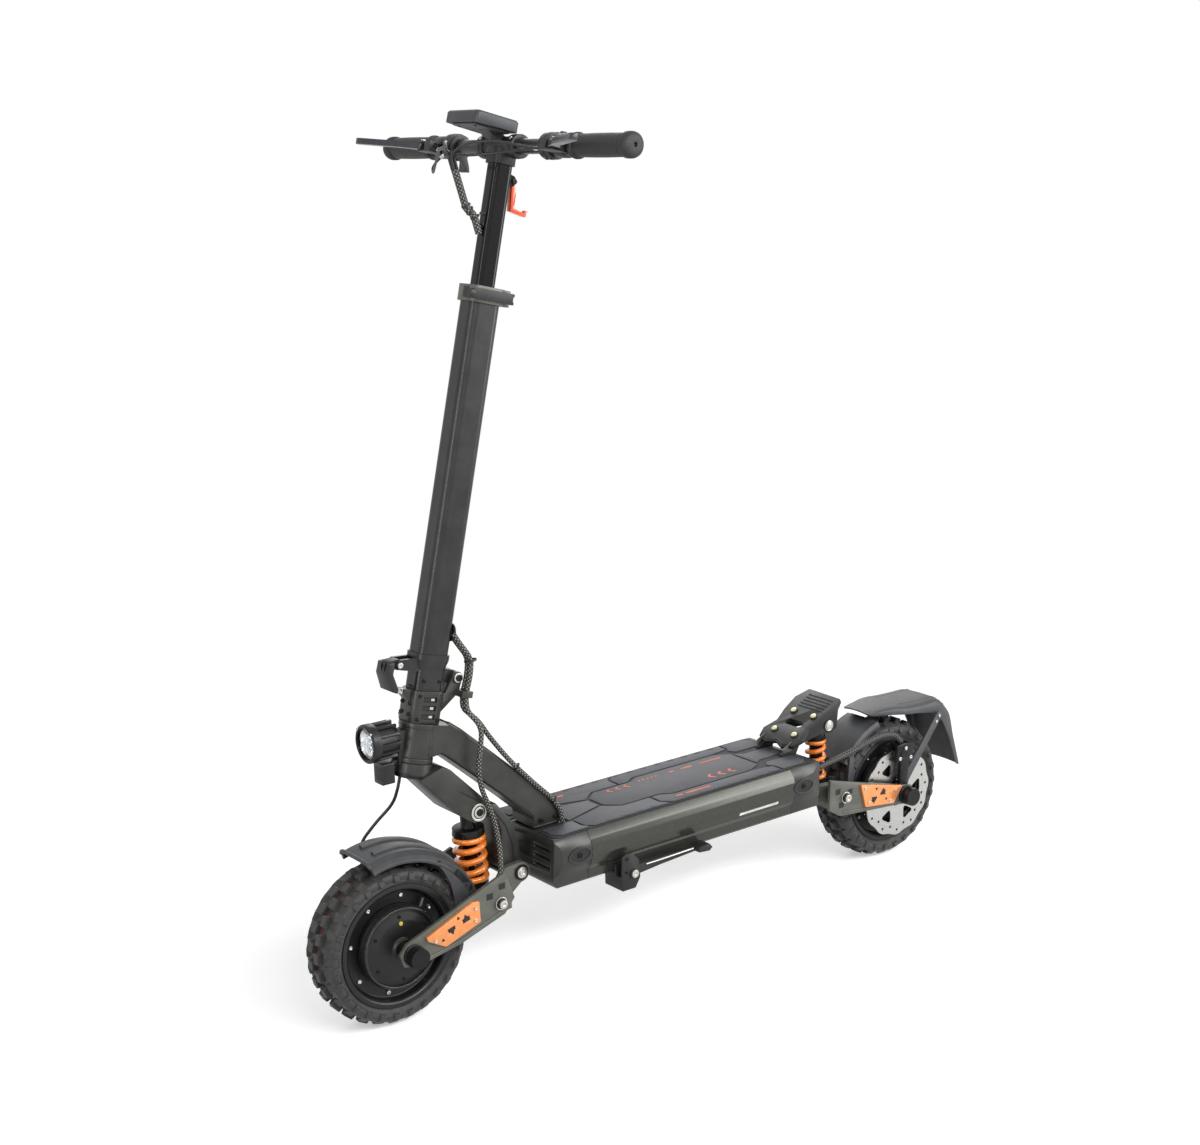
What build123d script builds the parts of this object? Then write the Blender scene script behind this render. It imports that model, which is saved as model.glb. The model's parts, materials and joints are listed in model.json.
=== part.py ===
from build123d import *
from math import cos, pi, radians, sin, tan
import os

# Electric kick scooter with a folding, telescoping stem and a sprung arm at each wheel.
#
# Units are millimetres. +X is forward, +Y is the rider's left and +Z is up. The origin is on the
# ground, midway between the two ends of the machine. Each function builds one sub-part or one
# group of like sub-parts, and every sub-part is written to parts/NAME.step.

# ---- overall stance -------------------------------------------------------------------------
WHEELBASE = 1040.0
AXLE_OFFSET = 22.0            # mid-wheelbase lies this far ahead of the origin
TYRE_R = 127.5
TYRE_HALF_WIDTH = 39.0
STEER_RAKE = 13.1             # steering axis, degrees back from vertical
STEER_TRAIL_X = 62.55         # steering axis lies this far behind the axle at STEER_Z
STEER_Z = 400.0

# ---- fits -----------------------------------------------------------------------------------
SHAFT_FIT = 0.05              # radial clearance of a shaft in its bore
SIDE_GAP = 0.4                # clearance between faces that move past each other
EYE_SLACK = 0.5               # radial slack of each damper's lower eye round its bolt

# ---- steering head, heights along the steering axis from STEER_Z ----------------------------
CROWN_R = 30.0
CROWN_LOW, CROWN_HIGH = -25.0, -3.0
HEAD_R, HEAD_BORE_R = 28.5, 21.0
HEAD_LOW, HEAD_HIGH = -2.4, 58.0
STEERER_R = 15.0
BEARING_HEIGHT = 10.0
FOLD_BASE_LOW, FOLD_SEAM = 58.5, 106.8
FOLD_BASE_LONG, FOLD_BASE_WIDE, FOLD_BASE_CORNER = 54.0, 46.0, 12.0
FOLD_PIN_BACK, FOLD_PIN_HIGH = 44.3, 129.4
FOLD_PIN_R = 5.0
FOLD_EAR_IN, FOLD_EAR_OUT = 12.4, 20.0
FOLD_LUG_R = 9.0              # round end of the ears and of the stem's lug
STEM_FOOT_HIGH = 154.0
STEM_LONG, STEM_WIDE, STEM_CORNER, STEM_WALL = 52.0, 42.0, 12.0, 3.0
STEM_TOP = 697.0
INNER_LONG, INNER_WIDE, INNER_CORNER, INNER_WALL = 33.0, 27.0, 8.0, 2.5
INNER_LOW, INNER_TOP = 560.0, 886.0
BAR_T = 912.0                 # handlebar centre along the steering axis
LATCH_X, LATCH_T, LATCH_HALF = 56.0, 143.0, 9.5
LATCH_PIN_R, LATCH_EAR, LATCH_GRIP_HALF = 3.0, 5.0, 17.0
COLLAR_LOW, COLLAR_HIGH, COLLAR_WALL = STEM_TOP - 13.0, STEM_TOP + 11.0, 5.0
CLAMP_EAR_HALF = 14.0
CLAMP_BACK, CLAMP_T = STEM_LONG / 2 + 10, (COLLAR_LOW + COLLAR_HIGH) / 2
CLAMP_BOLT_R, CLAMP_PIN_R, CLAMP_CAM_R = 3.0, 2.5, 7.0
CLAMP_PIVOT_Y = CLAMP_EAR_HALF + CLAMP_CAM_R + 1.0
CLAMP_HALF, CLAMP_SLOT = 8.0, 3.6     # half heights of the clamp lever and of its slot
HOOK_T, HOOK_BACK = INNER_TOP - 20.0, -INNER_LONG / 2 - 7.0      # the hook's pin
HOOK_PIN_R, HOOK_HALF = 2.5, 5.0
GUIDE_X, GUIDE_LOW, GUIDE_HIGH = -58.0, 102.0, 112.0
GUIDE_YS = (20.5, 30.0)       # the two looms' places across the guide

# ---- handlebar ------------------------------------------------------------------------------
BAR_R, BAR_BORE_R, BAR_HALF = 11.1, 9.1, 305.0
GRIP_R, GRIP_LENGTH, GRIP_CAP = 16.5, 130.0, 6.0
CLAMP_RING_R, CLAMP_RING_Y, CLAMP_RING_WIDE = 17.5, 38.0, 16.0
CLAMP_BARREL_R = 15.0
GRIP_IN = BAR_HALF + GRIP_CAP - GRIP_LENGTH      # inner end of each grip
PERCH_Y, PERCH_WIDE, PERCH_RING_R = GRIP_IN - 29, 22.0, 17.0
LEVER_PIVOT_X, LEVER_PIVOT_Y, LEVER_PIVOT_R = 30.0, GRIP_IN - 13, 4.0
LEVER_TIP_X, LEVER_TIP_Y = 82.0, GRIP_IN + 103
LEVER_THICK, LEVER_DEEP, LEVER_LOW = 9.0, 11.0, 9.3      # its underside lies LEVER_LOW under the bar
THROTTLE_Y, THROTTLE_WIDE, THROTTLE_RING_R = GRIP_IN - 57, 18.0, 20.0
SWITCH_Y, SWITCH_WIDE, SWITCH_RING_R = GRIP_IN - 57, 22.0, 19.0
BUTTON_X, BUTTON_SEAT = -15.0, 14.0
BUTTON_R, BUTTON_HIGH, BUTTON_TRAVEL = 5.0, 3.0, 1.5
DISPLAY_LONG, DISPLAY_WIDE, DISPLAY_THICK, DISPLAY_TILT = 76.0, 84.0, 17.0, 15.0
DISPLAY_X, DISPLAY_Z = 34.0, 36.0      # display centre from the bar centre

# ---- deck -----------------------------------------------------------------------------------
DECK_TOP = 246.0
DECK_BOTTOM = 164.0
DECK_HALF_TOP, DECK_HALF_MID, DECK_HALF_LOW = 88.0, 100.0, 84.0
DECK_WALL = 4.0
MAT_THICK, MAT_HALF, MAT_GAP = 3.0, 86.0, 0.5
FRONT_CAP_LENGTH, REAR_CAP_LENGTH = 68.0, 66.0
DECK_FRONT_BACK = 317.0       # joint of shell and front cap, behind the front axle
DECK_REAR_AHEAD = 293.0       # joint of shell and rear cap, ahead of the rear axle
REST_SLOPE, REST_THICK = 27.0, 6.0
REST_X, REST_Z = 226.0, DECK_TOP + 29  # a point of the footrest's top, from the rear axle in X
REST_SLOT_X, REST_SLOT_LONG, REST_SLOT_WIDE = -28.0, 40.0, 14.0
LEG_MID, LEG_HALF = 30.0, 3.5          # the footrest's two side plates

# ---- wheels ---------------------------------------------------------------------------------
BEAD_R, RIM_HALF, RIM_WEB, RIM_FLOOR = 93.0, 35.0, 30.0, 20.0
HUB_R, HUB_HALF = 66.0, 43.0
HUB_BOSS_R, HUB_BOSS_HALF = 17.0, 49.0
COVER_IN = 24.0               # inner face of each hub cover, from the middle
AXLE_R = 7.0
DISC_R, DISC_THICK, DISC_Y = 82.0, 2.4, 53.0
WAVES, WAVE_DEPTH, WAVE_STEPS, DISC_SPOKES = 12, 1.5, 72, 6
SLIT_HALF = 2.4               # half width of the caliper's slit round the disc
STATOR_R, STATOR_HALF = 50.0, 20.0
AXLE_SPACER_R = 12.0

# ---- suspension arms ------------------------------------------------------------------------
PLATE_IN, PLATE_OUT = 69.0, 75.0
CHEEK_IN, PIVOT_CHEEK_OUT = 36.0, 48.0
KNUCKLE_HALF = CHEEK_IN - SIDE_GAP
PIVOT_R, PIVOT_BOLT_R = 16.0, 5.0
FRONT_PIVOT = (-217.0, 192.0)          # from the front axle in X, and the height
FRONT_DAMPER_TOP = (-152.0, 303.0)
FRONT_DAMPER_LOW = (-159.0, 165.0)
REAR_PIVOT = (200.0, 165.0)            # from the rear axle in X, and the height
REAR_DAMPER_TOP = (151.0, 280.0)
REAR_DAMPER_LOW = (150.0, 158.0)
DAMPER_BOLT_R, EYE_R, EYE_HALF = 4.0, 11.0, 12.0
COVER_THICK = 5.0
FENDER_R, FENDER_THICK, FENDER_HALF = 147.0, 3.0, 46.0

# ---- kickstand ------------------------------------------------------------------------------
STAND_PIVOT = (-389.0, DECK_BOTTOM - 1)      # from the front axle in X, and the height
STAND_LENGTH = 150.0
STAND_IN = DECK_HALF_LOW + 8           # inner faces of the bracket's two cheeks
STAND_OUT = STAND_IN + 14
STAND_CHEEK, STAND_GAP = 4.0, 0.5
STAND_BOLT_R = 5.0

CABLE_R, CONTROL_CABLE_R, LOOM_R = 2.5, 2.0, 4.0
CABLE_SEAT = 2.7                                     # how far off the sleeve's middle each cable enters
SLEEVE_R, SLEEVE_TOP = 5.5, (85.0, 0.0, -29.0)      # sleeve's top end from the bar centre
SLEEVE_ENTRY = STEM_TOP + 89                         # where the sleeve meets the inner stem

# ---- places worked out from the sizes above -------------------------------------------------
FRONT_X = AXLE_OFFSET + WHEELBASE / 2
REAR_X = AXLE_OFFSET - WHEELBASE / 2
AXLE_Z = TYRE_R
STEER_X = FRONT_X - STEER_TRAIL_X
STEER = Plane(
    origin=(STEER_X, 0, STEER_Z),
    x_dir=(cos(radians(STEER_RAKE)), 0, sin(radians(STEER_RAKE))),
    z_dir=(-sin(radians(STEER_RAKE)), 0, cos(radians(STEER_RAKE))),
)
DECK_FRONT = FRONT_X - DECK_FRONT_BACK
DECK_REAR = REAR_X + DECK_REAR_AHEAD
CAP_FRONT = DECK_FRONT + FRONT_CAP_LENGTH
CAP_REAR = DECK_REAR - REAR_CAP_LENGTH
MAT_TOP = DECK_TOP + MAT_THICK
LEG_X0, LEG_X1 = REAR_X + REST_X + 2, REAR_X + REST_X + 36


# ---- shape helpers --------------------------------------------------------------------------
def box(x0, x1, y0, y1, z0, z1):
    """A box between two corners."""
    return Pos((x0 + x1) / 2, (y0 + y1) / 2, (z0 + z1) / 2) * Box(x1 - x0, y1 - y0, z1 - z0)


def bar_y(x, z, radius, y0, y1):
    """A round bar along Y."""
    return Pos(x, (y0 + y1) / 2, z) * Rot(X=90) * Cylinder(radius, abs(y1 - y0))


def bar_x(y, z, radius, x0, x1):
    """A round bar along X."""
    return Pos((x0 + x1) / 2, y, z) * Rot(Y=90) * Cylinder(radius, abs(x1 - x0))


def bar_z(x, y, radius, z0, z1):
    """A round bar along Z."""
    return Pos(x, y, (z0 + z1) / 2) * Cylinder(radius, abs(z1 - z0))


def tube_z(outer, bore, z0, z1):
    return bar_z(0, 0, outer, z0, z1) - bar_z(0, 0, bore, z0 - 1, z1 + 1)


def side_plate(points, y0, y1, corner=0.0):
    """A plate of the side outline (x, z), from y0 to y1, with rounded corners."""
    flat = Polyline(*[(x, -z) for x, z in points], close=True)
    face = make_face(flat)
    if corner:
        face = fillet(face.vertices(), corner)
    low = min(y0, y1)
    solid = extrude(Plane.XY * face, amount=abs(y1 - y0))
    return Pos(0, low, 0) * Rot(X=-90) * solid


def round_box(long, wide, corner, z0, z1):
    """A bar of rounded rectangular section along Z."""
    section = RectangleRounded(long, wide, corner)
    return Pos(0, 0, z0) * extrude(section, amount=z1 - z0)


def ring_y(profile, x, z):
    """Turns the outline (radius, y) about the wheel axis through x, z."""
    face = make_face(Polyline(*profile, close=True))
    return Pos(x, 0, z) * revolve(Plane.XY * face, Axis.Y, 360)


def both_sides(shape):
    """The shape and its mirror image in the XZ plane."""
    return [shape, mirror(shape, about=Plane.XZ)]


def on_steer(shape):
    """Moves a shape from the steering head's own frame to the machine's."""
    return STEER.location * shape


def steer_point(forward, y, height):
    """A point of the steering head's own frame, in the machine's frame."""
    return STEER.from_local_coords(Vector(forward, y, height))


def front(point):
    """A side-view point given from the front axle, in the machine's frame."""
    return (FRONT_X + point[0], point[1])


def rear(point):
    """A side-view point given from the rear axle, in the machine's frame."""
    return (REAR_X + point[0], point[1])


def cable(points, radius):
    """A cable through the points: straight runs joined by arcs as large as the runs allow."""
    spots = [Vector(*p) for p in points]
    radii = []
    for a, b, c in zip(spots, spots[1:], spots[2:]):
        half_turn = (b - a).get_angle(c - b) / 2
        run = min((b - a).length, (c - b).length)
        radii.append(0.45 * run / tan(radians(half_turn)))
    path = FilletPolyline(*spots, radius=radii)
    start = Plane(origin=path @ 0, z_dir=path % 0)
    return sweep(start * Circle(radius), path=path)


def save(name, solids):
    """Writes one sub-part; a list is a group of separate solids."""
    if not isinstance(solids, (list, tuple)):
        solids = [solids]
    pieces = [s for item in solids for s in item.solids()]
    shape = pieces[0] if len(pieces) == 1 else Compound(children=pieces)
    shape.label = name
    export_step(shape, f"parts/{name}.step")


# ---- frame ----------------------------------------------------------------------------------
NECK_HALF, NECK_WALL, NECK_EDGE = 30.0, 5.0, 5.0
NECK_FOOT_BACK, NECK_FOOT_FRONT = -311.0, -258.0         # from the front axle in X
NECK_FOOT_SEAM, NECK_FOOT_TOP = MAT_TOP + 13, MAT_TOP + 19
NECK_TOP = [
    (-82, 462), (-112, 454), (-133, 438), (-222, 358), (-295, 294), (NECK_FOOT_BACK, NECK_FOOT_SEAM),
]
NECK_UNDER = [
    (NECK_FOOT_FRONT, NECK_FOOT_SEAM), (NECK_FOOT_FRONT + 4, NECK_FOOT_TOP), (-220, 299), (-161, 351),
    (-104, 400), (-95, 406), (-73, 404),
]
PLINTH_INSET = 4.0
LOOM_Y = NECK_HALF + LOOM_R + 0.3      # the loom that lies along the neck's left side


def frame_neck():
    """Head tube, the beam that drops back to the deck and its foot on the front cap."""
    beam = side_plate([front(p) for p in NECK_TOP + NECK_UNDER], -NECK_HALF, NECK_HALF)
    rims = beam.edges().filter_by(Axis.Y, reverse=True)
    beam = fillet(rims, NECK_EDGE)
    hollow = [(x - 3, z - 8) for x, z in NECK_TOP[2:5]] + [(x + 4, z + 9) for x, z in NECK_UNDER[2:5]]
    hollow_half = NECK_HALF - NECK_WALL
    beam -= side_plate([front(p) for p in hollow], -hollow_half, hollow_half)
    foot_x0, foot_x1 = FRONT_X + NECK_FOOT_BACK, FRONT_X + NECK_FOOT_FRONT
    foot = box(foot_x0, foot_x1, -NECK_HALF, NECK_HALF, MAT_TOP, NECK_FOOT_TOP)
    plinth = box(foot_x0 + PLINTH_INSET, foot_x1 - PLINTH_INSET, PLINTH_INSET - NECK_HALF,
                 NECK_HALF - PLINTH_INSET, DECK_TOP, MAT_TOP)
    tube = on_steer(bar_z(0, 0, HEAD_R, HEAD_LOW, HEAD_HIGH))
    body = beam + foot + plinth + tube
    bore = on_steer(bar_z(0, 0, HEAD_BORE_R, HEAD_LOW - 1, HEAD_HIGH + 1))
    clearance = on_steer(bar_z(0, 0, 45, FOLD_BASE_LOW - 0.6, FOLD_BASE_LOW + 60))
    return body - bore - clearance


def headset_bearings():
    """The two bearings between the head tube and the steerer."""
    rings = []
    for low in (HEAD_LOW + 1, HEAD_HIGH - 1 - BEARING_HEIGHT):
        rings.append(on_steer(tube_z(HEAD_BORE_R, STEERER_R + SHAFT_FIT, low, low + BEARING_HEIGHT)))
    return rings


DECK_SECTION = [
    (DECK_HALF_TOP, DECK_TOP), (DECK_HALF_MID - 3, DECK_TOP - 12), (DECK_HALF_MID, DECK_TOP - 22),
    (DECK_HALF_MID, DECK_TOP - 40), (DECK_HALF_MID - 6, DECK_TOP - 56), (DECK_HALF_LOW + 4, DECK_BOTTOM + 18),
    (DECK_HALF_LOW + 3, DECK_BOTTOM + 4), (DECK_HALF_LOW, DECK_BOTTOM),
]


def deck_slug(x0, x1, inset=0.0):
    """The deck's cross-section swept from x0 to x1, shrunk all round by inset."""
    middle = (DECK_TOP + DECK_BOTTOM) / 2
    side = [(y - inset, z - inset if z > middle else z + inset) for y, z in DECK_SECTION]
    outline = side + [(-y, z) for y, z in reversed(side)]
    face = make_face(Polyline(*outline, close=True))
    plane = Plane(origin=(x0, 0, 0), x_dir=(0, 1, 0), z_dir=(1, 0, 0))
    return extrude(plane * face, amount=x1 - x0)


def deck_shell():
    """The extruded hollow deck, open at both ends, where the caps plug it."""
    return deck_slug(DECK_REAR, DECK_FRONT) - deck_slug(DECK_REAR - 1, DECK_FRONT + 1, DECK_WALL)


def deck_front_cap():
    """Cast front block, with louvres beside the neck and a spigot inside the shell."""
    cap = deck_slug(DECK_FRONT, CAP_FRONT)
    nose = side_plate(
        [(CAP_FRONT - 3, DECK_TOP + 5), (CAP_FRONT + 2, DECK_TOP + 5), (CAP_FRONT + 2, DECK_BOTTOM - 5),
         (CAP_FRONT - 12, DECK_BOTTOM - 5), (CAP_FRONT + 1, 178)], -120, 120)
    cap -= nose
    for side in (-1, 1):
        corner = Pos(CAP_FRONT, side * DECK_HALF_MID, 200) * Rot(Z=side * 45) * Box(16, 40, 110)
        cap -= corner
        for row in range(3):
            z = 196 + 14 * row
            cap -= Pos(CAP_FRONT, side * 58, z) * Rot(Y=18) * Box(16, 44, 6)
    spigot = deck_slug(DECK_FRONT - 14, DECK_FRONT, DECK_WALL)
    return cap + spigot


def deck_rear_cap():
    """Cast rear block with the lug that carries the rear arm's pivot."""
    cap = deck_slug(CAP_REAR, DECK_REAR)
    for side in (-1, 1):
        taper = Pos(CAP_REAR, side * (DECK_HALF_MID + 6), 200) * Rot(Z=side * 20) * Box(100, 30, 110)
        cap -= taper
    spigot = deck_slug(DECK_REAR, DECK_REAR + 14, DECK_WALL)
    px, pz = rear(REAR_PIVOT)
    root = CAP_REAR + 5
    lug = side_plate([(root, pz + 40), (px, pz + PIVOT_R), (px, pz - PIVOT_R), (root, DECK_BOTTOM)],
                     -KNUCKLE_HALF, KNUCKLE_HALF)
    lug += bar_y(px, pz, PIVOT_R, -KNUCKLE_HALF, KNUCKLE_HALF)
    cap = cap + spigot + lug
    return cap - bar_y(px, pz, PIVOT_BOLT_R + SHAFT_FIT, -60, 60)


def deck_mat():
    """Moulded mat over the shell and both caps, cut round the neck foot and the footrest legs."""
    x0, x1 = CAP_REAR + 10, CAP_FRONT - 6
    mat = box(x0, x1, -MAT_HALF, MAT_HALF, DECK_TOP, MAT_TOP)
    mat = fillet(mat.edges().filter_by(Axis.Z), 12)
    notch_x = FRONT_X + NECK_FOOT_BACK - LOOM_R - MAT_GAP
    mat -= box(notch_x, x1 + 5, -NECK_HALF - MAT_GAP, LOOM_Y + LOOM_R + MAT_GAP, DECK_TOP - 1, MAT_TOP + 1)
    for side in (-1, 1):
        mat -= box(LEG_X0 - MAT_GAP, LEG_X1 + MAT_GAP, side * LEG_MID - LEG_HALF - MAT_GAP,
                   side * LEG_MID + LEG_HALF + MAT_GAP, DECK_TOP - 1, MAT_TOP + 1)
    return mat


def battery_pack():
    """Battery inside the deck shell, resting on its floor."""
    low = DECK_BOTTOM + DECK_WALL
    pack = box(DECK_REAR + 110, DECK_FRONT - 20, -66, 66, low, low + 62)
    return fillet(pack.edges().filter_by(Axis.X), 6)


def controller():
    """Motor controller behind the battery, resting on the deck floor."""
    low = DECK_BOTTOM + DECK_WALL
    case = box(DECK_REAR + 22, DECK_REAR + 98, -52, 52, low, low + 38)
    for rib in range(5):
        case -= box(DECK_REAR + 30 + 13 * rib, DECK_REAR + 36 + 13 * rib, -60, 60, low + 32, low + 40)
    return case


# ---- footrest over the rear wheel -----------------------------------------------------------
REST_BOLTS = [(-2, 25), (-2, -25), (-54, 25), (-54, -25)]
REST_PLANE = Plane(
    origin=(REAR_X + REST_X, 0, REST_Z),
    x_dir=(cos(radians(REST_SLOPE)), 0, -sin(radians(REST_SLOPE))),
    z_dir=(sin(radians(REST_SLOPE)), 0, cos(radians(REST_SLOPE))),
)


def footrest():
    """Sloping plate on two side plates, which also carry the rear damper's upper bolt."""
    outline = [(22, -42), (30, -20), (22, 0), (30, 20), (22, 42), (2, 50), (-24, 40), (-52, 48), (-86, 52),
               (-110, 40), (-112, -40), (-86, -52), (-52, -48), (-24, -40), (2, -50)]
    face = fillet(make_face(Polyline(*outline, close=True)).vertices(), 4)
    top = extrude(REST_PLANE * face, amount=-REST_THICK)
    slot = SlotOverall(REST_SLOT_LONG, REST_SLOT_WIDE, rotation=90)
    top -= extrude(REST_PLANE * Pos(REST_SLOT_X, 0) * slot, amount=-2 * REST_THICK, both=True)
    tx, tz = rear(REAR_DAMPER_TOP)
    slope = tan(radians(REST_SLOPE))
    under = REST_THICK / cos(radians(REST_SLOPE))

    def plate_z(x):
        return REST_Z - under + slope * (REAR_X + REST_X - x)

    sides = []
    for side in (-1, 1):
        leg = side_plate(
            [(LEG_X1, DECK_TOP), (LEG_X1, plate_z(LEG_X1)), (tx - 26, plate_z(tx - 26)), (tx - 20, tz - 8),
             (tx - 4, tz - 14), (tx + 18, tz - 12), (LEG_X0 - 8, DECK_TOP + 14), (LEG_X0, DECK_TOP)],
            side * LEG_MID - LEG_HALF, side * LEG_MID + LEG_HALF)
        sides.append(leg)
    body = top + sides[0] + sides[1]
    return body - bar_y(tx, tz, DAMPER_BOLT_R + SHAFT_FIT, -60, 60)


def frame_bolts():
    """Footrest bolts, rear pivot bolt, rear damper bolt and the cap bolts."""
    bolts = [REST_PLANE.location * Pos(x, y, 1.5) * Cylinder(5, 3) for x, y in REST_BOLTS]
    px, pz = rear(REAR_PIVOT)
    pivot = bar_y(px, pz, PIVOT_BOLT_R, -PIVOT_CHEEK_OUT, PIVOT_CHEEK_OUT)
    for side in (-1, 1):
        pivot += bar_y(px, pz, 9, side * PIVOT_CHEEK_OUT, side * (PIVOT_CHEEK_OUT + 5))
    tx, tz = rear(REAR_DAMPER_TOP)
    out = LEG_MID + LEG_HALF
    damper = bar_y(tx, tz, DAMPER_BOLT_R, -out, out)
    for side in (-1, 1):
        damper += bar_y(tx, tz, 7, side * out, side * (out + 4))
    return bolts + [pivot, damper]


# ---- headlight and horn ---------------------------------------------------------------------
LAMP_R, LAMP_Z, LAMP_BACK, LAMP_FRONT = 30.0, STEER_Z + 40, -32.0, 18.0
LAMP_BODY_R, LENS_R = LAMP_R - 4.0, LAMP_R - 4.5
MOUNT_BACK, MOUNT_HALF = -48.0, 11.0                 # plate that carries the lamp
MOUNT_LOW, MOUNT_HIGH = LAMP_Z - 42, LAMP_Z + 12
FIN_COUNT = 12
HORN_BACK = -22.0


def headlight_housing():
    """Finned round lamp body and the plate that holds it to the head tube."""
    x0, x1 = FRONT_X + LAMP_BACK, FRONT_X + LAMP_FRONT
    body = bar_x(0, LAMP_Z, LAMP_BODY_R, x0, x1) + bar_x(0, LAMP_Z, LAMP_R, x1 - 14, x1)
    for fin in range(FIN_COUNT):
        turn = Pos(0, 0, LAMP_Z) * Rot(X=360 / FIN_COUNT * fin) * Pos(0, 0, -LAMP_Z)
        body += turn * box(x0 + 6, x1 - 10, -2, 2, LAMP_Z + LAMP_BODY_R - 4, LAMP_Z + LAMP_R - 1)
    body -= bar_x(0, LAMP_Z, LENS_R, x1 - 8, x1 + 1)
    return body + lamp_mount()


def lamp_mount():
    """Plate from the head tube to the lamp, hollowed for the tube and the crown under it."""
    plate = box(FRONT_X + MOUNT_BACK, FRONT_X + LAMP_BACK, -MOUNT_HALF, MOUNT_HALF, MOUNT_LOW, MOUNT_HIGH)
    plate -= on_steer(bar_z(0, 0, HEAD_R + SHAFT_FIT, HEAD_LOW - 40, HEAD_HIGH + 20))
    return plate - crown_room()


def crown_room():
    """Room that the crown needs to turn in."""
    return on_steer(bar_z(0, 0, CROWN_R + 1.2, CROWN_LOW - 9, HEAD_LOW))


def headlight_lens():
    x1 = FRONT_X + LAMP_FRONT
    return bar_x(0, LAMP_Z, LENS_R - SHAFT_FIT, x1 - 8, x1 - 1)


def horn():
    """Small square horn hanging under the lamp bracket."""
    top = MOUNT_LOW + 9
    case = box(FRONT_X + HORN_BACK, FRONT_X + HORN_BACK + 20, -13, 13, top - 33, top)
    case = fillet(case.edges().filter_by(Axis.X), 3)
    web = box(FRONT_X + LAMP_BACK, FRONT_X + HORN_BACK, -8, 8, MOUNT_LOW, top)
    return case + web - crown_room()


# ---- fork and fold base ---------------------------------------------------------------------
ARM_TOP = [(-30, -5), (-45, -8), (-109, -49)]
ARM_UNDER = [(-74, -79), (4, -25)]
KNUCKLE_BACK = [(-165, 310), (-184, 309), (-212, 273), (-224, 234), (-224, 196)]
KNUCKLE_FRONT = [(-197, 196), (-189, 218), (-192, 240), (-192, 264), (-186, 282), (-172, 290)]


def side_of_steer(forward, height):
    """Side-view x, z of a point given in the steering head's own frame."""
    spot = steer_point(forward, 0, height)
    return (spot.X, spot.Z)


def fork():
    """Crown, steerer, the arm that drops back behind the wheel and its knuckle."""
    crown = on_steer(bar_z(0, 0, CROWN_R, CROWN_LOW, CROWN_HIGH))
    steerer = on_steer(bar_z(0, 0, STEERER_R, CROWN_LOW, FOLD_BASE_LOW + 26))
    px, pz = front(FRONT_PIVOT)
    tx, tz = front(FRONT_DAMPER_TOP)
    top = [side_of_steer(*p) for p in ARM_TOP]
    under = [side_of_steer(*p) for p in ARM_UNDER]
    back = [front(p) for p in KNUCKLE_BACK]
    ahead = [front(p) for p in KNUCKLE_FRONT]
    saddle = [(tx - 14, tz - 12), (tx + 8, tz - 16), (tx + 26, tz - 4)]
    arm = side_plate(top + back + ahead + saddle + under, -KNUCKLE_HALF, KNUCKLE_HALF)
    arm += bar_y(px, pz, PIVOT_R, -KNUCKLE_HALF, KNUCKLE_HALF)
    arm -= on_steer(bar_z(0, 0, 80, CROWN_HIGH, 60))
    slot = side_plate([(tx - 20, tz + 15), (tx + 24, tz + 15), (tx + 34, tz - 60), (tx - 26, tz - 60)],
                      -EYE_HALF - SIDE_GAP, EYE_HALF + SIDE_GAP)
    arm -= slot
    body = crown + steerer + arm
    body -= bar_y(tx, tz, DAMPER_BOLT_R + SHAFT_FIT, -60, 60)
    body -= bar_y(px, pz, PIVOT_BOLT_R + SHAFT_FIT, -60, 60)
    return body


def fold_base():
    """Lower half of the folding joint, clamped on the steerer, with ears for the fold pin."""
    body = round_box(FOLD_BASE_LONG, FOLD_BASE_WIDE, FOLD_BASE_CORNER, FOLD_BASE_LOW, FOLD_SEAM)
    nose = FOLD_BASE_LONG / 2
    body += side_plate([(nose - 1, FOLD_SEAM), (nose + 12, FOLD_SEAM), (nose + 12, FOLD_SEAM - 8),
                        (nose - 1, FOLD_SEAM - 20)], -9, 9)
    for side in (-1, 1):
        y0, y1 = side * FOLD_EAR_IN, side * FOLD_EAR_OUT
        body += side_plate(
            [(-20, FOLD_SEAM - 34), (-20, FOLD_SEAM - 4), (-27, FOLD_SEAM - 1),
             (FOLD_LUG_R - FOLD_PIN_BACK, FOLD_PIN_HIGH), (-FOLD_LUG_R - FOLD_PIN_BACK, FOLD_PIN_HIGH),
             (-FOLD_PIN_BACK - 6, FOLD_SEAM)], y0, y1)
        body += bar_y(-FOLD_PIN_BACK, FOLD_PIN_HIGH, FOLD_LUG_R, y0, y1)
        for row in range(3):
            body -= box(-12, 12, side * FOLD_BASE_WIDE / 2 - 3, side * FOLD_BASE_WIDE / 2 + 3,
                        FOLD_BASE_LOW + 6 + 13 * row, FOLD_BASE_LOW + 14 + 13 * row)
    body += guide_block()
    for y in GUIDE_YS:
        body -= bar_z(GUIDE_X, y, LOOM_R + 0.2, GUIDE_LOW - 1, GUIDE_HIGH + 1)
    body -= bar_y(-FOLD_PIN_BACK, FOLD_PIN_HIGH, FOLD_PIN_R, -60, 60)
    body -= bar_z(0, 0, STEERER_R, FOLD_BASE_LOW - 1, FOLD_BASE_LOW + 26)
    return on_steer(body)


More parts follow.
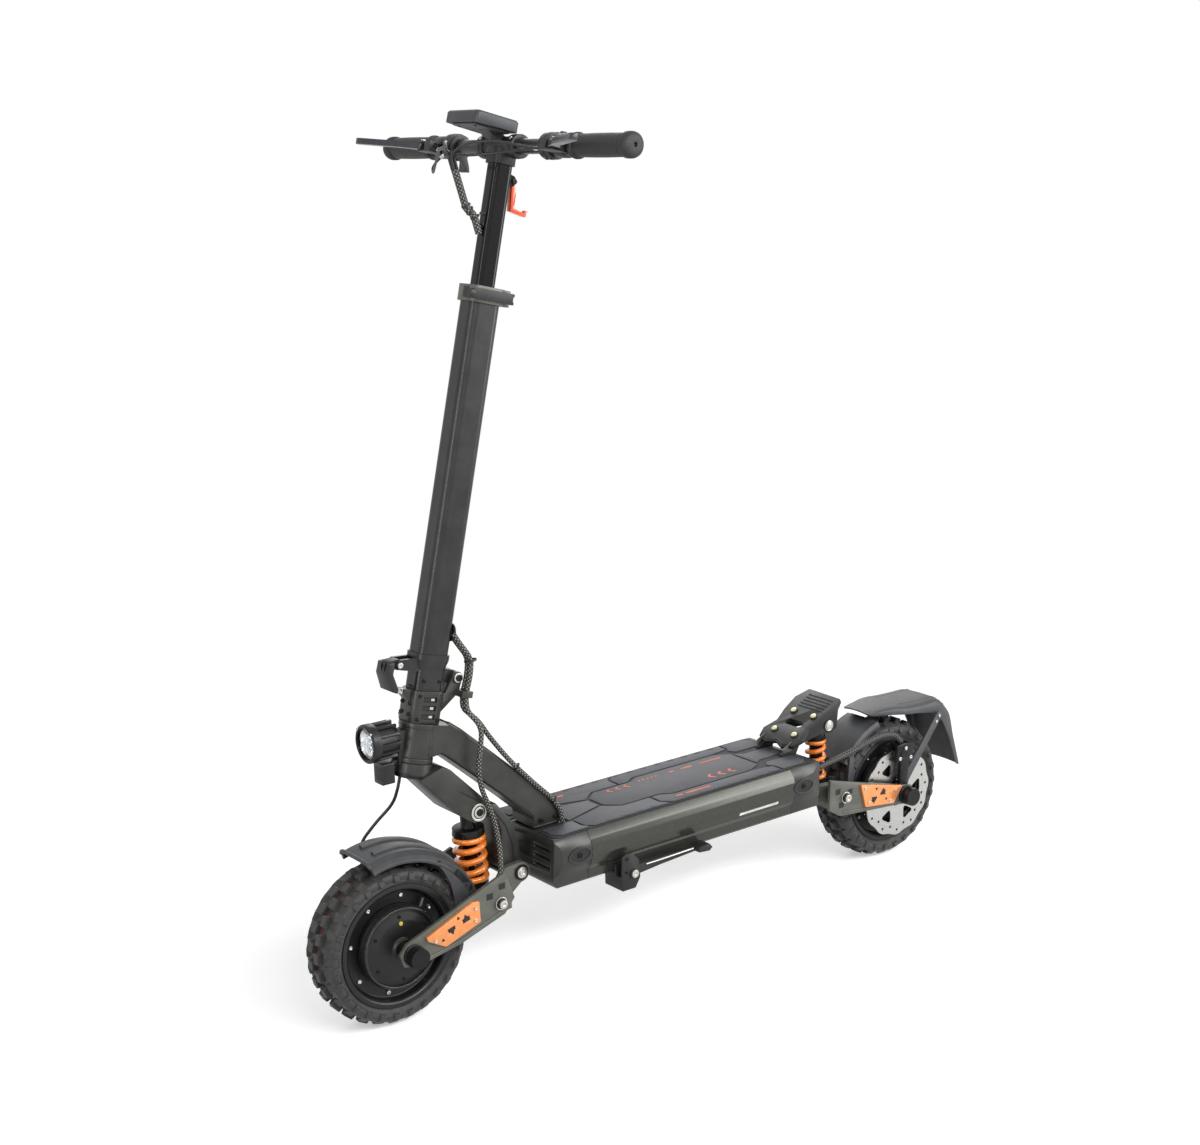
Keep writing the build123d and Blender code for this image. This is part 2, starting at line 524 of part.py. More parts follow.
def fork_bolts():
    """Fold pin, arm pivot bolt and the front damper's upper bolt."""
    pin = bar_y(-FOLD_PIN_BACK, FOLD_PIN_HIGH, FOLD_PIN_R, -FOLD_EAR_OUT, FOLD_EAR_OUT)
    for side in (-1, 1):
        pin += bar_y(-FOLD_PIN_BACK, FOLD_PIN_HIGH, 7.5, side * FOLD_EAR_OUT, side * (FOLD_EAR_OUT + 4))
    px, pz = front(FRONT_PIVOT)
    pivot = bar_y(px, pz, PIVOT_BOLT_R, -PIVOT_CHEEK_OUT, PIVOT_CHEEK_OUT)
    for side in (-1, 1):
        pivot += bar_y(px, pz, 9, side * PIVOT_CHEEK_OUT, side * (PIVOT_CHEEK_OUT + 4))
    tx, tz = front(FRONT_DAMPER_TOP)
    damper = bar_y(tx, tz, DAMPER_BOLT_R, -KNUCKLE_HALF, KNUCKLE_HALF)
    for side in (-1, 1):
        damper += bar_y(tx, tz, 9, side * KNUCKLE_HALF, side * (KNUCKLE_HALF + 3))
    return [on_steer(pin), pivot, damper]


# ---- suspension arms ------------------------------------------------------------------------
FRONT_PLATE = [
    (-168, 212), (-185, 168), (-166, 146), (-86, 121), (-14, 108), (16, 112), (22, 132), (10, 146),
]
FRONT_COVER = [(-117, 181), (-118, 148), (-55, 126), (-24, 143), (-22, 149), (-105, 183)]
FRONT_PLATE_HOLES = [(-162, 192), (-139, 181)]
REAR_PLATE = [
    (186, 197), (115, 177), (10, 148), (-16, 142), (-22, 124), (-14, 108), (12, 112), (162, 126), (188, 142),
]
REAR_COVER = [(116, 174), (12, 149), (35, 121), (105, 130)]
REAR_PLATE_HOLES = [(168, 172), (139, 166), (160, 146)]


def arm_group(place, pivot, damper, plate, holes, web):
    """Two side plates, two cheeks on the pivot, a cross web and the damper's spacers."""
    px, pz = place(pivot)
    lx, lz = place(damper)
    wx0, wx1, wz0, wz1 = web
    ahead = 1 if pivot[0] < 0 else -1
    pieces = []
    for side in (-1, 1):
        flat = side_plate([place(p) for p in plate], side * PLATE_IN, side * PLATE_OUT, 3)
        for hx, hz in holes:
            cx, cz = place((hx, hz))
            flat -= Pos(cx, side * (PLATE_IN + PLATE_OUT) / 2, cz) * Box(11, 20, 9)
        flat -= bar_y(*place((0, AXLE_Z)), AXLE_R, side * (PLATE_IN - 5), side * (PLATE_OUT + 5))
        flat -= bar_y(lx, lz, DAMPER_BOLT_R, side * (PLATE_IN - 5), side * (PLATE_OUT + 5))
        pieces.append(flat)
    body = box(wx0, wx1, -FENDER_HALF - 1, FENDER_HALF + 1, wz0, wz1)
    for side in (-1, 1):
        near = side_plate(
            [(px, pz + PIVOT_R), (px, pz - PIVOT_R), (px + ahead * 30, min(pz - PIVOT_R, lz - 12)),
             (px + ahead * 44, lz - 14), (px + ahead * 44, lz + 20), (px + ahead * 30, pz + 14)],
            side * CHEEK_IN, side * PIVOT_CHEEK_OUT)
        near += bar_y(px, pz, PIVOT_R, side * CHEEK_IN, side * PIVOT_CHEEK_OUT)
        far = side_plate(
            [(px + ahead * 34, lz + 18), (px + ahead * 34, lz - 16), (px + ahead * 80, lz - 22),
             (px + ahead * 96, lz - 22), (px + ahead * 96, lz - 8), (px + ahead * 80, lz + 14)],
            side * FENDER_HALF, side * PLATE_IN)
        spacer = bar_y(lx, lz, 9, side * (EYE_HALF + SIDE_GAP), side * (FENDER_HALF + 1))
        body = body + near + far + spacer
    body -= bar_y(px, pz, PIVOT_BOLT_R + SHAFT_FIT, -60, 60)
    body -= bar_y(lx, lz, DAMPER_BOLT_R, -80, 80)
    return [body] + pieces


def front_arm():
    px, pz = front(FRONT_PIVOT)
    return arm_group(front, FRONT_PIVOT, FRONT_DAMPER_LOW, FRONT_PLATE, FRONT_PLATE_HOLES,
                     (px + 36, px + 74, 140, 150))


def rear_arm():
    px, pz = rear(REAR_PIVOT)
    return arm_group(rear, REAR_PIVOT, REAR_DAMPER_LOW, REAR_PLATE, REAR_PLATE_HOLES,
                     (px - 62, px - 38, 131, 141))


def arm_covers(place, outline, holes):
    """The coloured cover on each arm plate."""
    cover = side_plate([place(p) for p in outline], PLATE_OUT, PLATE_OUT + COVER_THICK, 2)
    for hx, hz in holes:
        cx, cz = place((hx, hz))
        cover -= Pos(cx, PLATE_OUT + COVER_THICK / 2, cz) * Rot(Y=20) * Box(13, 20, 5)
    return both_sides(cover)


def wheel_core(x, bolt_x, bolt_z):
    """Axle with its nuts and spacers, the motor stator and the arm's damper bolt."""
    axle = bar_y(x, AXLE_Z, AXLE_R, -PLATE_OUT - 3, PLATE_OUT + 3)
    for side in (-1, 1):
        axle += bar_y(x, AXLE_Z, AXLE_SPACER_R, side * (HUB_BOSS_HALF + SIDE_GAP), side * PLATE_IN)
    stator = bar_y(x, AXLE_Z, STATOR_R, -STATOR_HALF, STATOR_HALF) - bar_y(x, AXLE_Z, AXLE_R, -60, 60)
    nuts = []
    for side in (-1, 1):
        nut = bar_y(x, AXLE_Z, 16, side * PLATE_OUT, side * (PLATE_OUT + 21))
        nut -= bar_y(x, AXLE_Z, AXLE_R, side * (PLATE_OUT - 1), side * (PLATE_OUT + 3))
        nuts.append(nut)
    bolt = bar_y(bolt_x, bolt_z, DAMPER_BOLT_R, -PLATE_OUT, PLATE_OUT)
    for side in (-1, 1):
        bolt += bar_y(bolt_x, bolt_z, 8, side * PLATE_OUT, side * (PLATE_OUT + 5))
    return [axle, stator] + nuts + [bolt]


# ---- wheels ---------------------------------------------------------------------------------
def tyre(x):
    """Pneumatic tyre as its outer envelope with three tread grooves."""
    w = TYRE_HALF_WIDTH
    crown = TYRE_R
    half = [
        (BEAD_R, RIM_HALF - 5), (BEAD_R + 6, RIM_HALF - 3), (BEAD_R + 14, w - 2), (crown - 12, w),
        (crown - 3, w - 5), (crown - 1, 20), (crown - 6, 18), (crown - 6, 14), (crown, 12),
    ]
    profile = half + [(r, -y) for r, y in reversed(half)]
    return ring_y(profile, x, AXLE_Z)


def hub_motor(x):
    """Rim, motor shell and the two side covers, turning on the axle."""
    lip = [
        (HUB_R - 2, RIM_WEB), (BEAD_R - 5, RIM_WEB), (BEAD_R - 5, RIM_HALF), (BEAD_R + 4, RIM_HALF),
        (BEAD_R + 4, RIM_HALF - 2), (BEAD_R, RIM_HALF - 5),
    ]
    rim = ring_y(lip + [(r, -y) for r, y in reversed(lip)], x, AXLE_Z)
    bore = AXLE_R + SHAFT_FIT
    half = [
        (bore, COVER_IN), (bore, HUB_BOSS_HALF), (HUB_BOSS_R, HUB_BOSS_HALF), (HUB_BOSS_R + 2, HUB_HALF),
        (HUB_R - 12, HUB_HALF), (HUB_R - 9, HUB_HALF + 3), (HUB_R - 4, HUB_HALF), (HUB_R, RIM_WEB),
        (HUB_R - 2, RIM_WEB), (HUB_R - 2, COVER_IN),
    ]
    covers = []
    for side in (-1, 1):
        low, high = HUB_R + 4, BEAD_R - 9
        trench = [(low, RIM_FLOOR), (high, RIM_FLOOR), (high, RIM_WEB + 1), (low, RIM_WEB + 1)]
        rim -= ring_y([(r, side * y) for r, y in trench], x, AXLE_Z)
        covers.append(ring_y([(r, side * y) for r, y in half], x, AXLE_Z))
    return [rim] + covers


def brake_disc(x, side):
    """Wave-edged brake disc with cut-outs, bolted to the hub cover."""
    edge = []
    for k in range(WAVE_STEPS):
        turn = 2 * pi * k / WAVE_STEPS
        radius = DISC_R - WAVE_DEPTH + WAVE_DEPTH * cos(WAVES * turn)
        edge.append((radius * cos(turn), radius * sin(turn)))
    face = make_face(Polyline(*edge, close=True)) - Circle(24)
    for k in range(DISC_SPOKES):
        face -= Rot(Z=360 / DISC_SPOKES * k) * Pos(44, 0) * Triangle(a=24, b=30, c=30)
    disc = extrude(Plane.XY * face, amount=DISC_THICK)
    disc = Pos(x, side * DISC_Y + DISC_THICK / 2, AXLE_Z) * Rot(X=90) * disc
    bore, rim, face_y = HUB_BOSS_R + 2.5, HUB_BOSS_R + 9, DISC_Y - DISC_THICK / 2
    carrier = [(bore, HUB_HALF), (rim, HUB_HALF), (rim, face_y), (bore, face_y)]
    return disc + ring_y([(r, side * y) for r, y in carrier], x, AXLE_Z)


def caliper(x, side, turn):
    """Brake caliper over the disc's rim, on a lug down to the arm plate."""
    y0, y1 = side * (DISC_Y - 6.6), side * (DISC_Y + 14)
    inner, outer = DISC_R - 24, DISC_R + 8
    block = side_plate([(inner, -20), (outer, -20), (outer + 4, 0), (outer, 22), (inner, 22)], y0, y1, 4)
    block -= box(inner - 6, DISC_R + 2.5, side * DISC_Y - SLIT_HALF, side * DISC_Y + SLIT_HALF, -30, 30)
    lug = side_plate([(14, -9), (14, 9), (DISC_R - 14, 12), (DISC_R - 14, -12)],
                     side * (PLATE_IN - 8), side * PLATE_IN)
    whole = block + lug
    return Pos(x, 0, AXLE_Z) * Rot(Y=-turn) * whole


def fender_shell(x, start, end, half, radius=FENDER_R, lip=14.0):
    """Curved mudguard from start to end degrees, counted from forward over the top."""
    thick = FENDER_THICK
    profile = [(radius - lip, half), (radius - lip, half - thick), (radius, half - thick - 6),
               (radius, thick + 6 - half), (radius - lip, thick - half), (radius - lip, -half),
               (radius + thick - 6, -half), (radius + thick, 10 - half), (radius + thick, half - 10),
               (radius + thick - 6, half)]
    face = make_face(Polyline(*profile, close=True))
    shell = revolve(Plane.XY * face, Axis.Y, end - start)
    return Pos(x, 0, AXLE_Z) * Rot(Y=-end) * shell


def front_fender():
    shell = fender_shell(FRONT_X, 72, 165, FENDER_HALF)
    notch = box(FRONT_X - 170, FRONT_X - 112, -33, 33, 120, 240)
    return shell - notch


REAR_GUARD_HALF, GUARD_WALL = 50.0, 3.0
REAR_GUARD = [(50, 152), (0, 154), (-50, 150), (-92, 147), (-118, 150), (-147, 116), (-153, 78), (-172, 12)]
REAR_GUARD_SKIRT = [
    (-160, 14), (-138, 74), (-126, 104), (-108, 128), (-92, 131), (-50, 137), (0, 141), (36, 146),
]
STAY_TURN, STAY_Y, STAY_THICK = 130.0, 56.5, 3.0


def rear_fender():
    """Rear mudguard on two stays to the axle, and the hugger between tyre and damper."""
    inside = [(x * 0.98, z * 0.98) for x, z in reversed(REAR_GUARD)]
    guard = side_plate(REAR_GUARD + inside, -REAR_GUARD_HALF, REAR_GUARD_HALF)
    for side in (-1, 1):
        wall_in, wall_out = side * (REAR_GUARD_HALF - GUARD_WALL), side * REAR_GUARD_HALF
        guard += side_plate(REAR_GUARD + REAR_GUARD_SKIRT, wall_in, wall_out)
        stay_in, stay_out = side * STAY_Y, side * (STAY_Y + STAY_THICK)
        stay = side_plate([(13, -8), (13, 8), (166, 7), (166, -7)], stay_in, stay_out)
        stay += bar_y(0, 0, 19, stay_in, stay_out)
        stay += side_plate([(158, -7), (158, 7), (169, 7), (169, -7)], wall_out - side, stay_out)
        stay -= bar_y(0, 0, AXLE_SPACER_R, -60, 60)
        guard += Rot(Y=-STAY_TURN) * stay
    guard = Pos(REAR_X, 0, AXLE_Z) * guard
    hugger = fender_shell(REAR_X, 33, 76, 42, 137, 8)
    for side in (-1, 1):
        tab = side_plate([(118, 26), (104, 26), (98, 84), (110, 90)], side * 40.5, side * FENDER_HALF)
        hugger += Pos(REAR_X, 0, AXLE_Z) * tab
    return [guard, hugger]


# ---- dampers --------------------------------------------------------------------------------
DAMPER_BODY_R, DAMPER_ROD_R = 11.0, 5.0


def damper_plane(place, top, low):
    """A plane at the upper eye, whose Z runs down to the lower eye."""
    tx, tz = place(top)
    lx, lz = place(low)
    along = Vector(lx - tx, 0, lz - tz)
    return Plane(origin=(tx, 0, tz), x_dir=(0, 1, 0), z_dir=along), along.length


def damper(place, top, low, seat_top, seat_low, collar_r):
    """Damper as its body, its rod and the spring between their seats."""
    plane, length = damper_plane(place, top, low)

    def across(radius, z, half):
        return Pos(0, 0, z) * Rot(Y=90) * Cylinder(radius, 2 * half)

    body = across(EYE_R, 0, EYE_HALF) + bar_z(0, 0, DAMPER_BODY_R, 6, length * 0.62)
    body += bar_z(0, 0, collar_r, seat_top - 12, seat_top)
    body -= across(DAMPER_BOLT_R + SHAFT_FIT, 0, EYE_HALF + 2)
    body -= bar_z(0, 0, DAMPER_ROD_R + SHAFT_FIT, length * 0.62 - 26, length * 0.62 + 1)
    rod = across(EYE_R, length, EYE_HALF) + bar_z(0, 0, DAMPER_ROD_R, length * 0.62 - 10, length - 4)
    rod += bar_z(0, 0, collar_r, seat_low, seat_low + 5) + bar_z(0, 0, 8, seat_low + 5, length - 6)
    rod -= across(DAMPER_BOLT_R + EYE_SLACK, length, EYE_HALF + 2)
    return plane.location * body, plane.location * rod


def coil_spring(place, top, low, seat_top, seat_low, coil_r, wire_r, turns):
    """Spring of round wire, wound between the two seats."""
    plane, _ = damper_plane(place, top, low)
    first, last = seat_top + wire_r + 0.2, seat_low - wire_r - 0.2
    helix = Helix(pitch=(last - first) / turns, height=last - first, radius=coil_r)
    start = Plane(origin=helix @ 0, z_dir=helix % 0)
    wire = sweep(start * Circle(wire_r), path=helix, is_frenet=True)
    return plane.location * Pos(0, 0, first) * wire


FRONT_SEATS = (46.0, 121.0, 25.0)      # upper seat, lower seat along the damper; seat radius
REAR_SEATS = (32.0, 104.0, 18.0)
FRONT_COIL = (22.5, 4.0, 4.0)          # coil radius, wire radius, turns
REAR_COIL = (15.0, 3.5, 4.5)


# ---- stem -----------------------------------------------------------------------------------
def stem_tube():
    """Outer stem with its cast foot, rear fold lug and latch ears."""
    tube = round_box(STEM_LONG, STEM_WIDE, STEM_CORNER, STEM_FOOT_HIGH - 6, STEM_TOP)
    slim = (STEM_LONG - 4, STEM_WIDE - 2, STEM_CORNER - 1)
    stout = (STEM_LONG + 6, STEM_WIDE + 6, STEM_CORNER + 3)
    foot = round_box(*slim, FOLD_SEAM + SIDE_GAP, STEM_FOOT_HIGH)
    flare = loft([Plane.XY.offset(STEM_FOOT_HIGH - 16) * RectangleRounded(*slim),
                  Plane.XY.offset(STEM_FOOT_HIGH) * RectangleRounded(*stout)])
    flare += round_box(*stout, STEM_FOOT_HIGH, STEM_FOOT_HIGH + 8)
    body = tube + foot + flare
    body -= round_box(STEM_LONG - 2 * STEM_WALL, STEM_WIDE - 2 * STEM_WALL, STEM_CORNER - STEM_WALL,
                      FOLD_SEAM + 16, STEM_TOP + 1)
    root, lug_half = STEM_LONG / 2 - 4, FOLD_EAR_IN - SIDE_GAP
    body += side_plate([(-root, FOLD_PIN_HIGH + 12), (-FOLD_PIN_BACK, FOLD_PIN_HIGH + FOLD_LUG_R),
                        (-FOLD_PIN_BACK, FOLD_PIN_HIGH - FOLD_LUG_R), (-root, FOLD_PIN_HIGH - 10)],
                       -lug_half, lug_half)
    body += bar_y(-FOLD_PIN_BACK, FOLD_PIN_HIGH, FOLD_LUG_R, -lug_half, lug_half)
    for side in (-1, 1):
        body += side_plate(
            [(root, STEM_FOOT_HIGH + 2), (LATCH_X, LATCH_T + 8), (LATCH_X + 7, LATCH_T),
             (LATCH_X, LATCH_T - 7), (root, LATCH_T - 8)], side * LATCH_HALF, side * (LATCH_HALF + LATCH_EAR))
    body -= bar_y(-FOLD_PIN_BACK, FOLD_PIN_HIGH, FOLD_PIN_R + SHAFT_FIT, -60, 60)
    body -= bar_y(LATCH_X, LATCH_T, LATCH_PIN_R + SHAFT_FIT, -60, 60)
    return on_steer(body)


def fold_latch():
    """Latch lever at the front of the fold, on its own cross pin."""
    half = LATCH_HALF - SIDE_GAP
    pin_half = LATCH_HALF + LATCH_EAR
    barrel = bar_y(0, 0, 8, -half, half) + bar_y(0, 0, LATCH_PIN_R, -pin_half, pin_half)
    handle = side_plate([(2, 8), (17, 4), (20, -16), (8, -40), (-1, -42), (-3, -34), (8, -14), (4, -5)],
                        -half, half)
    grip = side_plate([(11, 3), (19, 1), (20, -16), (8, -40), (-1, -42), (-2, -36), (11, -14)],
                      -LATCH_GRIP_HALF, LATCH_GRIP_HALF)
    return on_steer(Pos(LATCH_X, 0, LATCH_T) * (barrel + handle + grip))


def stem_collar():
    """Clamp collar round the top of the outer stem, and the bush that guides the inner one."""
    ring = round_box(STEM_LONG + 2 * COLLAR_WALL, STEM_WIDE + 2 * COLLAR_WALL, STEM_CORNER + COLLAR_WALL,
                     COLLAR_LOW, COLLAR_HIGH)
    ring -= round_box(STEM_LONG, STEM_WIDE, STEM_CORNER, COLLAR_LOW - 1, STEM_TOP)
    ring -= round_box(INNER_LONG + 2, INNER_WIDE + 2, INNER_CORNER + 1, COLLAR_LOW - 1, COLLAR_HIGH + 1)
    rear_face = -STEM_LONG / 2
    ring += box(rear_face - 16, rear_face - 3, -CLAMP_EAR_HALF, CLAMP_EAR_HALF, COLLAR_LOW, COLLAR_HIGH)
    ring -= box(rear_face - 20, rear_face + 6, -1.2, 1.2, COLLAR_LOW - 1, COLLAR_HIGH + 1)
    ring -= bar_y(-CLAMP_BACK, CLAMP_T, CLAMP_BOLT_R, -30, 30)
    wall, bush_low = STEM_WALL + 0.2, STEM_TOP - 60
    bush = round_box(STEM_LONG - 2 * wall, STEM_WIDE - 2 * wall, STEM_CORNER - wall, bush_low, STEM_TOP)
    bush -= round_box(INNER_LONG + 0.3, INNER_WIDE + 0.3, INNER_CORNER + 0.15, bush_low - 1, STEM_TOP + 1)
    bolt = bar_y(-CLAMP_BACK, CLAMP_T, CLAMP_BOLT_R, -CLAMP_EAR_HALF - 6, CLAMP_PIVOT_Y)
    bolt += bar_y(-CLAMP_BACK, CLAMP_T, 6.5, -CLAMP_EAR_HALF - 6, -CLAMP_EAR_HALF)
    bolt += bar_z(-CLAMP_BACK, CLAMP_PIVOT_Y, CLAMP_PIN_R, CLAMP_T - CLAMP_HALF, CLAMP_T + CLAMP_HALF)
    return [on_steer(ring), on_steer(bush), on_steer(bolt)]


def clamp_lever():
    """Quick-release lever: a slotted cam on the bolt's cross pin and an arm along the left side."""
    low, high = CLAMP_T - CLAMP_HALF, CLAMP_T + CLAMP_HALF
    inner = STEM_WIDE / 2 + COLLAR_WALL + 0.6
    outer = inner + 5.4
    nose = STEM_LONG / 2 + COLLAR_WALL + 1
    cam = bar_z(-CLAMP_BACK, CLAMP_PIVOT_Y, CLAMP_CAM_R, low, high)
    cam += box(-CLAMP_BACK, -CLAMP_BACK + 8, CLAMP_PIVOT_Y, inner + 1, low, high)
    cam -= box(-CLAMP_BACK - 20, -CLAMP_BACK + 20, 0, inner + 2, CLAMP_T - CLAMP_SLOT, CLAMP_T + CLAMP_SLOT)
    arm = box(-CLAMP_BACK, nose + 5, inner, outer, low, high)
    arm = fillet(arm.edges().filter_by(Axis.Z), 2)
    tip = box(nose, nose + 12, STEM_WIDE / 2 - 7, outer, low, high)
    tip = fillet(tip.edges().filter_by(Axis.Z), 5)
    lever = cam + arm + tip
    return on_steer(lever - bar_z(-CLAMP_BACK, CLAMP_PIVOT_Y, CLAMP_PIN_R + SHAFT_FIT, low - 1, high + 1))


def inner_tube():
    tube = round_box(INNER_LONG, INNER_WIDE, INNER_CORNER, INNER_LOW, INNER_TOP)
    tube -= round_box(INNER_LONG - 2 * INNER_WALL, INNER_WIDE - 2 * INNER_WALL, INNER_CORNER - INNER_WALL,
                      INNER_LOW - 1, INNER_TOP + 1)
    return on_steer(tube + hook_pin())


def bar_clamp():
    """Cast head on the inner stem, with two rings round the handlebar."""
    block = round_box(INNER_LONG - 2 * INNER_WALL - 0.1, INNER_WIDE - 2 * INNER_WALL - 0.1,
                      INNER_CORNER - INNER_WALL, INNER_TOP - 20, INNER_TOP)
    block += round_box(INNER_LONG + 6, INNER_WIDE + 8, INNER_CORNER + 3, INNER_TOP, BAR_T - 2)
    block += bar_y(0, BAR_T, CLAMP_BARREL_R, -CLAMP_RING_Y, CLAMP_RING_Y)
    for side in (-1, 1):
        block += bar_y(0, BAR_T, CLAMP_RING_R, side * (CLAMP_RING_Y - CLAMP_RING_WIDE / 2),
                       side * (CLAMP_RING_Y + CLAMP_RING_WIDE / 2))
    block -= bar_y(0, BAR_T, BAR_R, -80, 80)
    return on_steer(block)


def handlebar():
    bar = bar_y(0, BAR_T, BAR_R, -BAR_HALF, BAR_HALF)
    return on_steer(bar - bar_y(0, BAR_T, BAR_BORE_R, -BAR_HALF - 1, BAR_HALF + 1))


def grips():
    """Rubber grips with closed ends."""
    out = BAR_HALF + GRIP_CAP
    grip = bar_y(0, BAR_T, GRIP_R, out - GRIP_LENGTH, out)
    grip = fillet(grip.edges().filter_by(GeomType.CIRCLE).sort_by(Axis.Y)[-1:], 4)
    grip += bar_y(0, BAR_T, GRIP_R + 2.5, out - GRIP_LENGTH, out - GRIP_LENGTH + 5)
    grip -= bar_y(0, BAR_T, BAR_R, out - GRIP_LENGTH - 1, BAR_HALF)
    return [on_steer(g) for g in both_sides(grip)]


def ring_on_bar(y, wide, radius):
    """A clamp ring round the bar, centred at y."""
    ring = bar_y(0, BAR_T, radius, y - wide / 2, y + wide / 2)
    return ring - bar_y(0, BAR_T, BAR_R, y - wide, y + wide)


def bar_controls():
    """Brake perches on both sides, throttle body on the right and switch pod on the left."""
    perch = ring_on_bar(PERCH_Y, PERCH_WIDE, PERCH_RING_R)
    perch += box(8, LEVER_PIVOT_X + 6, PERCH_Y - PERCH_WIDE / 2, LEVER_PIVOT_Y + 6, BAR_T - 12, BAR_T + 4)
    perch -= box(LEVER_PIVOT_X - 9, LEVER_PIVOT_X + 12, LEVER_PIVOT_Y - 12, LEVER_PIVOT_Y + 12,
                 BAR_T - LEVER_LOW - 0.5, BAR_T + 1)
    perch -= bar_y(0, BAR_T, BAR_R, 0, BAR_HALF)
    perch += bar_z(LEVER_PIVOT_X, LEVER_PIVOT_Y, LEVER_PIVOT_R, BAR_T - 12, BAR_T + 4)
    throttle_body = ring_on_bar(-THROTTLE_Y, THROTTLE_WIDE, THROTTLE_RING_R)
    pod = ring_on_bar(SWITCH_Y, SWITCH_WIDE, SWITCH_RING_R)
    pod += box(-24, -6, SWITCH_Y - SWITCH_WIDE / 2, SWITCH_Y + SWITCH_WIDE / 2, BAR_T + 2, BAR_T + 20)
    pod -= bar_y(0, BAR_T, BAR_R, 0, BAR_HALF)
    pod -= bar_z(BUTTON_X, SWITCH_Y, BUTTON_R + SHAFT_FIT, BAR_T + BUTTON_SEAT, BAR_T + 21)
    return [on_steer(p) for p in both_sides(perch) + [throttle_body, pod]]


def brake_lever(side):
    """Curved brake lever on its pivot in the perch."""
    outline = [
        (LEVER_PIVOT_X - 7, LEVER_PIVOT_Y - 6), (LEVER_PIVOT_X - 7, LEVER_PIVOT_Y + 8),
        (LEVER_PIVOT_X + 14, LEVER_PIVOT_Y + 34), (LEVER_TIP_X - LEVER_DEEP, LEVER_TIP_Y - 10),
        (LEVER_TIP_X - 6, LEVER_TIP_Y), (LEVER_TIP_X, LEVER_TIP_Y - 4), (LEVER_TIP_X, LEVER_TIP_Y - 12),
        (LEVER_PIVOT_X + 26, LEVER_PIVOT_Y + 30), (LEVER_PIVOT_X + 8, LEVER_PIVOT_Y - 4),
    ]
    face = fillet(make_face(Polyline(*outline, close=True)).vertices(), 2.4)
    lever = Pos(0, 0, BAR_T - LEVER_LOW) * extrude(Plane.XY * face, amount=LEVER_THICK)
    lever -= bar_z(LEVER_PIVOT_X, LEVER_PIVOT_Y, LEVER_PIVOT_R + SHAFT_FIT, BAR_T - 20, BAR_T + 20)
    if side < 0:
        lever = mirror(lever, about=Plane.XZ)
    return on_steer(lever)


def throttle():
    """Thumb paddle on a ring beside the throttle body."""
    y0 = -THROTTLE_Y + THROTTLE_WIDE / 2 + 0.3
    ring = bar_y(0, BAR_T, THROTTLE_RING_R - 2, y0, y0 + 7)
    paddle = side_plate([(-10, -8), (-18, -26), (-13, -30), (4, -14)], y0, y0 + 7)
    pad = side_plate([(-13, -20), (-18, -26), (-20, -34), (-14, -34)], y0 - 14, y0 + 7)
    body = ring + Pos(0, 0, BAR_T) * (paddle + pad)
    body -= bar_y(0, BAR_T, BAR_R + SHAFT_FIT, y0 - 30, y0 + 20)
    return on_steer(body)


def switch_button():
    low = BAR_T + BUTTON_SEAT + BUTTON_TRAVEL + 0.2
    return on_steer(bar_z(BUTTON_X, SWITCH_Y, BUTTON_R, low, BAR_T + 20 + BUTTON_HIGH))


def display():
    """Display head on an arm from the bar clamp, tilted towards the rider."""
    centre = steer_point(0, 0, BAR_T) + Vector(DISPLAY_X, 0, DISPLAY_Z)
    case = Box(DISPLAY_LONG, DISPLAY_WIDE, DISPLAY_THICK)
    case = fillet(case.edges().filter_by(Axis.Z), 9)
    case = chamfer(case.faces().sort_by(Axis.Z)[-1].edges(), 2.5)
    case -= Pos(0, 0, DISPLAY_THICK / 2) * Box(DISPLAY_LONG - 16, DISPLAY_WIDE - 14, 1.6)
    case = Location((centre.X, centre.Y, centre.Z), (0, -DISPLAY_TILT, 0)) * case
    post = steer_point(0, 0, BAR_T)
    stalk = side_plate([(post.X - 4, post.Z + 6), (post.X + 14, post.Z + 6), (centre.X + 6, centre.Z - 6),
                        (centre.X - 14, centre.Z - 6)], -14, 14)
    stalk -= on_steer(bar_y(0, BAR_T, CLAMP_BARREL_R, -80, 80))
    return case + stalk


def hook():
    """Carry hook behind the stem top: a hinged strip and the toe that stands out from its end."""
    base = bar_y(HOOK_BACK, HOOK_T, 6, -HOOK_HALF, HOOK_HALF)
    strip = side_plate(
        [(HOOK_BACK - 5, HOOK_T + 2), (HOOK_BACK + 2, HOOK_T + 5), (HOOK_BACK - 3, HOOK_T - 43),
         (HOOK_BACK - 31, HOOK_T - 47), (HOOK_BACK - 34, HOOK_T - 38), (HOOK_BACK - 30, HOOK_T - 37),
         (HOOK_BACK - 28, HOOK_T - 42), (HOOK_BACK - 9, HOOK_T - 37)], -HOOK_HALF, HOOK_HALF)
    body = base + strip
    return on_steer(body - bar_y(HOOK_BACK, HOOK_T, HOOK_PIN_R + SHAFT_FIT, -10, 10))


def hook_pin():
    """Two ears and a pin that carry the hook, clamped to the inner stem."""
    ear_in, ear_out = HOOK_HALF + SIDE_GAP, HOOK_HALF + 3
    ears = bar_y(HOOK_BACK, HOOK_T, HOOK_PIN_R, -ear_out, ear_out)
    for side in (-1, 1):
        ears += side_plate(
            [(HOOK_BACK + 7.2, HOOK_T + 9), (HOOK_BACK, HOOK_T + 7), (HOOK_BACK - 6, HOOK_T),
             (HOOK_BACK, HOOK_T - 7), (HOOK_BACK + 7.2, HOOK_T - 9)], side * ear_in, side * ear_out)
    return ears


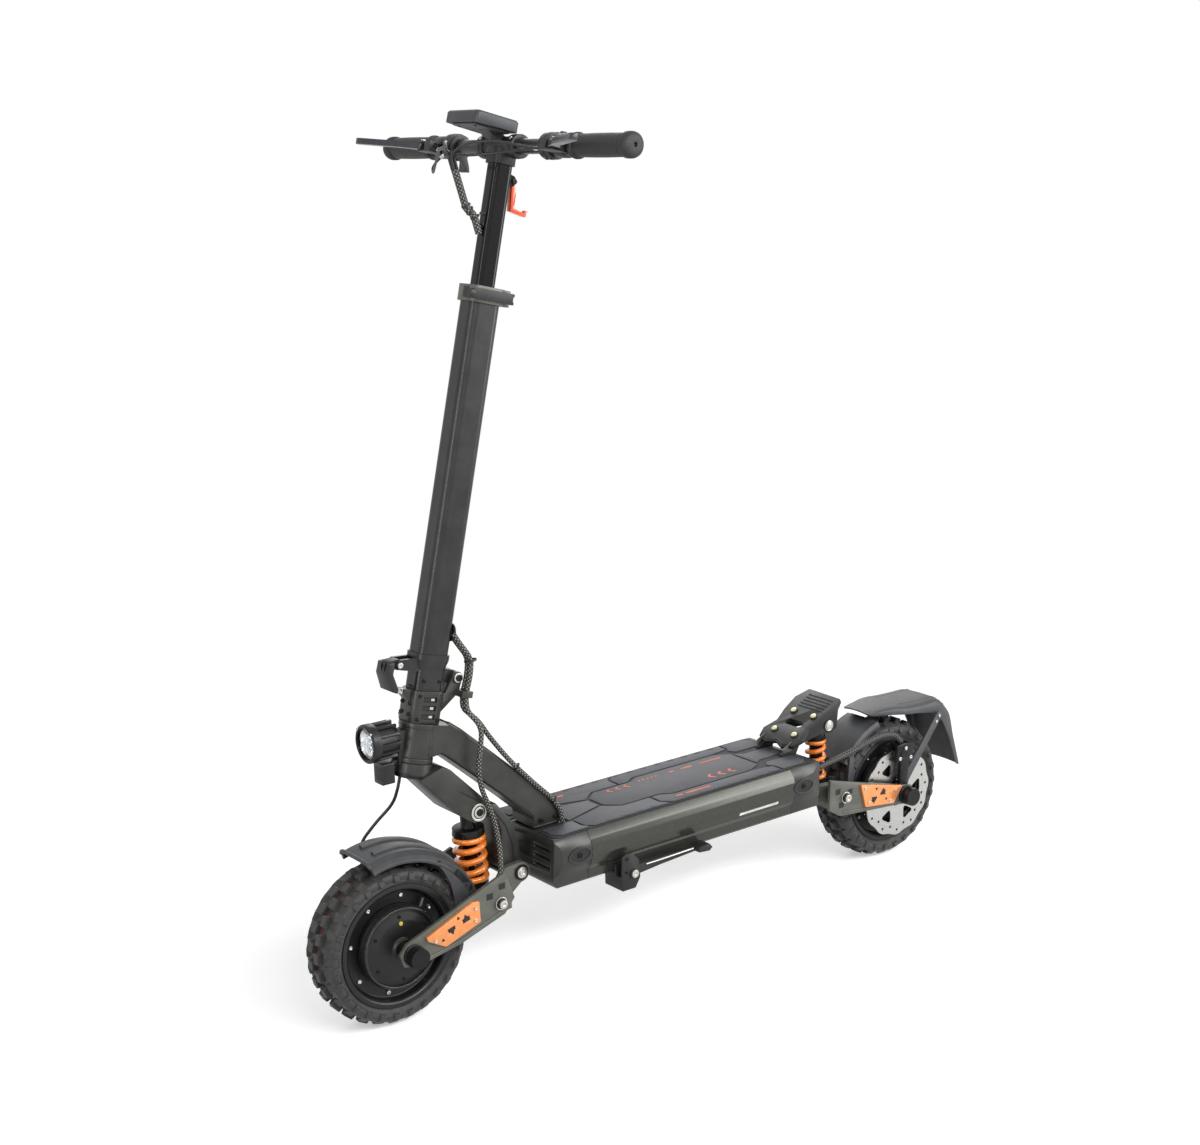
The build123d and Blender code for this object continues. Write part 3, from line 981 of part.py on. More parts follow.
# ---- kickstand ------------------------------------------------------------------------------
def kickstand_bracket():
    """U bracket under the deck's left edge, with the stand's pivot bolt."""
    px, pz = front(STAND_PIVOT)
    low = DECK_BOTTOM
    base = box(px - 24, px + 24, DECK_HALF_LOW - 46, DECK_HALF_LOW - 2, low - 5, low)
    base += box(px + 14, px + 22, DECK_HALF_LOW - 20, STAND_OUT + STAND_CHEEK, low - 27, low - 5)
    inner = side_plate([(px - 14, pz + 14), (px - 14, pz - 12), (px - 4, low - 27), (px + 22, low - 27),
                        (px + 22, pz + 14)], STAND_IN - STAND_CHEEK, STAND_IN)
    strap = box(px - 14, px + 22, DECK_HALF_LOW - 4, STAND_IN, low - 5, low - 0.5)
    outer = side_plate([(px - 12, pz + 20), (px - 14, pz - 10), (px - 4, low - 27), (px + 22, low - 27),
                        (px + 22, pz + 30), (px + 14, pz + 34), (px + 2, pz + 34)],
                       STAND_OUT, STAND_OUT + STAND_CHEEK)
    bolt = bar_y(px, pz, STAND_BOLT_R, STAND_IN - STAND_CHEEK, STAND_OUT + STAND_CHEEK)
    head = bar_y(px, pz, 8, STAND_OUT + STAND_CHEEK, STAND_OUT + STAND_CHEEK + 4)
    return base + inner + strap + outer + bolt + head


def kickstand():
    """Folded side stand: a hub on the bracket's bolt, a leg and a flared foot."""
    px, pz = front(STAND_PIVOT)
    y0, y1 = STAND_IN + STAND_GAP, STAND_OUT - STAND_GAP
    hub = bar_y(px, pz, 11, y0, y1)
    leg = side_plate([(px, pz + 8), (px, pz - 8), (px - 60, pz - 3), (px - STAND_LENGTH + 14, pz + 1),
                      (px - STAND_LENGTH + 14, pz + 9), (px - 60, pz + 9)], y0 + 1, y1 - 1)
    foot = side_plate([(px - STAND_LENGTH + 18, pz + 1), (px - STAND_LENGTH - 4, pz - 1),
                       (px - STAND_LENGTH - 10, pz + 4), (px - STAND_LENGTH - 4, pz + 11),
                       (px - STAND_LENGTH + 18, pz + 9)], y0, y1 + 10)
    return hub + leg + foot - bar_y(px, pz, STAND_BOLT_R + SHAFT_FIT, y0 - 5, y1 + 12)


# ---- cables, held along their whole routes --------------------------------------------------
def bar_cables():
    """Brake and control cables from the bar into a sleeve that enters the stem's front."""
    bar = steer_point(0, 0, BAR_T)

    def at(x, y, z):
        return (bar.X + x, y, bar.Z + z)

    entry = steer_point(INNER_LONG / 2 + SLEEVE_R, 0, SLEEVE_ENTRY)
    top, below = Vector(*at(*SLEEVE_TOP)), Vector(*at(68, 0, -86))
    sleeve = cable([top, below, (entry.X + 6, 0, entry.Z + 24), (entry.X - 2, 0, entry.Z - 4)], SLEEVE_R)
    sleeve -= on_steer(round_box(INNER_LONG, INNER_WIDE, INNER_CORNER, INNER_LOW, INNER_TOP))
    down = (below - top).normalized()
    across = Vector(down.Z, 0, -down.X)
    brake_y, pod_y = PERCH_Y - 12, SWITCH_Y - 12
    routes = [
        (1, -1, [at(24, brake_y, -2), at(30, brake_y - 24, -2), at(56, 62, 10), at(82, 28, 8)]),
        (-1, -1, [at(24, -brake_y, -2), at(30, 24 - brake_y, -2), at(56, -62, 10), at(82, -28, 8)]),
        (1, 1, [at(15.5, pod_y, -3), at(21.5, pod_y - 24, -3), at(56, 62, -8), at(82, 28, -10)]),
        (-1, 1, [at(14, -THROTTLE_Y - 10.6, -9), at(24, -THROTTLE_Y - 30, -26), at(38, -THROTTLE_Y - 8, -38),
                 at(56, 30 - THROTTLE_Y, -20), at(80, -44, 4)]),
    ]
    runs = []
    for side, drift, route in routes:
        end = top + across * (CABLE_SEAT * drift) + Vector(0, side * CABLE_SEAT, 0)
        runs.append(cable(route + [end - down * 22, end], CONTROL_CABLE_R))
    return [sleeve] + runs


def stem_loom():
    """Two looms from the back of the stem foot to the guide beside the fold pin."""
    looms = []
    for y in GUIDE_YS:
        route = [(-STEM_LONG / 2 + 0.5, y - 12, 196), (-STEM_LONG / 2 - 12, y - 9, 182),
                 (GUIDE_X - 1, y - 2, 160), (GUIDE_X - 2, y, 134), (GUIDE_X, y, GUIDE_HIGH)]
        loom = cable([steer_point(*p) for p in route], LOOM_R)
        loom -= on_steer(round_box(STEM_LONG, STEM_WIDE, STEM_CORNER, STEM_FOOT_HIGH, STEM_TOP))
        looms.append(loom)
    return looms


def guide_block():
    """Cable guide that stands out behind the left fold ear."""
    return box(GUIDE_X - 7, -46, FOLD_EAR_IN + 1, GUIDE_YS[1] + 7, GUIDE_LOW, GUIDE_HIGH)


def frame_loom():
    """Loom from the guide down the neck's left side and into the deck."""
    start = steer_point(GUIDE_X, GUIDE_YS[0], GUIDE_LOW)
    leave = steer_point(GUIDE_X - 1, GUIDE_YS[0] + 3, GUIDE_LOW - 18)
    route = [(-160, 446), (-176, 420), (-212, 372), (-255, 326), (-292, 290), (-306, 268),
             (NECK_FOOT_BACK + 2, DECK_TOP + 0.6)]
    return cable([start, leave] + [(FRONT_X + x, LOOM_Y, z) for x, z in route], LOOM_R)


def front_looms():
    """Motor loom from the guide to the front arm, and the brake hose to the front caliper."""
    start = steer_point(GUIDE_X, GUIDE_YS[1], GUIDE_LOW)
    leave = steer_point(GUIDE_X - 2, GUIDE_YS[1] + 5, GUIDE_LOW - 20)
    side = KNUCKLE_HALF + LOOM_R + 4
    route = [(-158, side + 2, 440), (-152, side + 5, 408), (-146, side + 5, 376), (-152, side + 2, 342),
             (-166, side, 312), (-176, side, 280), (-180, side + 2, 248), (-178, side + 8, 220),
             (-172, side + 12, 184)]
    motor = cable([start, leave] + [(FRONT_X + x, y, z) for x, y, z in route], LOOM_R)
    crown = steer_point(11, -12, CROWN_LOW - 0.3)
    below_crown = steer_point(11, -12, CROWN_LOW - 20)
    hose_route = [(-42, -30, 326), (-18, -46, 296), (2, -57, 268), (4, -61, 240),
                  (-8, -61, AXLE_Z + DISC_R + 13.2)]
    hose = cable([crown, below_crown] + [(FRONT_X + x, y, z) for x, y, z in hose_route], CABLE_R)
    return [motor, hose]


def rear_conduit():
    """Braided conduit from the rear cap to the rear caliper."""
    route = [(225.8, 50, 215), (198, 54, 218), (160, 57, 224), (118, 60, 232), (78, 61, 242), (42, 61, 246),
             (14, 61, 240), (-2, 61, AXLE_Z + DISC_R + 14)]
    return cable([(REAR_X + x, y, z) for x, y, z in route], LOOM_R + 1)


# ---- the whole machine ----------------------------------------------------------------------
def build():
    save("frame_neck", frame_neck())
    save("headset_bearings", headset_bearings())
    save("deck_shell", deck_shell())
    save("deck_front_cap", deck_front_cap())
    save("deck_rear_cap", deck_rear_cap())
    save("deck_mat", deck_mat())
    save("battery_pack", battery_pack())
    save("controller", controller())
    save("footrest", footrest())
    save("frame_bolts", frame_bolts())
    save("headlight_housing", headlight_housing())
    save("headlight_lens", headlight_lens())
    save("horn", horn())
    save("fork", fork())
    save("fold_base", fold_base())
    save("fork_bolts", fork_bolts())
    save("front_arm", front_arm())
    save("rear_arm", rear_arm())
    save("front_arm_covers", arm_covers(front, FRONT_COVER, [(-92, 160), (-66, 150)]))
    save("rear_arm_covers", arm_covers(rear, REAR_COVER, [(62, 148), (84, 140)]))
    for end, x, place, low, side in (
            ("front", FRONT_X, front, FRONT_DAMPER_LOW, -1), ("rear", REAR_X, rear, REAR_DAMPER_LOW, 1)):
        save(f"{end}_motor_core", wheel_core(x, *place(low)))
        save(f"{end}_tyre", tyre(x))
        save(f"{end}_hub_motor", hub_motor(x))
        save(f"{end}_disc", brake_disc(x, side))
        save(f"{end}_caliper", caliper(x, side, 95))
    save("front_fender", front_fender())
    save("rear_fender", rear_fender())
    for end, place, top, low, seats, coil in (
            ("front", front, FRONT_DAMPER_TOP, FRONT_DAMPER_LOW, FRONT_SEATS, FRONT_COIL),
            ("rear", rear, REAR_DAMPER_TOP, REAR_DAMPER_LOW, REAR_SEATS, REAR_COIL)):
        body, rod = damper(place, top, low, seats[0], seats[1], seats[2])
        save(f"{end}_damper_body", body)
        save(f"{end}_damper_rod", rod)
        save(f"{end}_spring", coil_spring(place, top, low, seats[0], seats[1], *coil))
    save("stem_tube", stem_tube())
    save("fold_latch", fold_latch())
    save("stem_collar", stem_collar())
    save("clamp_lever", clamp_lever())
    save("inner_tube", inner_tube())
    save("bar_clamp", bar_clamp())
    save("handlebar", handlebar())
    save("grips", grips())
    save("bar_controls", bar_controls())
    save("brake_lever_left", brake_lever(1))
    save("brake_lever_right", brake_lever(-1))
    save("throttle", throttle())
    save("switch_button", switch_button())
    save("display", display())
    save("carry_hook", hook())
    save("kickstand_bracket", kickstand_bracket())
    save("kickstand", kickstand())
    save("bar_cables", bar_cables())
    save("stem_loom", stem_loom())
    save("frame_loom", frame_loom())
    save("front_looms", front_looms())
    save("rear_conduit", rear_conduit())


if __name__ == "__main__":
    os.makedirs("parts", exist_ok=True)
    build()
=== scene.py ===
"""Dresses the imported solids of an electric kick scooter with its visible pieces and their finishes."""
import json
import math

import bpy
from bpy.props import FloatProperty, IntProperty, PointerProperty, StringProperty
from mathutils import Matrix, Vector

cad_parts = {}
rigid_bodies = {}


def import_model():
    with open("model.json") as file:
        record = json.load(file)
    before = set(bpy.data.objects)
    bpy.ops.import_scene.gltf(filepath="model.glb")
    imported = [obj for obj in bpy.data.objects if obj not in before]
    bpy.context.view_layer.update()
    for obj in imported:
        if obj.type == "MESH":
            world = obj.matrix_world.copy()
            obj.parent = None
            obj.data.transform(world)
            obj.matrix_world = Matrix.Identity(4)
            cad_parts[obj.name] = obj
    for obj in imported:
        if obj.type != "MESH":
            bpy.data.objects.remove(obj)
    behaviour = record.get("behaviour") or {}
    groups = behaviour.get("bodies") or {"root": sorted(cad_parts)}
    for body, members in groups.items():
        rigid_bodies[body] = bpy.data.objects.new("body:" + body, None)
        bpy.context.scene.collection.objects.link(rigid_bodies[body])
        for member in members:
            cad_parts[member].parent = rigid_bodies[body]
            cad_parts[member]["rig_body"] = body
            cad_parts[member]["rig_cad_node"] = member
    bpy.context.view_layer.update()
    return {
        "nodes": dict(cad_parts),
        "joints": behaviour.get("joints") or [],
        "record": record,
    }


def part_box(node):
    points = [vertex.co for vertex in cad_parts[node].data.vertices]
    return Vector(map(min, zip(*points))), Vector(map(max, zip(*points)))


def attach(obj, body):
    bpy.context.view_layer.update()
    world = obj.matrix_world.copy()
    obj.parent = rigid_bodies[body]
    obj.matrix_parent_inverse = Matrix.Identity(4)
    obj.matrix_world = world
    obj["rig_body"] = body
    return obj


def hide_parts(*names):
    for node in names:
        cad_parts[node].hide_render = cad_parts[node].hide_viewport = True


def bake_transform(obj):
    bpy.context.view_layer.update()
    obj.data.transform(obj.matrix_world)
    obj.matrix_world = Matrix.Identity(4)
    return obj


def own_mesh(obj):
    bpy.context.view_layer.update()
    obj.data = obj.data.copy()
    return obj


bl_info = {
    "name": "Kick scooter looks",
    "version": (1, 0, 0),
    "blender": (4, 5, 0),
    "location": "View3D > Sidebar > Kick scooter",
    "description": "Models and finishes the visible pieces of a folding electric kick scooter",
    "category": "Object",
}

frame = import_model()


def shift(x, y, z):
    """A matrix that moves by that much."""
    return Matrix.Translation((x, y, z))


def turned(degrees, axis):
    """A matrix that turns by that angle about a named axis."""
    return Matrix.Rotation(math.radians(degrees), 4, axis)


# ---- lengths and places, in metres, read from the frame -----------------------------------------
MM = 0.001
JOINTS = {joint["name"]: joint for joint in frame["joints"]}
FRONT_AXLE = Vector(JOINTS["front_wheel_spin"]["pos_m"])
REAR_AXLE = Vector(JOINTS["rear_wheel_spin"]["pos_m"])
STEER_ORIGIN = Vector(JOINTS["steering"]["pos_m"])
STEER_UP = Vector(JOINTS["steering"]["axis"])
STEER_FORWARD = Vector((STEER_UP.z, 0, -STEER_UP.x))
STEER = Matrix.Translation(STEER_ORIGIN) @ Matrix((STEER_FORWARD, Vector((0, 1, 0)),
        STEER_UP)).transposed().to_4x4()
UPRIGHT = Matrix.Identity(4)
MERGE = 1e-6                     # points closer than this are one
ACROSS = turned(90, "X")          # local Z runs along -Y


# ---- settings that a user would change ----------------------------------------------------------
class ScooterLook(bpy.types.PropertyGroup):
    coat_colour: StringProperty(name="Frame coat", description="sRGB hex of the powder coat",
            default="#363633")
    accent_colour: StringProperty(name="Accent", description="sRGB hex of springs and arm covers",
            default="#F28A2E")
    mat_colour: StringProperty(name="Mat", description="sRGB hex of the deck mat", default="#35353A")
    edge: FloatProperty(name="Edge radius", description="Rounding of cast and machined edges",
            default=1.2 * MM, min=0.0, max=4 * MM, unit="LENGTH")
    tread_pitches: IntProperty(name="Tread pitches", description="Rows of knobs round each tyre",
            default=27, min=20, max=60)
    lamp_power: FloatProperty(name="Softbox power", description="Power of the main softbox", default=70.0,
            min=0, unit="POWER")


# ---- small modelling tools ----------------------------------------------------------------------
def clear_selection():
    if bpy.context.object and bpy.context.object.mode != "OBJECT":
        bpy.ops.object.mode_set(mode="OBJECT")
    bpy.ops.object.select_all(action="DESELECT")


def take(piece):
    """Makes the piece the only selected and the active one."""
    clear_selection()
    piece.select_set(True)
    bpy.context.view_layer.objects.active = piece


def put(piece, place=UPRIGHT):
    """Moves the piece's mesh by the placing matrix and leaves its object at the origin."""
    piece.data.transform(place @ piece.matrix_world)
    if place.determinant() < 0:
        piece.data.flip_normals()
    piece.matrix_world = Matrix.Identity(4)
    return piece


def linked(data):
    """A new object of a mesh or a curve, in the scene."""
    piece = bpy.data.objects.new("piece", data)
    bpy.context.scene.collection.objects.link(piece)
    return piece


def from_points(vertices, edges, faces):
    mesh = bpy.data.meshes.new("piece")
    mesh.from_pydata(vertices, edges, faces)
    return linked(mesh)


def edit(piece, *steps):
    """Runs edit-mode steps on the whole piece."""
    take(piece)
    bpy.ops.object.mode_set(mode="EDIT")
    bpy.ops.mesh.select_all(action="SELECT")
    for step in steps:
        step()
    bpy.ops.object.mode_set(mode="OBJECT")
    return piece


def modify(piece, kind, **settings):
    """Adds one modifier and applies it."""
    take(piece)
    modifier = piece.modifiers.new(kind.title(), kind)
    for key, value in settings.items():
        setattr(modifier, key, value)
    bpy.ops.object.modifier_apply(modifier=modifier.name)
    return piece


def smooth(piece, degrees=35):
    take(piece)
    bpy.ops.object.shade_smooth_by_angle(angle=math.radians(degrees))
    return piece


def soften(piece, width, segments=2, degrees=40):
    """Rounds the piece's sharp edges and shades it smooth between them."""
    modify(piece, "BEVEL", width=width, segments=segments, limit_method="ANGLE",
           angle_limit=math.radians(degrees), use_clamp_overlap=True, harden_normals=False)
    return smooth(piece)


def join(pieces):
    """Makes one piece of several."""
    take(pieces[0])
    if len(pieces) > 1:
        for piece in pieces[1:]:
            piece.select_set(True)
        bpy.ops.object.join()
    return pieces[0]


def copy_of(piece, place=UPRIGHT):
    """A copy with its own mesh, moved by the matrix."""
    made = bpy.data.objects.new(piece.name + "_copy", piece.data.copy())
    bpy.context.scene.collection.objects.link(made)
    return put(made, place)


def rounded(points, radius, steps=5):
    """The outline with each corner rounded; a point may carry its own radius as a third number."""
    corners = [Vector(p[:2]) for p in points]
    radii = [p[2] if len(p) > 2 else radius for p in points]
    made = []
    for k, (corner, size) in enumerate(zip(corners, radii)):
        before, after = corners[k - 1], corners[(k + 1) % len(corners)]
        if size <= 0:
            made.append(corner)
            continue
        inward, outward = (before - corner), (after - corner)
        half = inward.angle(outward) / 2
        reach = min(size / math.tan(half), 0.48 * inward.length, 0.48 * outward.length)
        size = reach * math.tan(half)
        first, last = corner + inward.normalized() * reach, corner + outward.normalized() * reach
        centre = corner + (inward.normalized() + outward.normalized()).normalized() * (size / math.sin(half))
        start, end = first - centre, last - centre
        for step in range(steps + 1):
            made.append(centre + start.slerp(end, step / steps).normalized() * size)
    return made


def flat_outline(points, holes=()):
    """A filled face in the XY plane with round-cornered holes, as a curve made into a mesh."""
    curve = bpy.data.curves.new("outline", "CURVE")
    curve.dimensions = "2D"
    curve.fill_mode = "BOTH"
    for loop in (points, *holes):
        spline = curve.splines.new("POLY")
        spline.points.add(len(loop) - 1)
        spline.points.foreach_set("co", [c for p in loop for c in (p[0], p[1], 0, 1)])
        spline.use_cyclic_u = True
    take(linked(curve))
    bpy.ops.object.convert(target="MESH")
    return bpy.context.object


def plate(points, thick, holes=(), edge=0.0, place=UPRIGHT, segments=2):
    """A plate of an outline in the XY plane, thick towards +Z, with holes and rounded edges."""
    piece = flat_outline(points, holes)
    edit(piece, lambda: bpy.ops.mesh.remove_doubles(threshold=MERGE),
         lambda: bpy.ops.mesh.dissolve_limited(angle_limit=math.radians(1)),
         lambda: bpy.ops.mesh.extrude_region_move(TRANSFORM_OT_translate={"value": (0, 0, thick)}),
         lambda: bpy.ops.mesh.select_all(action="SELECT"),
         lambda: bpy.ops.mesh.normals_make_consistent(inside=False))
    if edge:
        soften(piece, edge, segments)
    return put(piece, place)


def side_plate(points, y0, y1, **settings):
    """A plate whose outline is a side view (x, z), from y0 to y1."""
    low, high = min(y0, y1), max(y0, y1)
    place = shift(0, high, 0) @ ACROSS
    return plate(points, high - low, place=place, **settings)


def spun(piece, steps, turn, centre, axis):
    """Spins the whole piece round an axis and mends its seam."""
    return edit(piece, lambda: bpy.ops.mesh.spin(steps=steps, angle=turn, center=centre, axis=axis),
                lambda: bpy.ops.mesh.select_all(action="SELECT"),
                lambda: bpy.ops.mesh.remove_doubles(threshold=MERGE),
                lambda: bpy.ops.mesh.normals_make_consistent(inside=False))


def lathe(profile, place=UPRIGHT, steps=64, degrees=30):
    """Spins a closed profile (radius, height) about the local Z axis."""
    count = len(profile)
    edges = [(k, (k + 1) % count) for k in range(count)]
    piece = from_points([(r, 0, h) for r, h in profile], edges, [])
    smooth(spun(piece, steps, math.tau, (0, 0, 0), (0, 0, 1)), degrees)
    return put(piece, place)


def block(size, centre, edge=0.0, place=UPRIGHT, segments=2, taper=1.0):
    """A box of that size with rounded edges, its top narrowed by taper."""
    clear_selection()
    bpy.ops.mesh.primitive_cube_add(size=1, location=(0, 0, 0))
    piece = bpy.context.object
    piece.data.transform(Matrix.Diagonal((*size, 1)))
    for vertex in piece.data.vertices:
        if vertex.co.z > 0:
            vertex.co.x *= taper
            vertex.co.y *= taper
    piece.data.transform(Matrix.Translation(centre))
    if edge:
        soften(piece, edge, segments)
    return put(piece, place)


def rod(radius, start, end, sides=32, edge=0.0, place=UPRIGHT):
    """A round bar between two points, with softened ends."""
    start, end = Vector(start), Vector(end)
    clear_selection()
    bpy.ops.mesh.primitive_cylinder_add(vertices=sides, radius=radius, depth=(end - start).length)
    piece = bpy.context.object
    if edge:
        modify(piece, "BEVEL", width=edge, segments=2, limit_method="ANGLE", angle_limit=math.radians(50))
    smooth(piece, 30)
    turn = Vector((0, 0, 1)).rotation_difference(end - start).to_matrix().to_4x4()
    return put(piece, place @ Matrix.Translation((start + end) / 2) @ turn)


BOLT_PATTERNS = {}


def bolt_pattern(radius, height, sides):
    """The mesh of a bolt head with a chamfered rim and a socket, made once for each size."""
    clear_selection()
    bpy.ops.mesh.primitive_cylinder_add(vertices=24, radius=radius, depth=height,
            location=(0, 0, height / 2))
    piece = bpy.context.object
    modify(piece, "BEVEL", width=min(radius, height) * 0.2, segments=2, limit_method="ANGLE",
           angle_limit=math.radians(60))
    clear_selection()
    bpy.ops.mesh.primitive_cylinder_add(vertices=sides, radius=radius * 0.5, depth=height,
            location=(0, 0, height))
    cutter = bpy.context.object
    modify(piece, "BOOLEAN", operation="DIFFERENCE", object=cutter, solver="EXACT")
    bpy.data.objects.remove(cutter)
    smooth(piece, 30)
    put(piece)
    mesh = piece.data.copy()
    bpy.data.objects.remove(piece)
    return mesh


def bolt_head(radius, height, place, sides=6):
    """A bolt head standing on the local XY plane."""
    size = (radius, height, sides)
    if size not in BOLT_PATTERNS:
        BOLT_PATTERNS[size] = bolt_pattern(*size)
    return put(linked(BOLT_PATTERNS[size].copy()), place)


def ring_of(piece, count, axle, start=0.0):
    """Copies of a piece turned about the Y axis through the axle; the first one is moved too."""
    made = []
    for k in range(count):
        turn = Matrix.Rotation(start + math.tau * k / count, 4, "Y")
        made.append(copy_of(piece, Matrix.Translation(axle) @ turn))
    bpy.data.objects.remove(piece)
    return made


def cad_copy(node, edge):
    """A merged copy of a CAD node with its edges rounded, which stands for the node."""
    piece = copy_of(frame["nodes"][node])
    edit(piece, lambda: bpy.ops.mesh.remove_doubles(threshold=2 * MERGE),
         lambda: bpy.ops.mesh.dissolve_limited(angle_limit=math.radians(0.5)))
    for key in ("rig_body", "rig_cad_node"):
        if key in piece:
            del piece[key]
    piece.data.materials.clear()
    return soften(piece, edge)


def dress(name, piece, material, body, slot, *nodes):
    """Names a piece, or several as one, and gives its finish, body and the nodes it replaces. The slot
    argument is not used.
    """
    if isinstance(piece, list):
        piece = join(piece)
    piece.name = name
    piece.data.materials.clear()
    piece.data.materials.append(material)
    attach(piece, body)
    if nodes:
        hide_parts(*nodes)
    return piece


# ---- finishes -----------------------------------------------------------------------------------
def linear(code):
    """A linear RGBA colour from an sRGB hex value."""
    parts = [int(code[k:k + 2], 16) / 255 for k in (1, 3, 5)]
    return (*[c / 12.92 if c <= 0.04045 else ((c + 0.055) / 1.055) ** 2.4 for c in parts], 1.0)


def add(tree, kind, inputs=(), **settings):
    """Adds a node; inputs maps a socket to a value or to another node's output."""
    made = tree.nodes.new(kind)
    for key, value in settings.items():
        setattr(made, key, value)
    for key, value in dict(inputs).items():
        if isinstance(value, bpy.types.NodeSocket):
            tree.links.new(value, made.inputs[key])
        else:
            made.inputs[key].default_value = value
    return made


def finish(name, roughness, metallic=0.0, ior=1.5, **sockets):
    """A material with its Principled shader's constant sockets set; returns material, tree and shader."""
    made = bpy.data.materials.new(name)
    made.use_nodes = True
    shader = made.node_tree.nodes["Principled BSDF"]
    shader.inputs["Roughness"].default_value = roughness
    shader.inputs["Metallic"].default_value = metallic
    shader.inputs["IOR"].default_value = ior
    for key, value in sockets.items():
        shader.inputs[key.replace("_", " ")].default_value = value
    return made, made.node_tree, shader


def shade(tree, shader, factor, low, high, at=(0.0, 1.0)):
    """Colours the shader between two hex colours by a pattern's value."""
    ramp = add(tree, "ShaderNodeValToRGB", {"Fac": factor})
    ramp.color_ramp.elements[0].position, ramp.color_ramp.elements[1].position = at
    ramp.color_ramp.elements[0].color, ramp.color_ramp.elements[1].color = linear(low), linear(high)
    tree.links.new(ramp.outputs["Color"], shader.inputs["Base Color"])
    return ramp


def relief(tree, shader, height, depth, strength=1.0):
    """Presses a pattern of that depth in metres into the surface."""
    bump = add(tree, "ShaderNodeBump", {"Height": height, "Distance": depth, "Strength": strength})
    tree.links.new(bump.outputs["Normal"], shader.inputs["Normal"])
    return bump


def uneven(tree, shader, noise, low, high):
    """Varies the roughness between two values by a pattern."""
    spread = add(tree, "ShaderNodeMapRange", {"Value": noise, "To Min": low, "To Max": high})
    tree.links.new(spread.outputs["Result"], shader.inputs["Roughness"])


def grain(tree, size, detail=2.0, source="Object"):
    """Noise with lumps of that size in metres."""
    where = add(tree, "ShaderNodeTexCoord")
    return add(tree, "ShaderNodeTexNoise", {"Vector": where.outputs[source], "Scale": 1 / size,
            "Detail": detail}).outputs["Fac"]


def powder_coat(name, low, high, roughness=0.42):
    """Polyester powder coat over cast aluminium: satin, with a fine orange peel and a faint metal flake."""
    made, tree, shader = finish(name, roughness, metallic=0.25)
    peel = grain(tree, 1.6 * MM)
    shade(tree, shader, grain(tree, 30 * MM), low, high, (0.3, 0.7))
    uneven(tree, shader, grain(tree, 12 * MM), roughness - 0.05, roughness + 0.06)
    relief(tree, shader, peel, 0.05 * MM)
    return made


def anodised(name, low, high, roughness=0.3):
    """Anodised aluminium: dyed oxide over a bead-blasted metal, so it stays metallic with a soft sheen."""
    made, tree, shader = finish(name, roughness, metallic=0.55)
    shade(tree, shader, grain(tree, 8 * MM), low, high)
    relief(tree, shader, grain(tree, 0.7 * MM), 0.02 * MM)
    return made


def gloss_paint(name, low, high, roughness=0.22):
    """Gloss enamel baked on spring wire: a clear reflection over a saturated colour."""
    made, tree, shader = finish(name, roughness, Coat_Weight=0.5, Coat_Roughness=0.08)
    shade(tree, shader, grain(tree, 10 * MM), low, high)
    relief(tree, shader, grain(tree, 3 * MM), 0.03 * MM)
    return made


def zinc_steel(name, low="#B9B7B0", high="#D8D6CE", roughness=0.28):
    """Zinc-plated steel of fasteners: bright, slightly warm, with faint stains."""
    made, tree, shader = finish(name, roughness, metallic=1.0)
    shade(tree, shader, grain(tree, 3 * MM), low, high)
    uneven(tree, shader, grain(tree, 2 * MM), roughness - 0.06, roughness + 0.12)
    return made


def ground_steel(name):
    """Stainless brake disc, ground flat: circular grinding marks round each axle."""
    made, tree, shader = finish(name, 0.3, metallic=1.0, Anisotropic=0.5)
    where = add(tree, "ShaderNodeTexCoord")
    fields = []
    for axle in (FRONT_AXLE, REAR_AXLE):
        centred = add(tree, "ShaderNodeMapping", {"Vector": where.outputs["Object"], "Location": -axle})
        flat = add(tree, "ShaderNodeVectorMath", {0: centred.outputs["Vector"], 1: (1, 0, 1)},
                   operation="MULTIPLY")
        fields.append(add(tree, "ShaderNodeVectorMath", {0: flat.outputs["Vector"]}, operation="LENGTH"))
    radius = add(tree, "ShaderNodeMath", {0: fields[0].outputs["Value"], 1: fields[1].outputs["Value"]},
            operation="MINIMUM")
    marks = add(tree, "ShaderNodeTexNoise", {"W": radius.outputs["Value"], "Scale": 1 / (0.9 * MM),
            "Detail": 3.0}, noise_dimensions="1D")
    shade(tree, shader, marks.outputs["Fac"], "#A9A9A6", "#DADAD7", (0.3, 0.7))
    uneven(tree, shader, marks.outputs["Fac"], 0.2, 0.42)
    relief(tree, shader, marks.outputs["Fac"], 0.02 * MM)
    return made


def black_oxide(name, low="#151516", high="#232324", roughness=0.35):
    """Blackened steel: dark and half metallic, with a dry sheen."""
    made, tree, shader = finish(name, roughness, metallic=0.6)
    shade(tree, shader, grain(tree, 5 * MM), low, high)
    relief(tree, shader, grain(tree, 1.2 * MM), 0.03 * MM)
    return made


def moulded(name, low, high, roughness=0.5, pitch=0.8, depth=0.05):
    """Injection-moulded plastic with a spark-eroded grain pressed in by the mould."""
    made, tree, shader = finish(name, roughness)
    shade(tree, shader, grain(tree, 22 * MM), low, high, (0.3, 0.7))
    uneven(tree, shader, grain(tree, 6 * MM), roughness - 0.05, roughness + 0.08)
    relief(tree, shader, grain(tree, pitch * MM, 4.0), depth * MM)
    return made


def tyre_rubber(name):
    """Carbon-black rubber out of the press: matt, with dusty paler patches and a fine skin."""
    made, tree, shader = finish(name, 0.62, Sheen_Weight=0.15, Sheen_Roughness=0.5)
    shade(tree, shader, grain(tree, 14 * MM, 4.0), "#1A1918", "#2C2A29", (0.3, 0.75))
    uneven(tree, shader, grain(tree, 9 * MM), 0.5, 0.72)
    relief(tree, shader, grain(tree, 1.1 * MM, 3.0), 0.08 * MM)
    return made


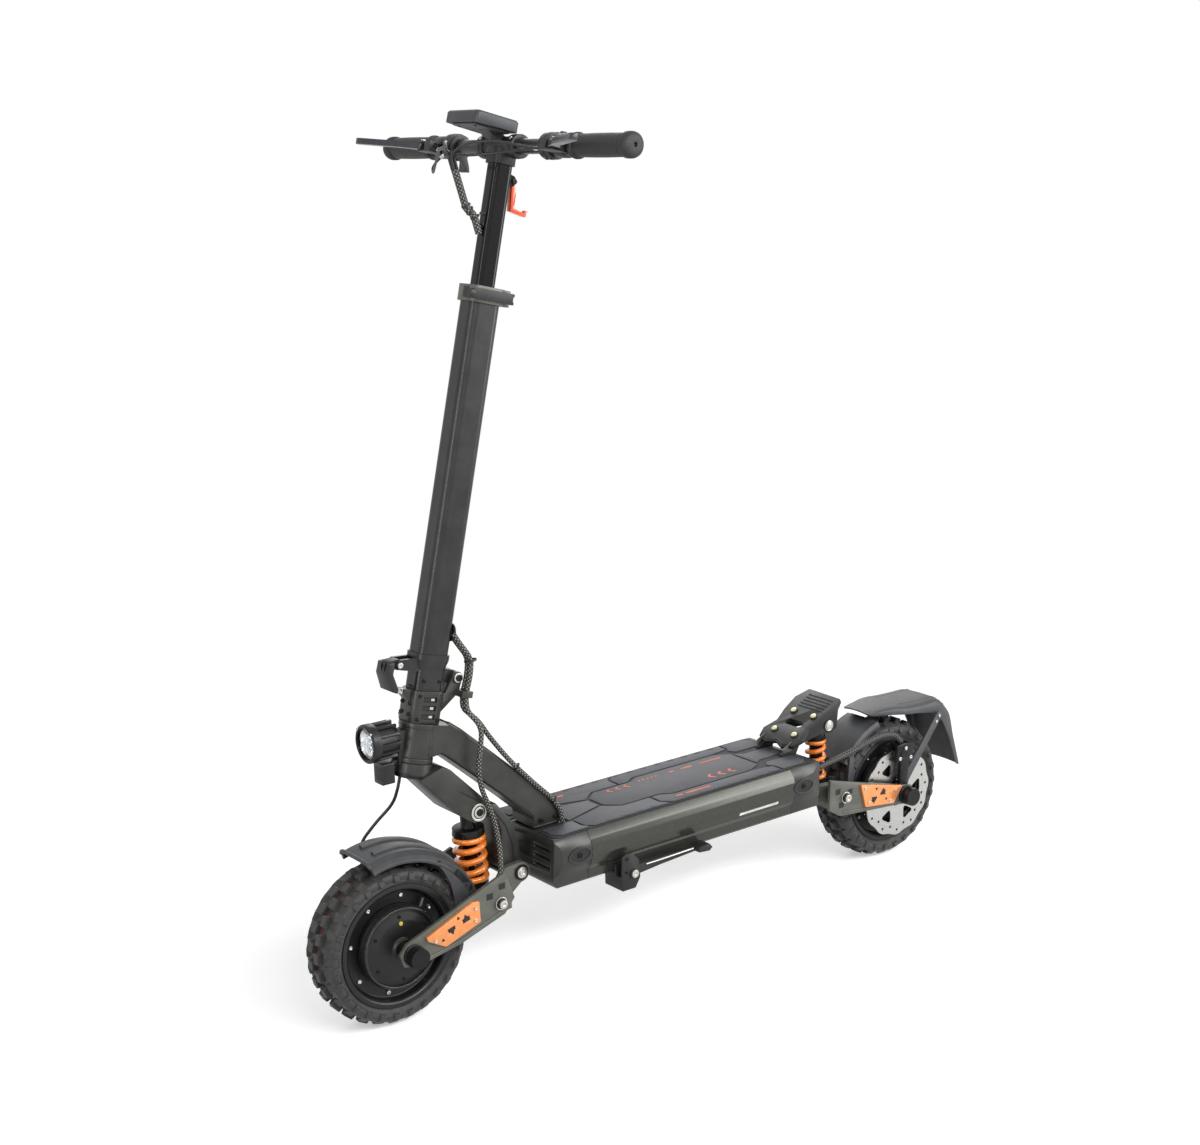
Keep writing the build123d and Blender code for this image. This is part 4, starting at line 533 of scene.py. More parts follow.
def mat_rubber(name, base):
    """Moulded grip mat of dark rubber: very fine pebble, 1.4 mm apart, that scatters the light."""
    made, tree, shader = finish(name, 0.6)
    where = add(tree, "ShaderNodeTexCoord")
    pebble = add(tree, "ShaderNodeTexVoronoi", {"Vector": where.outputs["Object"], "Scale": 1 / (1.4 * MM)})
    shade(tree, shader, grain(tree, 40 * MM), base, "#3B3E45", (0.35, 0.8))
    relief(tree, shader, pebble.outputs["Distance"], 0.15 * MM)
    return made


def braided(name, low="#060606", high="#8C8C84"):
    """Braided sleeving: crossed yarns 4 mm apart, drawn along the cable's own UV map."""
    made, tree, shader = finish(name, 0.55)
    where = add(tree, "ShaderNodeTexCoord")
    twists = []
    for turn in (-1, 1):
        slanted = add(tree, "ShaderNodeMapping", {"Vector": where.outputs["UV"],
                "Rotation": (0, 0, turn * math.pi / 4), "Scale": (1 / (4.4 * MM),) * 3})
        twists.append(add(tree, "ShaderNodeTexWave", {"Vector": slanted.outputs["Vector"], "Scale": 0.32},
                wave_type="BANDS", bands_direction="X"))
    weave = add(tree, "ShaderNodeMath", {0: twists[0].outputs["Fac"], 1: twists[1].outputs["Fac"]},
                operation="MULTIPLY")
    shade(tree, shader, weave.outputs["Value"], low, high, (0.25, 0.6))
    relief(tree, shader, weave.outputs["Value"], 0.5 * MM)
    return made


def grip_rubber(name):
    """Soft moulded grip: close rings of small diamonds, 3 mm apart, along the bar."""
    made, tree, shader = finish(name, 0.6)
    where = add(tree, "ShaderNodeTexCoord")
    dots = add(tree, "ShaderNodeTexVoronoi", {"Vector": where.outputs["Object"], "Scale": 1 / (2.6 * MM)},
               feature="F1", distance="MANHATTAN")
    shade(tree, shader, dots.outputs["Distance"], "#252525", "#1A1A1A")
    relief(tree, shader, dots.outputs["Distance"], 0.25 * MM)
    return made


def clear_lens(name):
    """Polycarbonate lens: clear, hard-coated and very smooth."""
    made, tree, shader = finish(name, 0.03, ior=1.58, Transmission_Weight=1.0)
    shade(tree, shader, grain(tree, 20 * MM), "#F4F7FA", "#FFFFFF")
    return made


def mirror_chrome(name):
    """Vacuum-metallised reflector behind the lens."""
    made, tree, shader = finish(name, 0.08, metallic=1.0)
    shade(tree, shader, grain(tree, 4 * MM), "#C9CCD0", "#F2F4F6")
    return made


def led_chip(name):
    """Phosphor face of a white light-emitting diode, switched off."""
    made, tree, shader = finish(name, 0.35)
    shade(tree, shader, grain(tree, 1 * MM), "#E8DFA8", "#F7F3D8")
    return made


def pack_wrap(name):
    """Heat-shrunk PVC over the cells: smooth and blue with soft creases."""
    made, tree, shader = finish(name, 0.3)
    shade(tree, shader, grain(tree, 25 * MM), "#1B3E7A", "#24509A")
    relief(tree, shader, grain(tree, 9 * MM), 0.4 * MM)
    return made


class Finishes:
    """Every finish of the machine, made once."""

    def __init__(self, look):
        self.coat = powder_coat("satin_powder_coat", "#2A2A28", look.coat_colour, 0.33)
        self.stem = powder_coat("stem_powder_coat", "#1E1E1E", "#292928", 0.3)
        self.black = powder_coat("black_powder_coat", "#19191A", "#242425", 0.45)
        self.arm = powder_coat("arm_powder_coat", "#55564F", "#64655D", 0.4)
        self.deck = anodised("deck_anodised_grey", "#3A3B37", "#474842", 0.2)
        self.cover = anodised("anodised_orange_aluminium", "#E58B50", "#F6A66E")
        self.spring = gloss_paint("orange_spring_enamel", "#E0701A", look.accent_colour)
        self.hook = gloss_paint("hook_enamel", "#D2400F", "#EA5A1C")
        self.lever = anodised("lever_anodised_grey", "#35363A", "#46484C", 0.28)
        self.zinc = zinc_steel("zinc_plated_steel")
        self.gold = zinc_steel("yellow_zinc_steel", "#C2B98E", "#DED7B0")
        self.disc = ground_steel("ground_stainless_steel")
        self.steel = black_oxide("black_oxide_steel")
        self.hub = powder_coat("hub_black_paint", "#131313", "#1D1D1D", 0.38)
        self.hub_ring = black_oxide("polished_hub_edge", "#2C2C2B", "#43423F", 0.2)
        self.fender = moulded("fender_polypropylene", "#323335", "#3E3F41", 0.5)
        self.plastic = moulded("black_abs", "#171718", "#222223", 0.45)
        self.display = moulded("display_abs", "#2A2B2E", "#34353A", 0.42, 0.5, 0.02)
        self.glass = moulded("smoked_screen", "#08090B", "#0C0D10", 0.08, 2.0, 0.0)
        self.tyre = tyre_rubber("tyre_rubber")
        self.red_line = moulded("tyre_centre_paint", "#4A1B17", "#6B241D", 0.6)
        self.mat = mat_rubber("mat_rubber", look.mat_colour)
        # The mat's own rubber made near black: painted shade for the grooves between the tread panels.
        self.groove = moulded("mat_rubber_painted_groove_shade", "#0E0E10", "#17171A", 0.7)
        # Near black: the colour of dark seams and joints, and painted shade in the arm and cover openings and
        # in the fold and cap recesses.
        self.seal_and_shade = moulded("black_seal_and_painted_shade", "#070707", "#101010", 0.6)
        self.mark = moulded("mat_orange_ink", "#B4482A", "#D8663C", 0.55)
        self.strip = moulded("pale_deck_strip", "#B9B9B4", "#E2E2DE", 0.4)
        self.yellow = moulded("yellow_paint_dot", "#B7A435", "#CDBB4A", 0.5)
        self.gloss = anodised("gloss_black_anodised", "#09090A", "#111112", 0.16)
        self.cable = moulded("cable_pvc", "#111111", "#1B1B1B", 0.4, 1.5, 0.03)
        self.braid = braided("braided_sleeving")
        self.conduit = braided("ribbed_conduit", "#0A0A0A", "#5E5E5C")
        self.grip = grip_rubber("grip_rubber")
        self.lens = clear_lens("polycarbonate_lens")
        self.mirror = mirror_chrome("metallised_reflector")
        self.led = led_chip("led_phosphor")
        self.wrap = pack_wrap("shrink_wrap")


FINISH = {}


def finishes():
    if not FINISH:
        FINISH["all"] = Finishes(bpy.context.scene.scooter_look)
    return FINISH["all"]


# ---- stage, lamps and camera --------------------------------------------------------------------
CAMERA_AT = Vector((1.89534, 2.35109, 1.31557))
CAMERA_YAW, CAMERA_PITCH, CAMERA_ROLL = math.radians(232.92), math.radians(-13.16), math.radians(-1.7)
CAMERA_LENS, SENSOR = 57.45, 36.0
PAPER_LIFT = 0.4                 # what the paper adds to its own light, as the camera sees it


def visible_white(tree, lit, seen=1.0):
    """Strength that is white to the camera and in reflections, and the lit level for everything else."""
    path = add(tree, "ShaderNodeLightPath")
    either = add(tree, "ShaderNodeMath", {0: path.outputs["Is Camera Ray"],
            1: path.outputs["Is Glossy Ray"]}, operation="MAXIMUM")
    any_ray = add(tree, "ShaderNodeMath", {0: either.outputs["Value"],
            1: path.outputs["Is Transmission Ray"]}, operation="MAXIMUM")
    return add(tree, "ShaderNodeMapRange", {"Value": any_ray.outputs["Value"], "To Min": lit,
            "To Max": seen})


def softbox(name, power, size, at, aim=(0.0, 0.0, 0.5)):
    light = bpy.data.lights.new(name, "AREA")
    light.shape = "RECTANGLE"
    light.size, light.size_y = size
    light.energy = power
    lamp = bpy.data.objects.new(name, light)
    bpy.context.scene.collection.objects.link(lamp)
    lamp.location = at
    lamp.rotation_euler = (Vector(aim) - Vector(at)).to_track_quat("-Z", "Y").to_euler()
    return lamp


class SCOOTER_OT_stage(bpy.types.Operator):
    """Pale floor, soft studio light and the camera"""
    bl_idname = "scooter.stage"
    bl_label = "Stage"

    def execute(self, context):
        scene = context.scene
        scene.view_settings.view_transform = "Standard"
        world = bpy.data.worlds.new("studio")
        scene.world = world
        world.use_nodes = True
        tree = world.node_tree
        level = visible_white(tree, 0.33)
        backdrop = tree.nodes["Background"]
        backdrop.inputs["Color"].default_value = (1, 1, 1, 1)
        tree.links.new(level.outputs["Result"], backdrop.inputs["Strength"])
        clear_selection()
        bpy.ops.mesh.primitive_circle_add(vertices=96, radius=9.0, fill_type="NGON")
        floor = context.object
        floor.name = "floor"
        floor.data.materials.append(self.floor_paint())
        look = scene.scooter_look
        softbox("key_softbox", look.lamp_power * 1.3, (3.4, 0.6), (0.1, 2.7, 2.3))
        softbox("edge_softbox", look.lamp_power * 0.35, (0.4, 2.4), (3.0, 1.0, 1.3))
        softbox("side_softbox", look.lamp_power * 0.9, (1.2, 2.2), (-2.4, 2.2, 1.4))
        softbox("rear_softbox", look.lamp_power * 0.5, (1.6, 2.2), (-2.0, -2.4, 2.2))
        camera = bpy.data.objects.new("camera", bpy.data.cameras.new("camera"))
        scene.collection.objects.link(camera)
        forward = Vector((math.cos(CAMERA_YAW) * math.cos(CAMERA_PITCH),
                math.sin(CAMERA_YAW) * math.cos(CAMERA_PITCH), math.sin(CAMERA_PITCH)))
        right = forward.cross(Vector((0, 0, 1))).normalized()
        up = right.cross(forward)
        tilt = Matrix.Rotation(-CAMERA_ROLL, 3, forward)
        basis = Matrix((tilt @ right, tilt @ up, -forward)).transposed()
        camera.matrix_world = Matrix.Translation(CAMERA_AT) @ basis.to_4x4()
        camera.data.lens, camera.data.sensor_width = CAMERA_LENS, SENSOR
        scene.camera = camera
        return {"FINISHED"}

    def floor_paint(self):
        """White paper sweep: matt, lit near the machine so that it holds a shadow, and plain white beyond."""
        made, tree, shader = finish("white_paper_sweep", 0.9)
        where = add(tree, "ShaderNodeTexCoord")
        distance = add(tree, "ShaderNodeVectorMath", {0: where.outputs["Object"]}, operation="LENGTH")
        fade = add(tree, "ShaderNodeMapRange", {"Value": distance.outputs["Value"], "From Min": 0.6,
                "From Max": 1.7})
        shade(tree, shader, grain(tree, 0.5), "#E9E9E9", "#EDEDED")
        path = add(tree, "ShaderNodeLightPath")
        lift = add(tree, "ShaderNodeMath", {0: path.outputs["Is Camera Ray"], 1: PAPER_LIFT},
                   operation="MULTIPLY")
        glow = add(tree, "ShaderNodeEmission", {"Color": (1, 1, 1, 1), "Strength": lift.outputs["Value"]})
        lifted = add(tree, "ShaderNodeAddShader", {0: shader.outputs[0], 1: glow.outputs[0]})
        plain = add(tree, "ShaderNodeEmission", {"Color": (1, 1, 1, 1)})
        level = visible_white(tree, 0.6)
        tree.links.new(level.outputs["Result"], plain.inputs["Strength"])
        mixed = add(tree, "ShaderNodeMixShader", {"Fac": fade.outputs["Result"], 1: lifted.outputs[0],
                2: plain.outputs[0]})
        tree.links.new(mixed.outputs[0], tree.nodes["Material Output"].inputs["Surface"])
        return made


# ---- solids shown as they are, and solids shown with their edges rounded ------------------------
def body_of(node):
    return frame["nodes"][node]["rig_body"]


def slot_of(node):
    return next(part["material_slot"] for part in frame["record"]["subparts"] if part["node"] == node)


def kept_finishes(f):
    """Finish of each CAD node that is shown as it is."""
    return {"headset_bearings": f.steel, "battery_pack": f.wrap, "controller": f.steel,
            "front_motor_core": f.steel, "rear_motor_core": f.steel, "inner_tube": f.gloss,
            "handlebar": f.coat, "front_damper_rod": f.steel, "rear_damper_rod": f.steel,
            "stem_tube": f.stem, "frame_neck": f.coat, "front_fender": f.fender,}


def rounded_finishes(f, edge):
    """Finish and edge radius of each CAD node that is shown with its edges rounded."""
    return {"deck_front_cap": (f.coat, edge), "deck_rear_cap": (f.coat, edge), "horn": (f.hub, edge),
            "kickstand_bracket": (f.black, 0.6 * edge), "kickstand": (f.black, edge),
            "fork": (f.coat, 2 * edge), "fold_base": (f.coat, 0.6 * edge), "front_arm": (f.arm, 0.6 * edge),
            "rear_arm": (f.arm, 0.6 * edge), "front_arm_covers": (f.cover, 0.6 * edge),
            "rear_arm_covers": (f.cover, 0.6 * edge), "front_caliper": (f.steel, edge),
            "rear_caliper": (f.steel, edge), "front_damper_body": (f.steel, 0.5 * edge),
            "rear_damper_body": (f.steel, 0.5 * edge), "stem_collar": (f.arm, 0.8 * edge),
            "fold_latch": (f.black, edge), "clamp_lever": (f.black, 0.8 * edge),
            "bar_clamp": (f.black, 0.8 * edge), "bar_controls": (f.plastic, 0.8 * edge),
            "display": (f.display, edge), "brake_lever_left": (f.lever, edge),
            "brake_lever_right": (f.lever, edge), "throttle": (f.plastic, 0.8 * edge),
            "switch_button": (f.plastic, 0.5 * edge), "carry_hook": (f.hook, 0.8 * edge),
            "frame_bolts": (f.zinc, 0.4 * edge), "fork_bolts": (f.zinc, 0.4 * edge),}


class SCOOTER_OT_solids(bpy.types.Operator):
    """Finishes of the solids that are shown as they are, and of the ones with rounded edges"""
    bl_idname = "scooter.solids"
    bl_label = "Kept and rounded solids"

    def execute(self, context):
        edge = context.scene.scooter_look.edge
        for node, material in kept_finishes(finishes()).items():
            slots = frame["nodes"][node].data.materials
            slots.clear()
            slots.append(material)
        for node, (material, width) in rounded_finishes(finishes(), edge).items():
            dress(node + "_shaped", cad_copy(node, width), material, body_of(node), slot_of(node), node)
        return {"FINISHED"}


def facing(side):
    """Turns local Z to point out to the left (1) or to the right (-1)."""
    return turned(-90 * side, "X")


def bolt_set(name, spots, radius, height, side, finish_used, body, slot, sides=6):
    """Bolt heads at the spots, all facing one side, as one piece."""
    heads = [bolt_head(radius, height, Matrix.Translation(spot) @ facing(side), sides) for spot in spots]
    return dress(name, heads, finish_used, body, slot)


def circle(radius, count, first=0, last=None):
    """Points of a circle in the XY plane, or of its part between two counts."""
    steps = range(first, count if last is None else last)
    return [(radius * math.cos(math.tau * k / count), radius * math.sin(math.tau * k / count))
            for k in steps]


def circle_spots(axle, count, radius, y, start=0.0):
    """Points evenly round the wheel's axis at that radius and that distance across."""
    return [axle + Vector((radius * math.cos(start + math.tau * k / count), y,
            radius * math.sin(start + math.tau * k / count))) for k in range(count)]


# ---- tyres --------------------------------------------------------------------------------------
TYRE_BASE_R, TYRE_R, BEAD_R = 118.8 * MM, 127.4 * MM, 93 * MM
TYRE_HALF = 38.8 * MM
CENTRE_KNOB = (18.5 * MM, 14 * MM, 10.5 * MM)
SHOULDER_LUG = (16.5 * MM, 18 * MM, 11 * MM)
SIDE_LUG = (11 * MM, 12 * MM, 7 * MM)
LUG_TILT, LUG_Y, LUG_R = 34, 28.2 * MM, 115.2 * MM
SIDE_TILT, SIDE_Y, SIDE_R = 70, 37.2 * MM, 109.5 * MM


def tyre_carcass(axle):
    """Rounded casing from bead to bead, with a rim cushion and two fine rings on each sidewall."""
    half = [(BEAD_R, 30 * MM, 0), (BEAD_R + 5 * MM, 33 * MM, 2 * MM), (BEAD_R + 9 * MM, 36.2 * MM, 3 * MM),
            (BEAD_R + 10.5 * MM, 37.6 * MM, 0), (BEAD_R + 11.5 * MM, 36.8 * MM, 0),
            (110 * MM, TYRE_HALF, 9 * MM), (118.5 * MM, 35 * MM, 8 * MM), (TYRE_BASE_R, 18 * MM, 12 * MM)]
    outline = rounded(half + [(r, -y, size) for r, y, size in reversed(half)], 0, 4)
    return lathe(outline, Matrix.Translation(axle) @ ACROSS, steps=96)


def knob(size, at, tilt=0.0, skew=0.0):
    """One tread knob with chamfered edges and a narrower crown, at the top of the wheel."""
    place = Matrix.Translation(at) @ turned(tilt, "X") @ Matrix.Rotation(skew, 4, "Z")
    return block(size, (0, 0, 0), edge=1.0 * MM, place=place, segments=1, taper=0.84)


def tread(axle, pitches):
    """Paired centre knobs, staggered by half a pitch, and a tilted lug on each shoulder."""
    rows = []
    for side in (-1, 1):
        centre = knob(CENTRE_KNOB, (0, side * 8.3 * MM, TYRE_R - CENTRE_KNOB[2] / 2), skew=side * 0.14)
        shoulder = knob(SHOULDER_LUG, (0, side * LUG_Y, LUG_R), -side * LUG_TILT, side * 0.2)
        stagger = math.pi / pitches if side > 0 else 0.0
        rows += ring_of(centre, pitches, axle, stagger)
        rows += ring_of(shoulder, pitches, axle, stagger + math.pi / pitches)
        flank = knob(SIDE_LUG, (0, side * SIDE_Y, SIDE_R), -side * SIDE_TILT)
        rows += ring_of(flank, pitches, axle, stagger + math.pi / pitches)
    return join(rows)


class SCOOTER_OT_tyres(bpy.types.Operator):
    """Casing, centre line and knobs of both tyres"""
    bl_idname = "scooter.tyres"
    bl_label = "Tyres"

    def execute(self, context):
        f, pitches = finishes(), context.scene.scooter_look.tread_pitches
        for end, axle in (("front", FRONT_AXLE), ("rear", REAR_AXLE)):
            body = end + "_wheel"
            dress(end + "_tyre_casing", tyre_carcass(axle), f.tyre, body, "tyre", end + "_tyre")
            dress(end + "_tyre_knobs", tread(axle, pitches), f.tyre, body, "tyre")
            line = lathe([(TYRE_BASE_R - MM, -1.2 * MM), (TYRE_BASE_R + 0.5 * MM, -1.2 * MM),
                    (TYRE_BASE_R + 0.5 * MM, 1.2 * MM), (TYRE_BASE_R - MM, 1.2 * MM)],
                    Matrix.Translation(axle) @ ACROSS, steps=96)
            dress(end + "_tyre_line", line, f.red_line, body, "tyre")
        return {"FINISHED"}


# ---- hub motors, discs and calipers -------------------------------------------------------------
HUB_R, HUB_FACE, BOSS_R, BOSS_FACE = 66 * MM, 43 * MM, 17 * MM, 48.9 * MM
TRENCH_FLOOR, RIM_FACE = 20 * MM, 35 * MM
DISC_Y, DISC_R, DISC_THICK = 53 * MM, 82 * MM, 2.4 * MM
DISC_WAVES, DISC_WINDOWS = 12, 6
CALIPER_TURN = 95
ARM_FACE = 75 * MM


def rim_ring(axle):
    """Cast rim: bead seats, rolled edges, and the deep black trench on each side of the motor."""
    half = [(HUB_R - 2 * MM, TRENCH_FLOOR, 0), (84 * MM, TRENCH_FLOOR, 2.5 * MM),
            (86 * MM, 31 * MM, 2 * MM), (88 * MM, RIM_FACE - 1.5 * MM, 1.5 * MM),
            (90 * MM, RIM_FACE, 1 * MM), (BEAD_R + 4 * MM, RIM_FACE, 1 * MM),
            (BEAD_R + 3.6 * MM, RIM_FACE - 2 * MM, 0), (BEAD_R, RIM_FACE - 5 * MM, 0)]
    outline = rounded(half + [(r, -y, size) for r, y, size in reversed(half)], 0, 3)
    return lathe(outline, Matrix.Translation(axle) @ ACROSS, steps=96)


def hub_cover(axle, side):
    """Domed motor cover that steps down to the trench, with a bearing boss."""
    profile = rounded([(7.2 * MM, 22 * MM, 0), (7.2 * MM, BOSS_FACE, 0),
            (BOSS_R - 2 * MM, BOSS_FACE, 1 * MM), (BOSS_R + 0.5 * MM, HUB_FACE + 1.5 * MM, 2 * MM),
            (30 * MM, HUB_FACE + 1.2 * MM, 0), (44 * MM, HUB_FACE + 0.4 * MM, 4 * MM),
            (55 * MM, HUB_FACE - 2.5 * MM, 3 * MM), (60 * MM, HUB_FACE - 3 * MM, 1 * MM),
            (HUB_R - 1 * MM, 30 * MM, 1 * MM), (HUB_R - 2 * MM, 22 * MM, 0)], 0, 4)
    return lathe(profile, Matrix.Translation(axle) @ facing(side), steps=96)


def hub_edge(axle, side):
    """The polished bead that stands round the cover."""
    outline = rounded([(59.5 * MM, 36 * MM), (59.5 * MM, HUB_FACE + 1 * MM), (63 * MM, HUB_FACE + 1 * MM),
            (HUB_R + 0.6 * MM, 36 * MM)], 1.4 * MM, 4)
    return lathe(outline, Matrix.Translation(axle) @ facing(side), steps=96)


def brake_disc(axle, side):
    """Wave-edged disc with six triangular windows and a ring of small vent holes."""
    def wave(turn):
        radius = DISC_R - 1.5 * MM + 1.5 * MM * math.cos(DISC_WAVES * turn)
        return (radius * math.cos(turn), radius * math.sin(turn))

    def around(radius, turn, size, count=16):
        centre = Vector((radius * math.cos(turn), radius * math.sin(turn)))
        return [(centre.x + size * math.cos(math.tau * k / count),
                 centre.y + size * math.sin(math.tau * k / count)) for k in range(count)]

    edge = [wave(math.tau * k / 144) for k in range(144)]
    holes = [around(0, 0, 20 * MM, 48)]
    for k in range(DISC_WINDOWS):
        turn = math.tau * k / DISC_WINDOWS
        across = Matrix.Rotation(turn, 2)
        window = [across @ Vector(p) for p in ((34 * MM, 0), (58 * MM, -15 * MM), (58 * MM, 15 * MM))]
        holes.append(rounded(window, 4 * MM, 4))
    for k in range(24):
        holes.append(around((66 if k % 2 else 73) * MM, math.tau * k / 24, 2.6 * MM, 10))
    place = Matrix.Translation(axle + Vector((0, side * DISC_Y + DISC_THICK / 2, 0))) @ ACROSS
    return plate(edge, DISC_THICK, holes=holes, edge=0.25 * MM, place=place, segments=1)


def disc_carrier(axle, side):
    """Turned spacer between the hub cover and the disc."""
    outline = rounded([(19 * MM, HUB_FACE), (26.5 * MM, HUB_FACE), (26.5 * MM, DISC_Y + 1.8 * MM),
            (19 * MM, DISC_Y + 1.8 * MM)], 0.8 * MM, 2)
    return lathe(outline, Matrix.Translation(axle) @ facing(side), steps=64)


def axle_cap(axle, side):
    """Large domed axle nut with a knurled skirt and a recessed centre."""
    outer = [(0, 0), (17 * MM, 0), (17 * MM, 3 * MM), (15.8 * MM, 4 * MM), (15.8 * MM, 17 * MM),
             (13 * MM, 20.6 * MM), (8.5 * MM, 21 * MM), (7 * MM, 18.5 * MM), (0, 18.2 * MM)]
    place = Matrix.Translation(axle + Vector((0, side * ARM_FACE, 0))) @ facing(side)
    skirt = lathe(outer, place, steps=48, degrees=35)
    ribs = []
    for k in range(24):
        turn = Matrix.Rotation(math.tau * k / 24, 4, "Z")
        ribs.append(block((1.6 * MM, 1.6 * MM, 11 * MM), (15.7 * MM, 0, 10 * MM), 0.4 * MM, place @ turn,
                1))
    return join([skirt] + ribs)


class SCOOTER_OT_hubs(bpy.types.Operator):
    """Rims, motor covers, brake discs and axle caps"""
    bl_idname = "scooter.hubs"
    bl_label = "Hubs and discs"

    def execute(self, context):
        f = finishes()
        for end, axle, disc_side in (("front", FRONT_AXLE, -1), ("rear", REAR_AXLE, 1)):
            body, arm = end + "_wheel", end + "_arm"
            rim = rim_ring(axle)
            dress(end + "_rim", rim, f.hub, body, "hub_black", end + "_hub_motor")
            for side, word in ((1, "left"), (-1, "right")):
                dress(f"{end}_hub_cover_{word}", hub_cover(axle, side), f.hub, body, "hub_black")
                dress(f"{end}_hub_edge_{word}", hub_edge(axle, side), f.hub_ring, body, "hub_black")
                bolt_set(f"{end}_rim_screws_{word}", circle_spots(axle, 8, 76 * MM, side * TRENCH_FLOOR,
                        0.2), 3.4 * MM, 3 * MM, side, f.zinc, body, "steel")
                bolt_set(f"{end}_cover_screws_{word}", circle_spots(axle, 6, 50 * MM,
                        side * (HUB_FACE - 2 * MM), 0.5), 2.6 * MM, 2.4 * MM, side, f.steel, body,
                         "black_steel")
                dress(f"{end}_axle_cap_{word}", axle_cap(axle, side), f.steel, arm, "black_steel")
            dress(end + "_brake_disc", brake_disc(axle, disc_side), f.disc, body, "disc_steel",
                  end + "_disc")
            dress(end + "_disc_carrier", disc_carrier(axle, disc_side), f.steel, body, "black_steel")
            bolt_set(end + "_disc_bolts", circle_spots(axle, 6, 22.8 * MM, disc_side * (DISC_Y + 1.6 * MM),
                    0.5), 2.6 * MM, 2 * MM, disc_side, f.zinc, body, "steel")
            dot = rod(3.2 * MM, axle + Vector((0, 42.5 * MM, 40 * MM)),
                      axle + Vector((0, 44.4 * MM, 40 * MM)), 20)
            dress(end + "_hub_mark", dot, f.yellow, body, "hub_black")
            valve = rod(3.2 * MM, axle + Vector((-50 * MM, 26 * MM, 62 * MM)),
                        axle + Vector((-41 * MM, 32 * MM, 51 * MM)), 20, 0.8 * MM)
            dress(end + "_valve", valve, f.plastic, body, "black_plastic")
            self.caliper_details(f, end, axle, disc_side)
        return {"FINISHED"}

    def caliper_details(self, f, end, axle, side):
        """Bolts, a piston cap and bridge ribs on each caliper."""
        place = Matrix.Translation(axle) @ turned(-CALIPER_TURN, "Y")
        outer = side * (DISC_Y + 14 * MM)
        heads = [bolt_head(3.6 * MM, 3 * MM, place @ shift(reach * MM, outer, along * MM) @ facing(side))
                 for reach, along in ((66, -13), (66, 14), (84, 0))]
        dress(end + "_caliper_bolts", heads, f.zinc, end + "_arm", "steel")
        piston = lathe([(0, -MM), (11 * MM, -MM), (11 * MM, 1.2 * MM), (9.5 * MM, 1.8 * MM),
                (4 * MM, 1.2 * MM), (0, 1.2 * MM)], place @ shift(71 * MM, outer, 0) @ facing(side),
                steps=40)
        dress(end + "_caliper_piston", piston, f.steel, end + "_arm", "black_steel")
        top = shift(DISC_R + 10 * MM, side * (DISC_Y + 4 * MM), 0)
        ribs = [block((5 * MM, 17 * MM, 2.2 * MM), (0, 0, 0), 0.7 * MM,
                place @ top @ shift(0, 0, step * 7 * MM), 1) for step in (-1, 0, 1)]
        dress(end + "_caliper_ribs", ribs, f.steel, end + "_arm", "black_steel")


# ---- springs and dampers ------------------------------------------------------------------------
DAMPERS = {"front": {"top": (-152 * MM, 303 * MM), "low": (-159 * MM, 165 * MM),
        "seats": (46 * MM, 121 * MM), "seat_r": 25 * MM, "coil": (22.0 * MM, 5.0 * MM, 3.6)},
           "rear": {"top": (151 * MM, 280 * MM), "low": (150 * MM, 158 * MM), "seats": (32 * MM, 104 * MM),
        "seat_r": 18 * MM, "coil": (15.0 * MM, 4.2 * MM, 3.8)},}


def side_point(axle, point, y=0.0):
    """A side-view point given from a wheel's axle in X, and its height."""
    return Vector((axle.x + point[0], y, point[1]))


def along(start, end):
    """A matrix at start whose local Z runs towards end, and the length between them."""
    run = end - start
    turn = Vector((0, 0, 1)).rotation_difference(run).to_matrix().to_4x4()
    return Matrix.Translation(start) @ turn, run.length


def tube_along(points, radius, sides=12):
    """A round tube through close points, with its own UV map: round the tube and along it, in metres."""
    points = [Vector(p) for p in points]
    tangents = [(points[min(k + 1, len(points) - 1)] - points[max(k - 1, 0)]).normalized()
                for k in range(len(points))]
    normal = tangents[0].orthogonal().normalized()
    rings, run, reach = [], [0.0], 0.0
    for k, (point, tangent) in enumerate(zip(points, tangents)):
        if k:
            normal = (tangents[k - 1].rotation_difference(tangent) @ normal).normalized()
            reach += (point - points[k - 1]).length
            run.append(reach)
        across = tangent.cross(normal)
        rings.append([point + radius * (math.cos(math.tau * j / sides) * normal
                + math.sin(math.tau * j / sides) * across) for j in range(sides)])
    vertices = [v for ring in rings for v in ring]
    faces, uvs = [], []
    for k in range(len(rings) - 1):
        for j in range(sides):
            after = (j + 1) % sides
            faces.append((k * sides + j, k * sides + after, (k + 1) * sides + after, (k + 1) * sides + j))
            arc = math.tau * radius / sides
            uvs += [(j * arc, run[k]), ((j + 1) * arc, run[k]), ((j + 1) * arc, run[k + 1]),
                    (j * arc, run[k + 1])]
    for first in (0, (len(rings) - 1) * sides):
        cap = [first + j for j in range(sides)]
        faces.append(cap if first else cap[::-1])
        uvs += [(0, 0)] * sides
    piece = from_points(vertices, [], faces)
    layer = piece.data.uv_layers.new(name="UVMap")
    layer.data.foreach_set("uv", [c for uv in uvs for c in uv])
    return smooth(piece, 50)


def coil(place, low, high, radius, wire, turns, closed_turns=0.9):
    """A compression spring whose end coils lie flat on their seats."""
    count = 34 * int(turns + 2 * closed_turns)
    low, high = low + wire, high - wire
    total = turns + closed_turns
    points = []
    for k in range(count + 1):
        turn = total * k / count
        lead = min(max((turn - closed_turns / 2) / (total - closed_turns), 0.0), 1.0)
        points.append(place @ Vector((radius * math.cos(math.tau * turn),
                radius * math.sin(math.tau * turn), low + (high - low) * lead)))
    return tube_along(points, wire, 14)


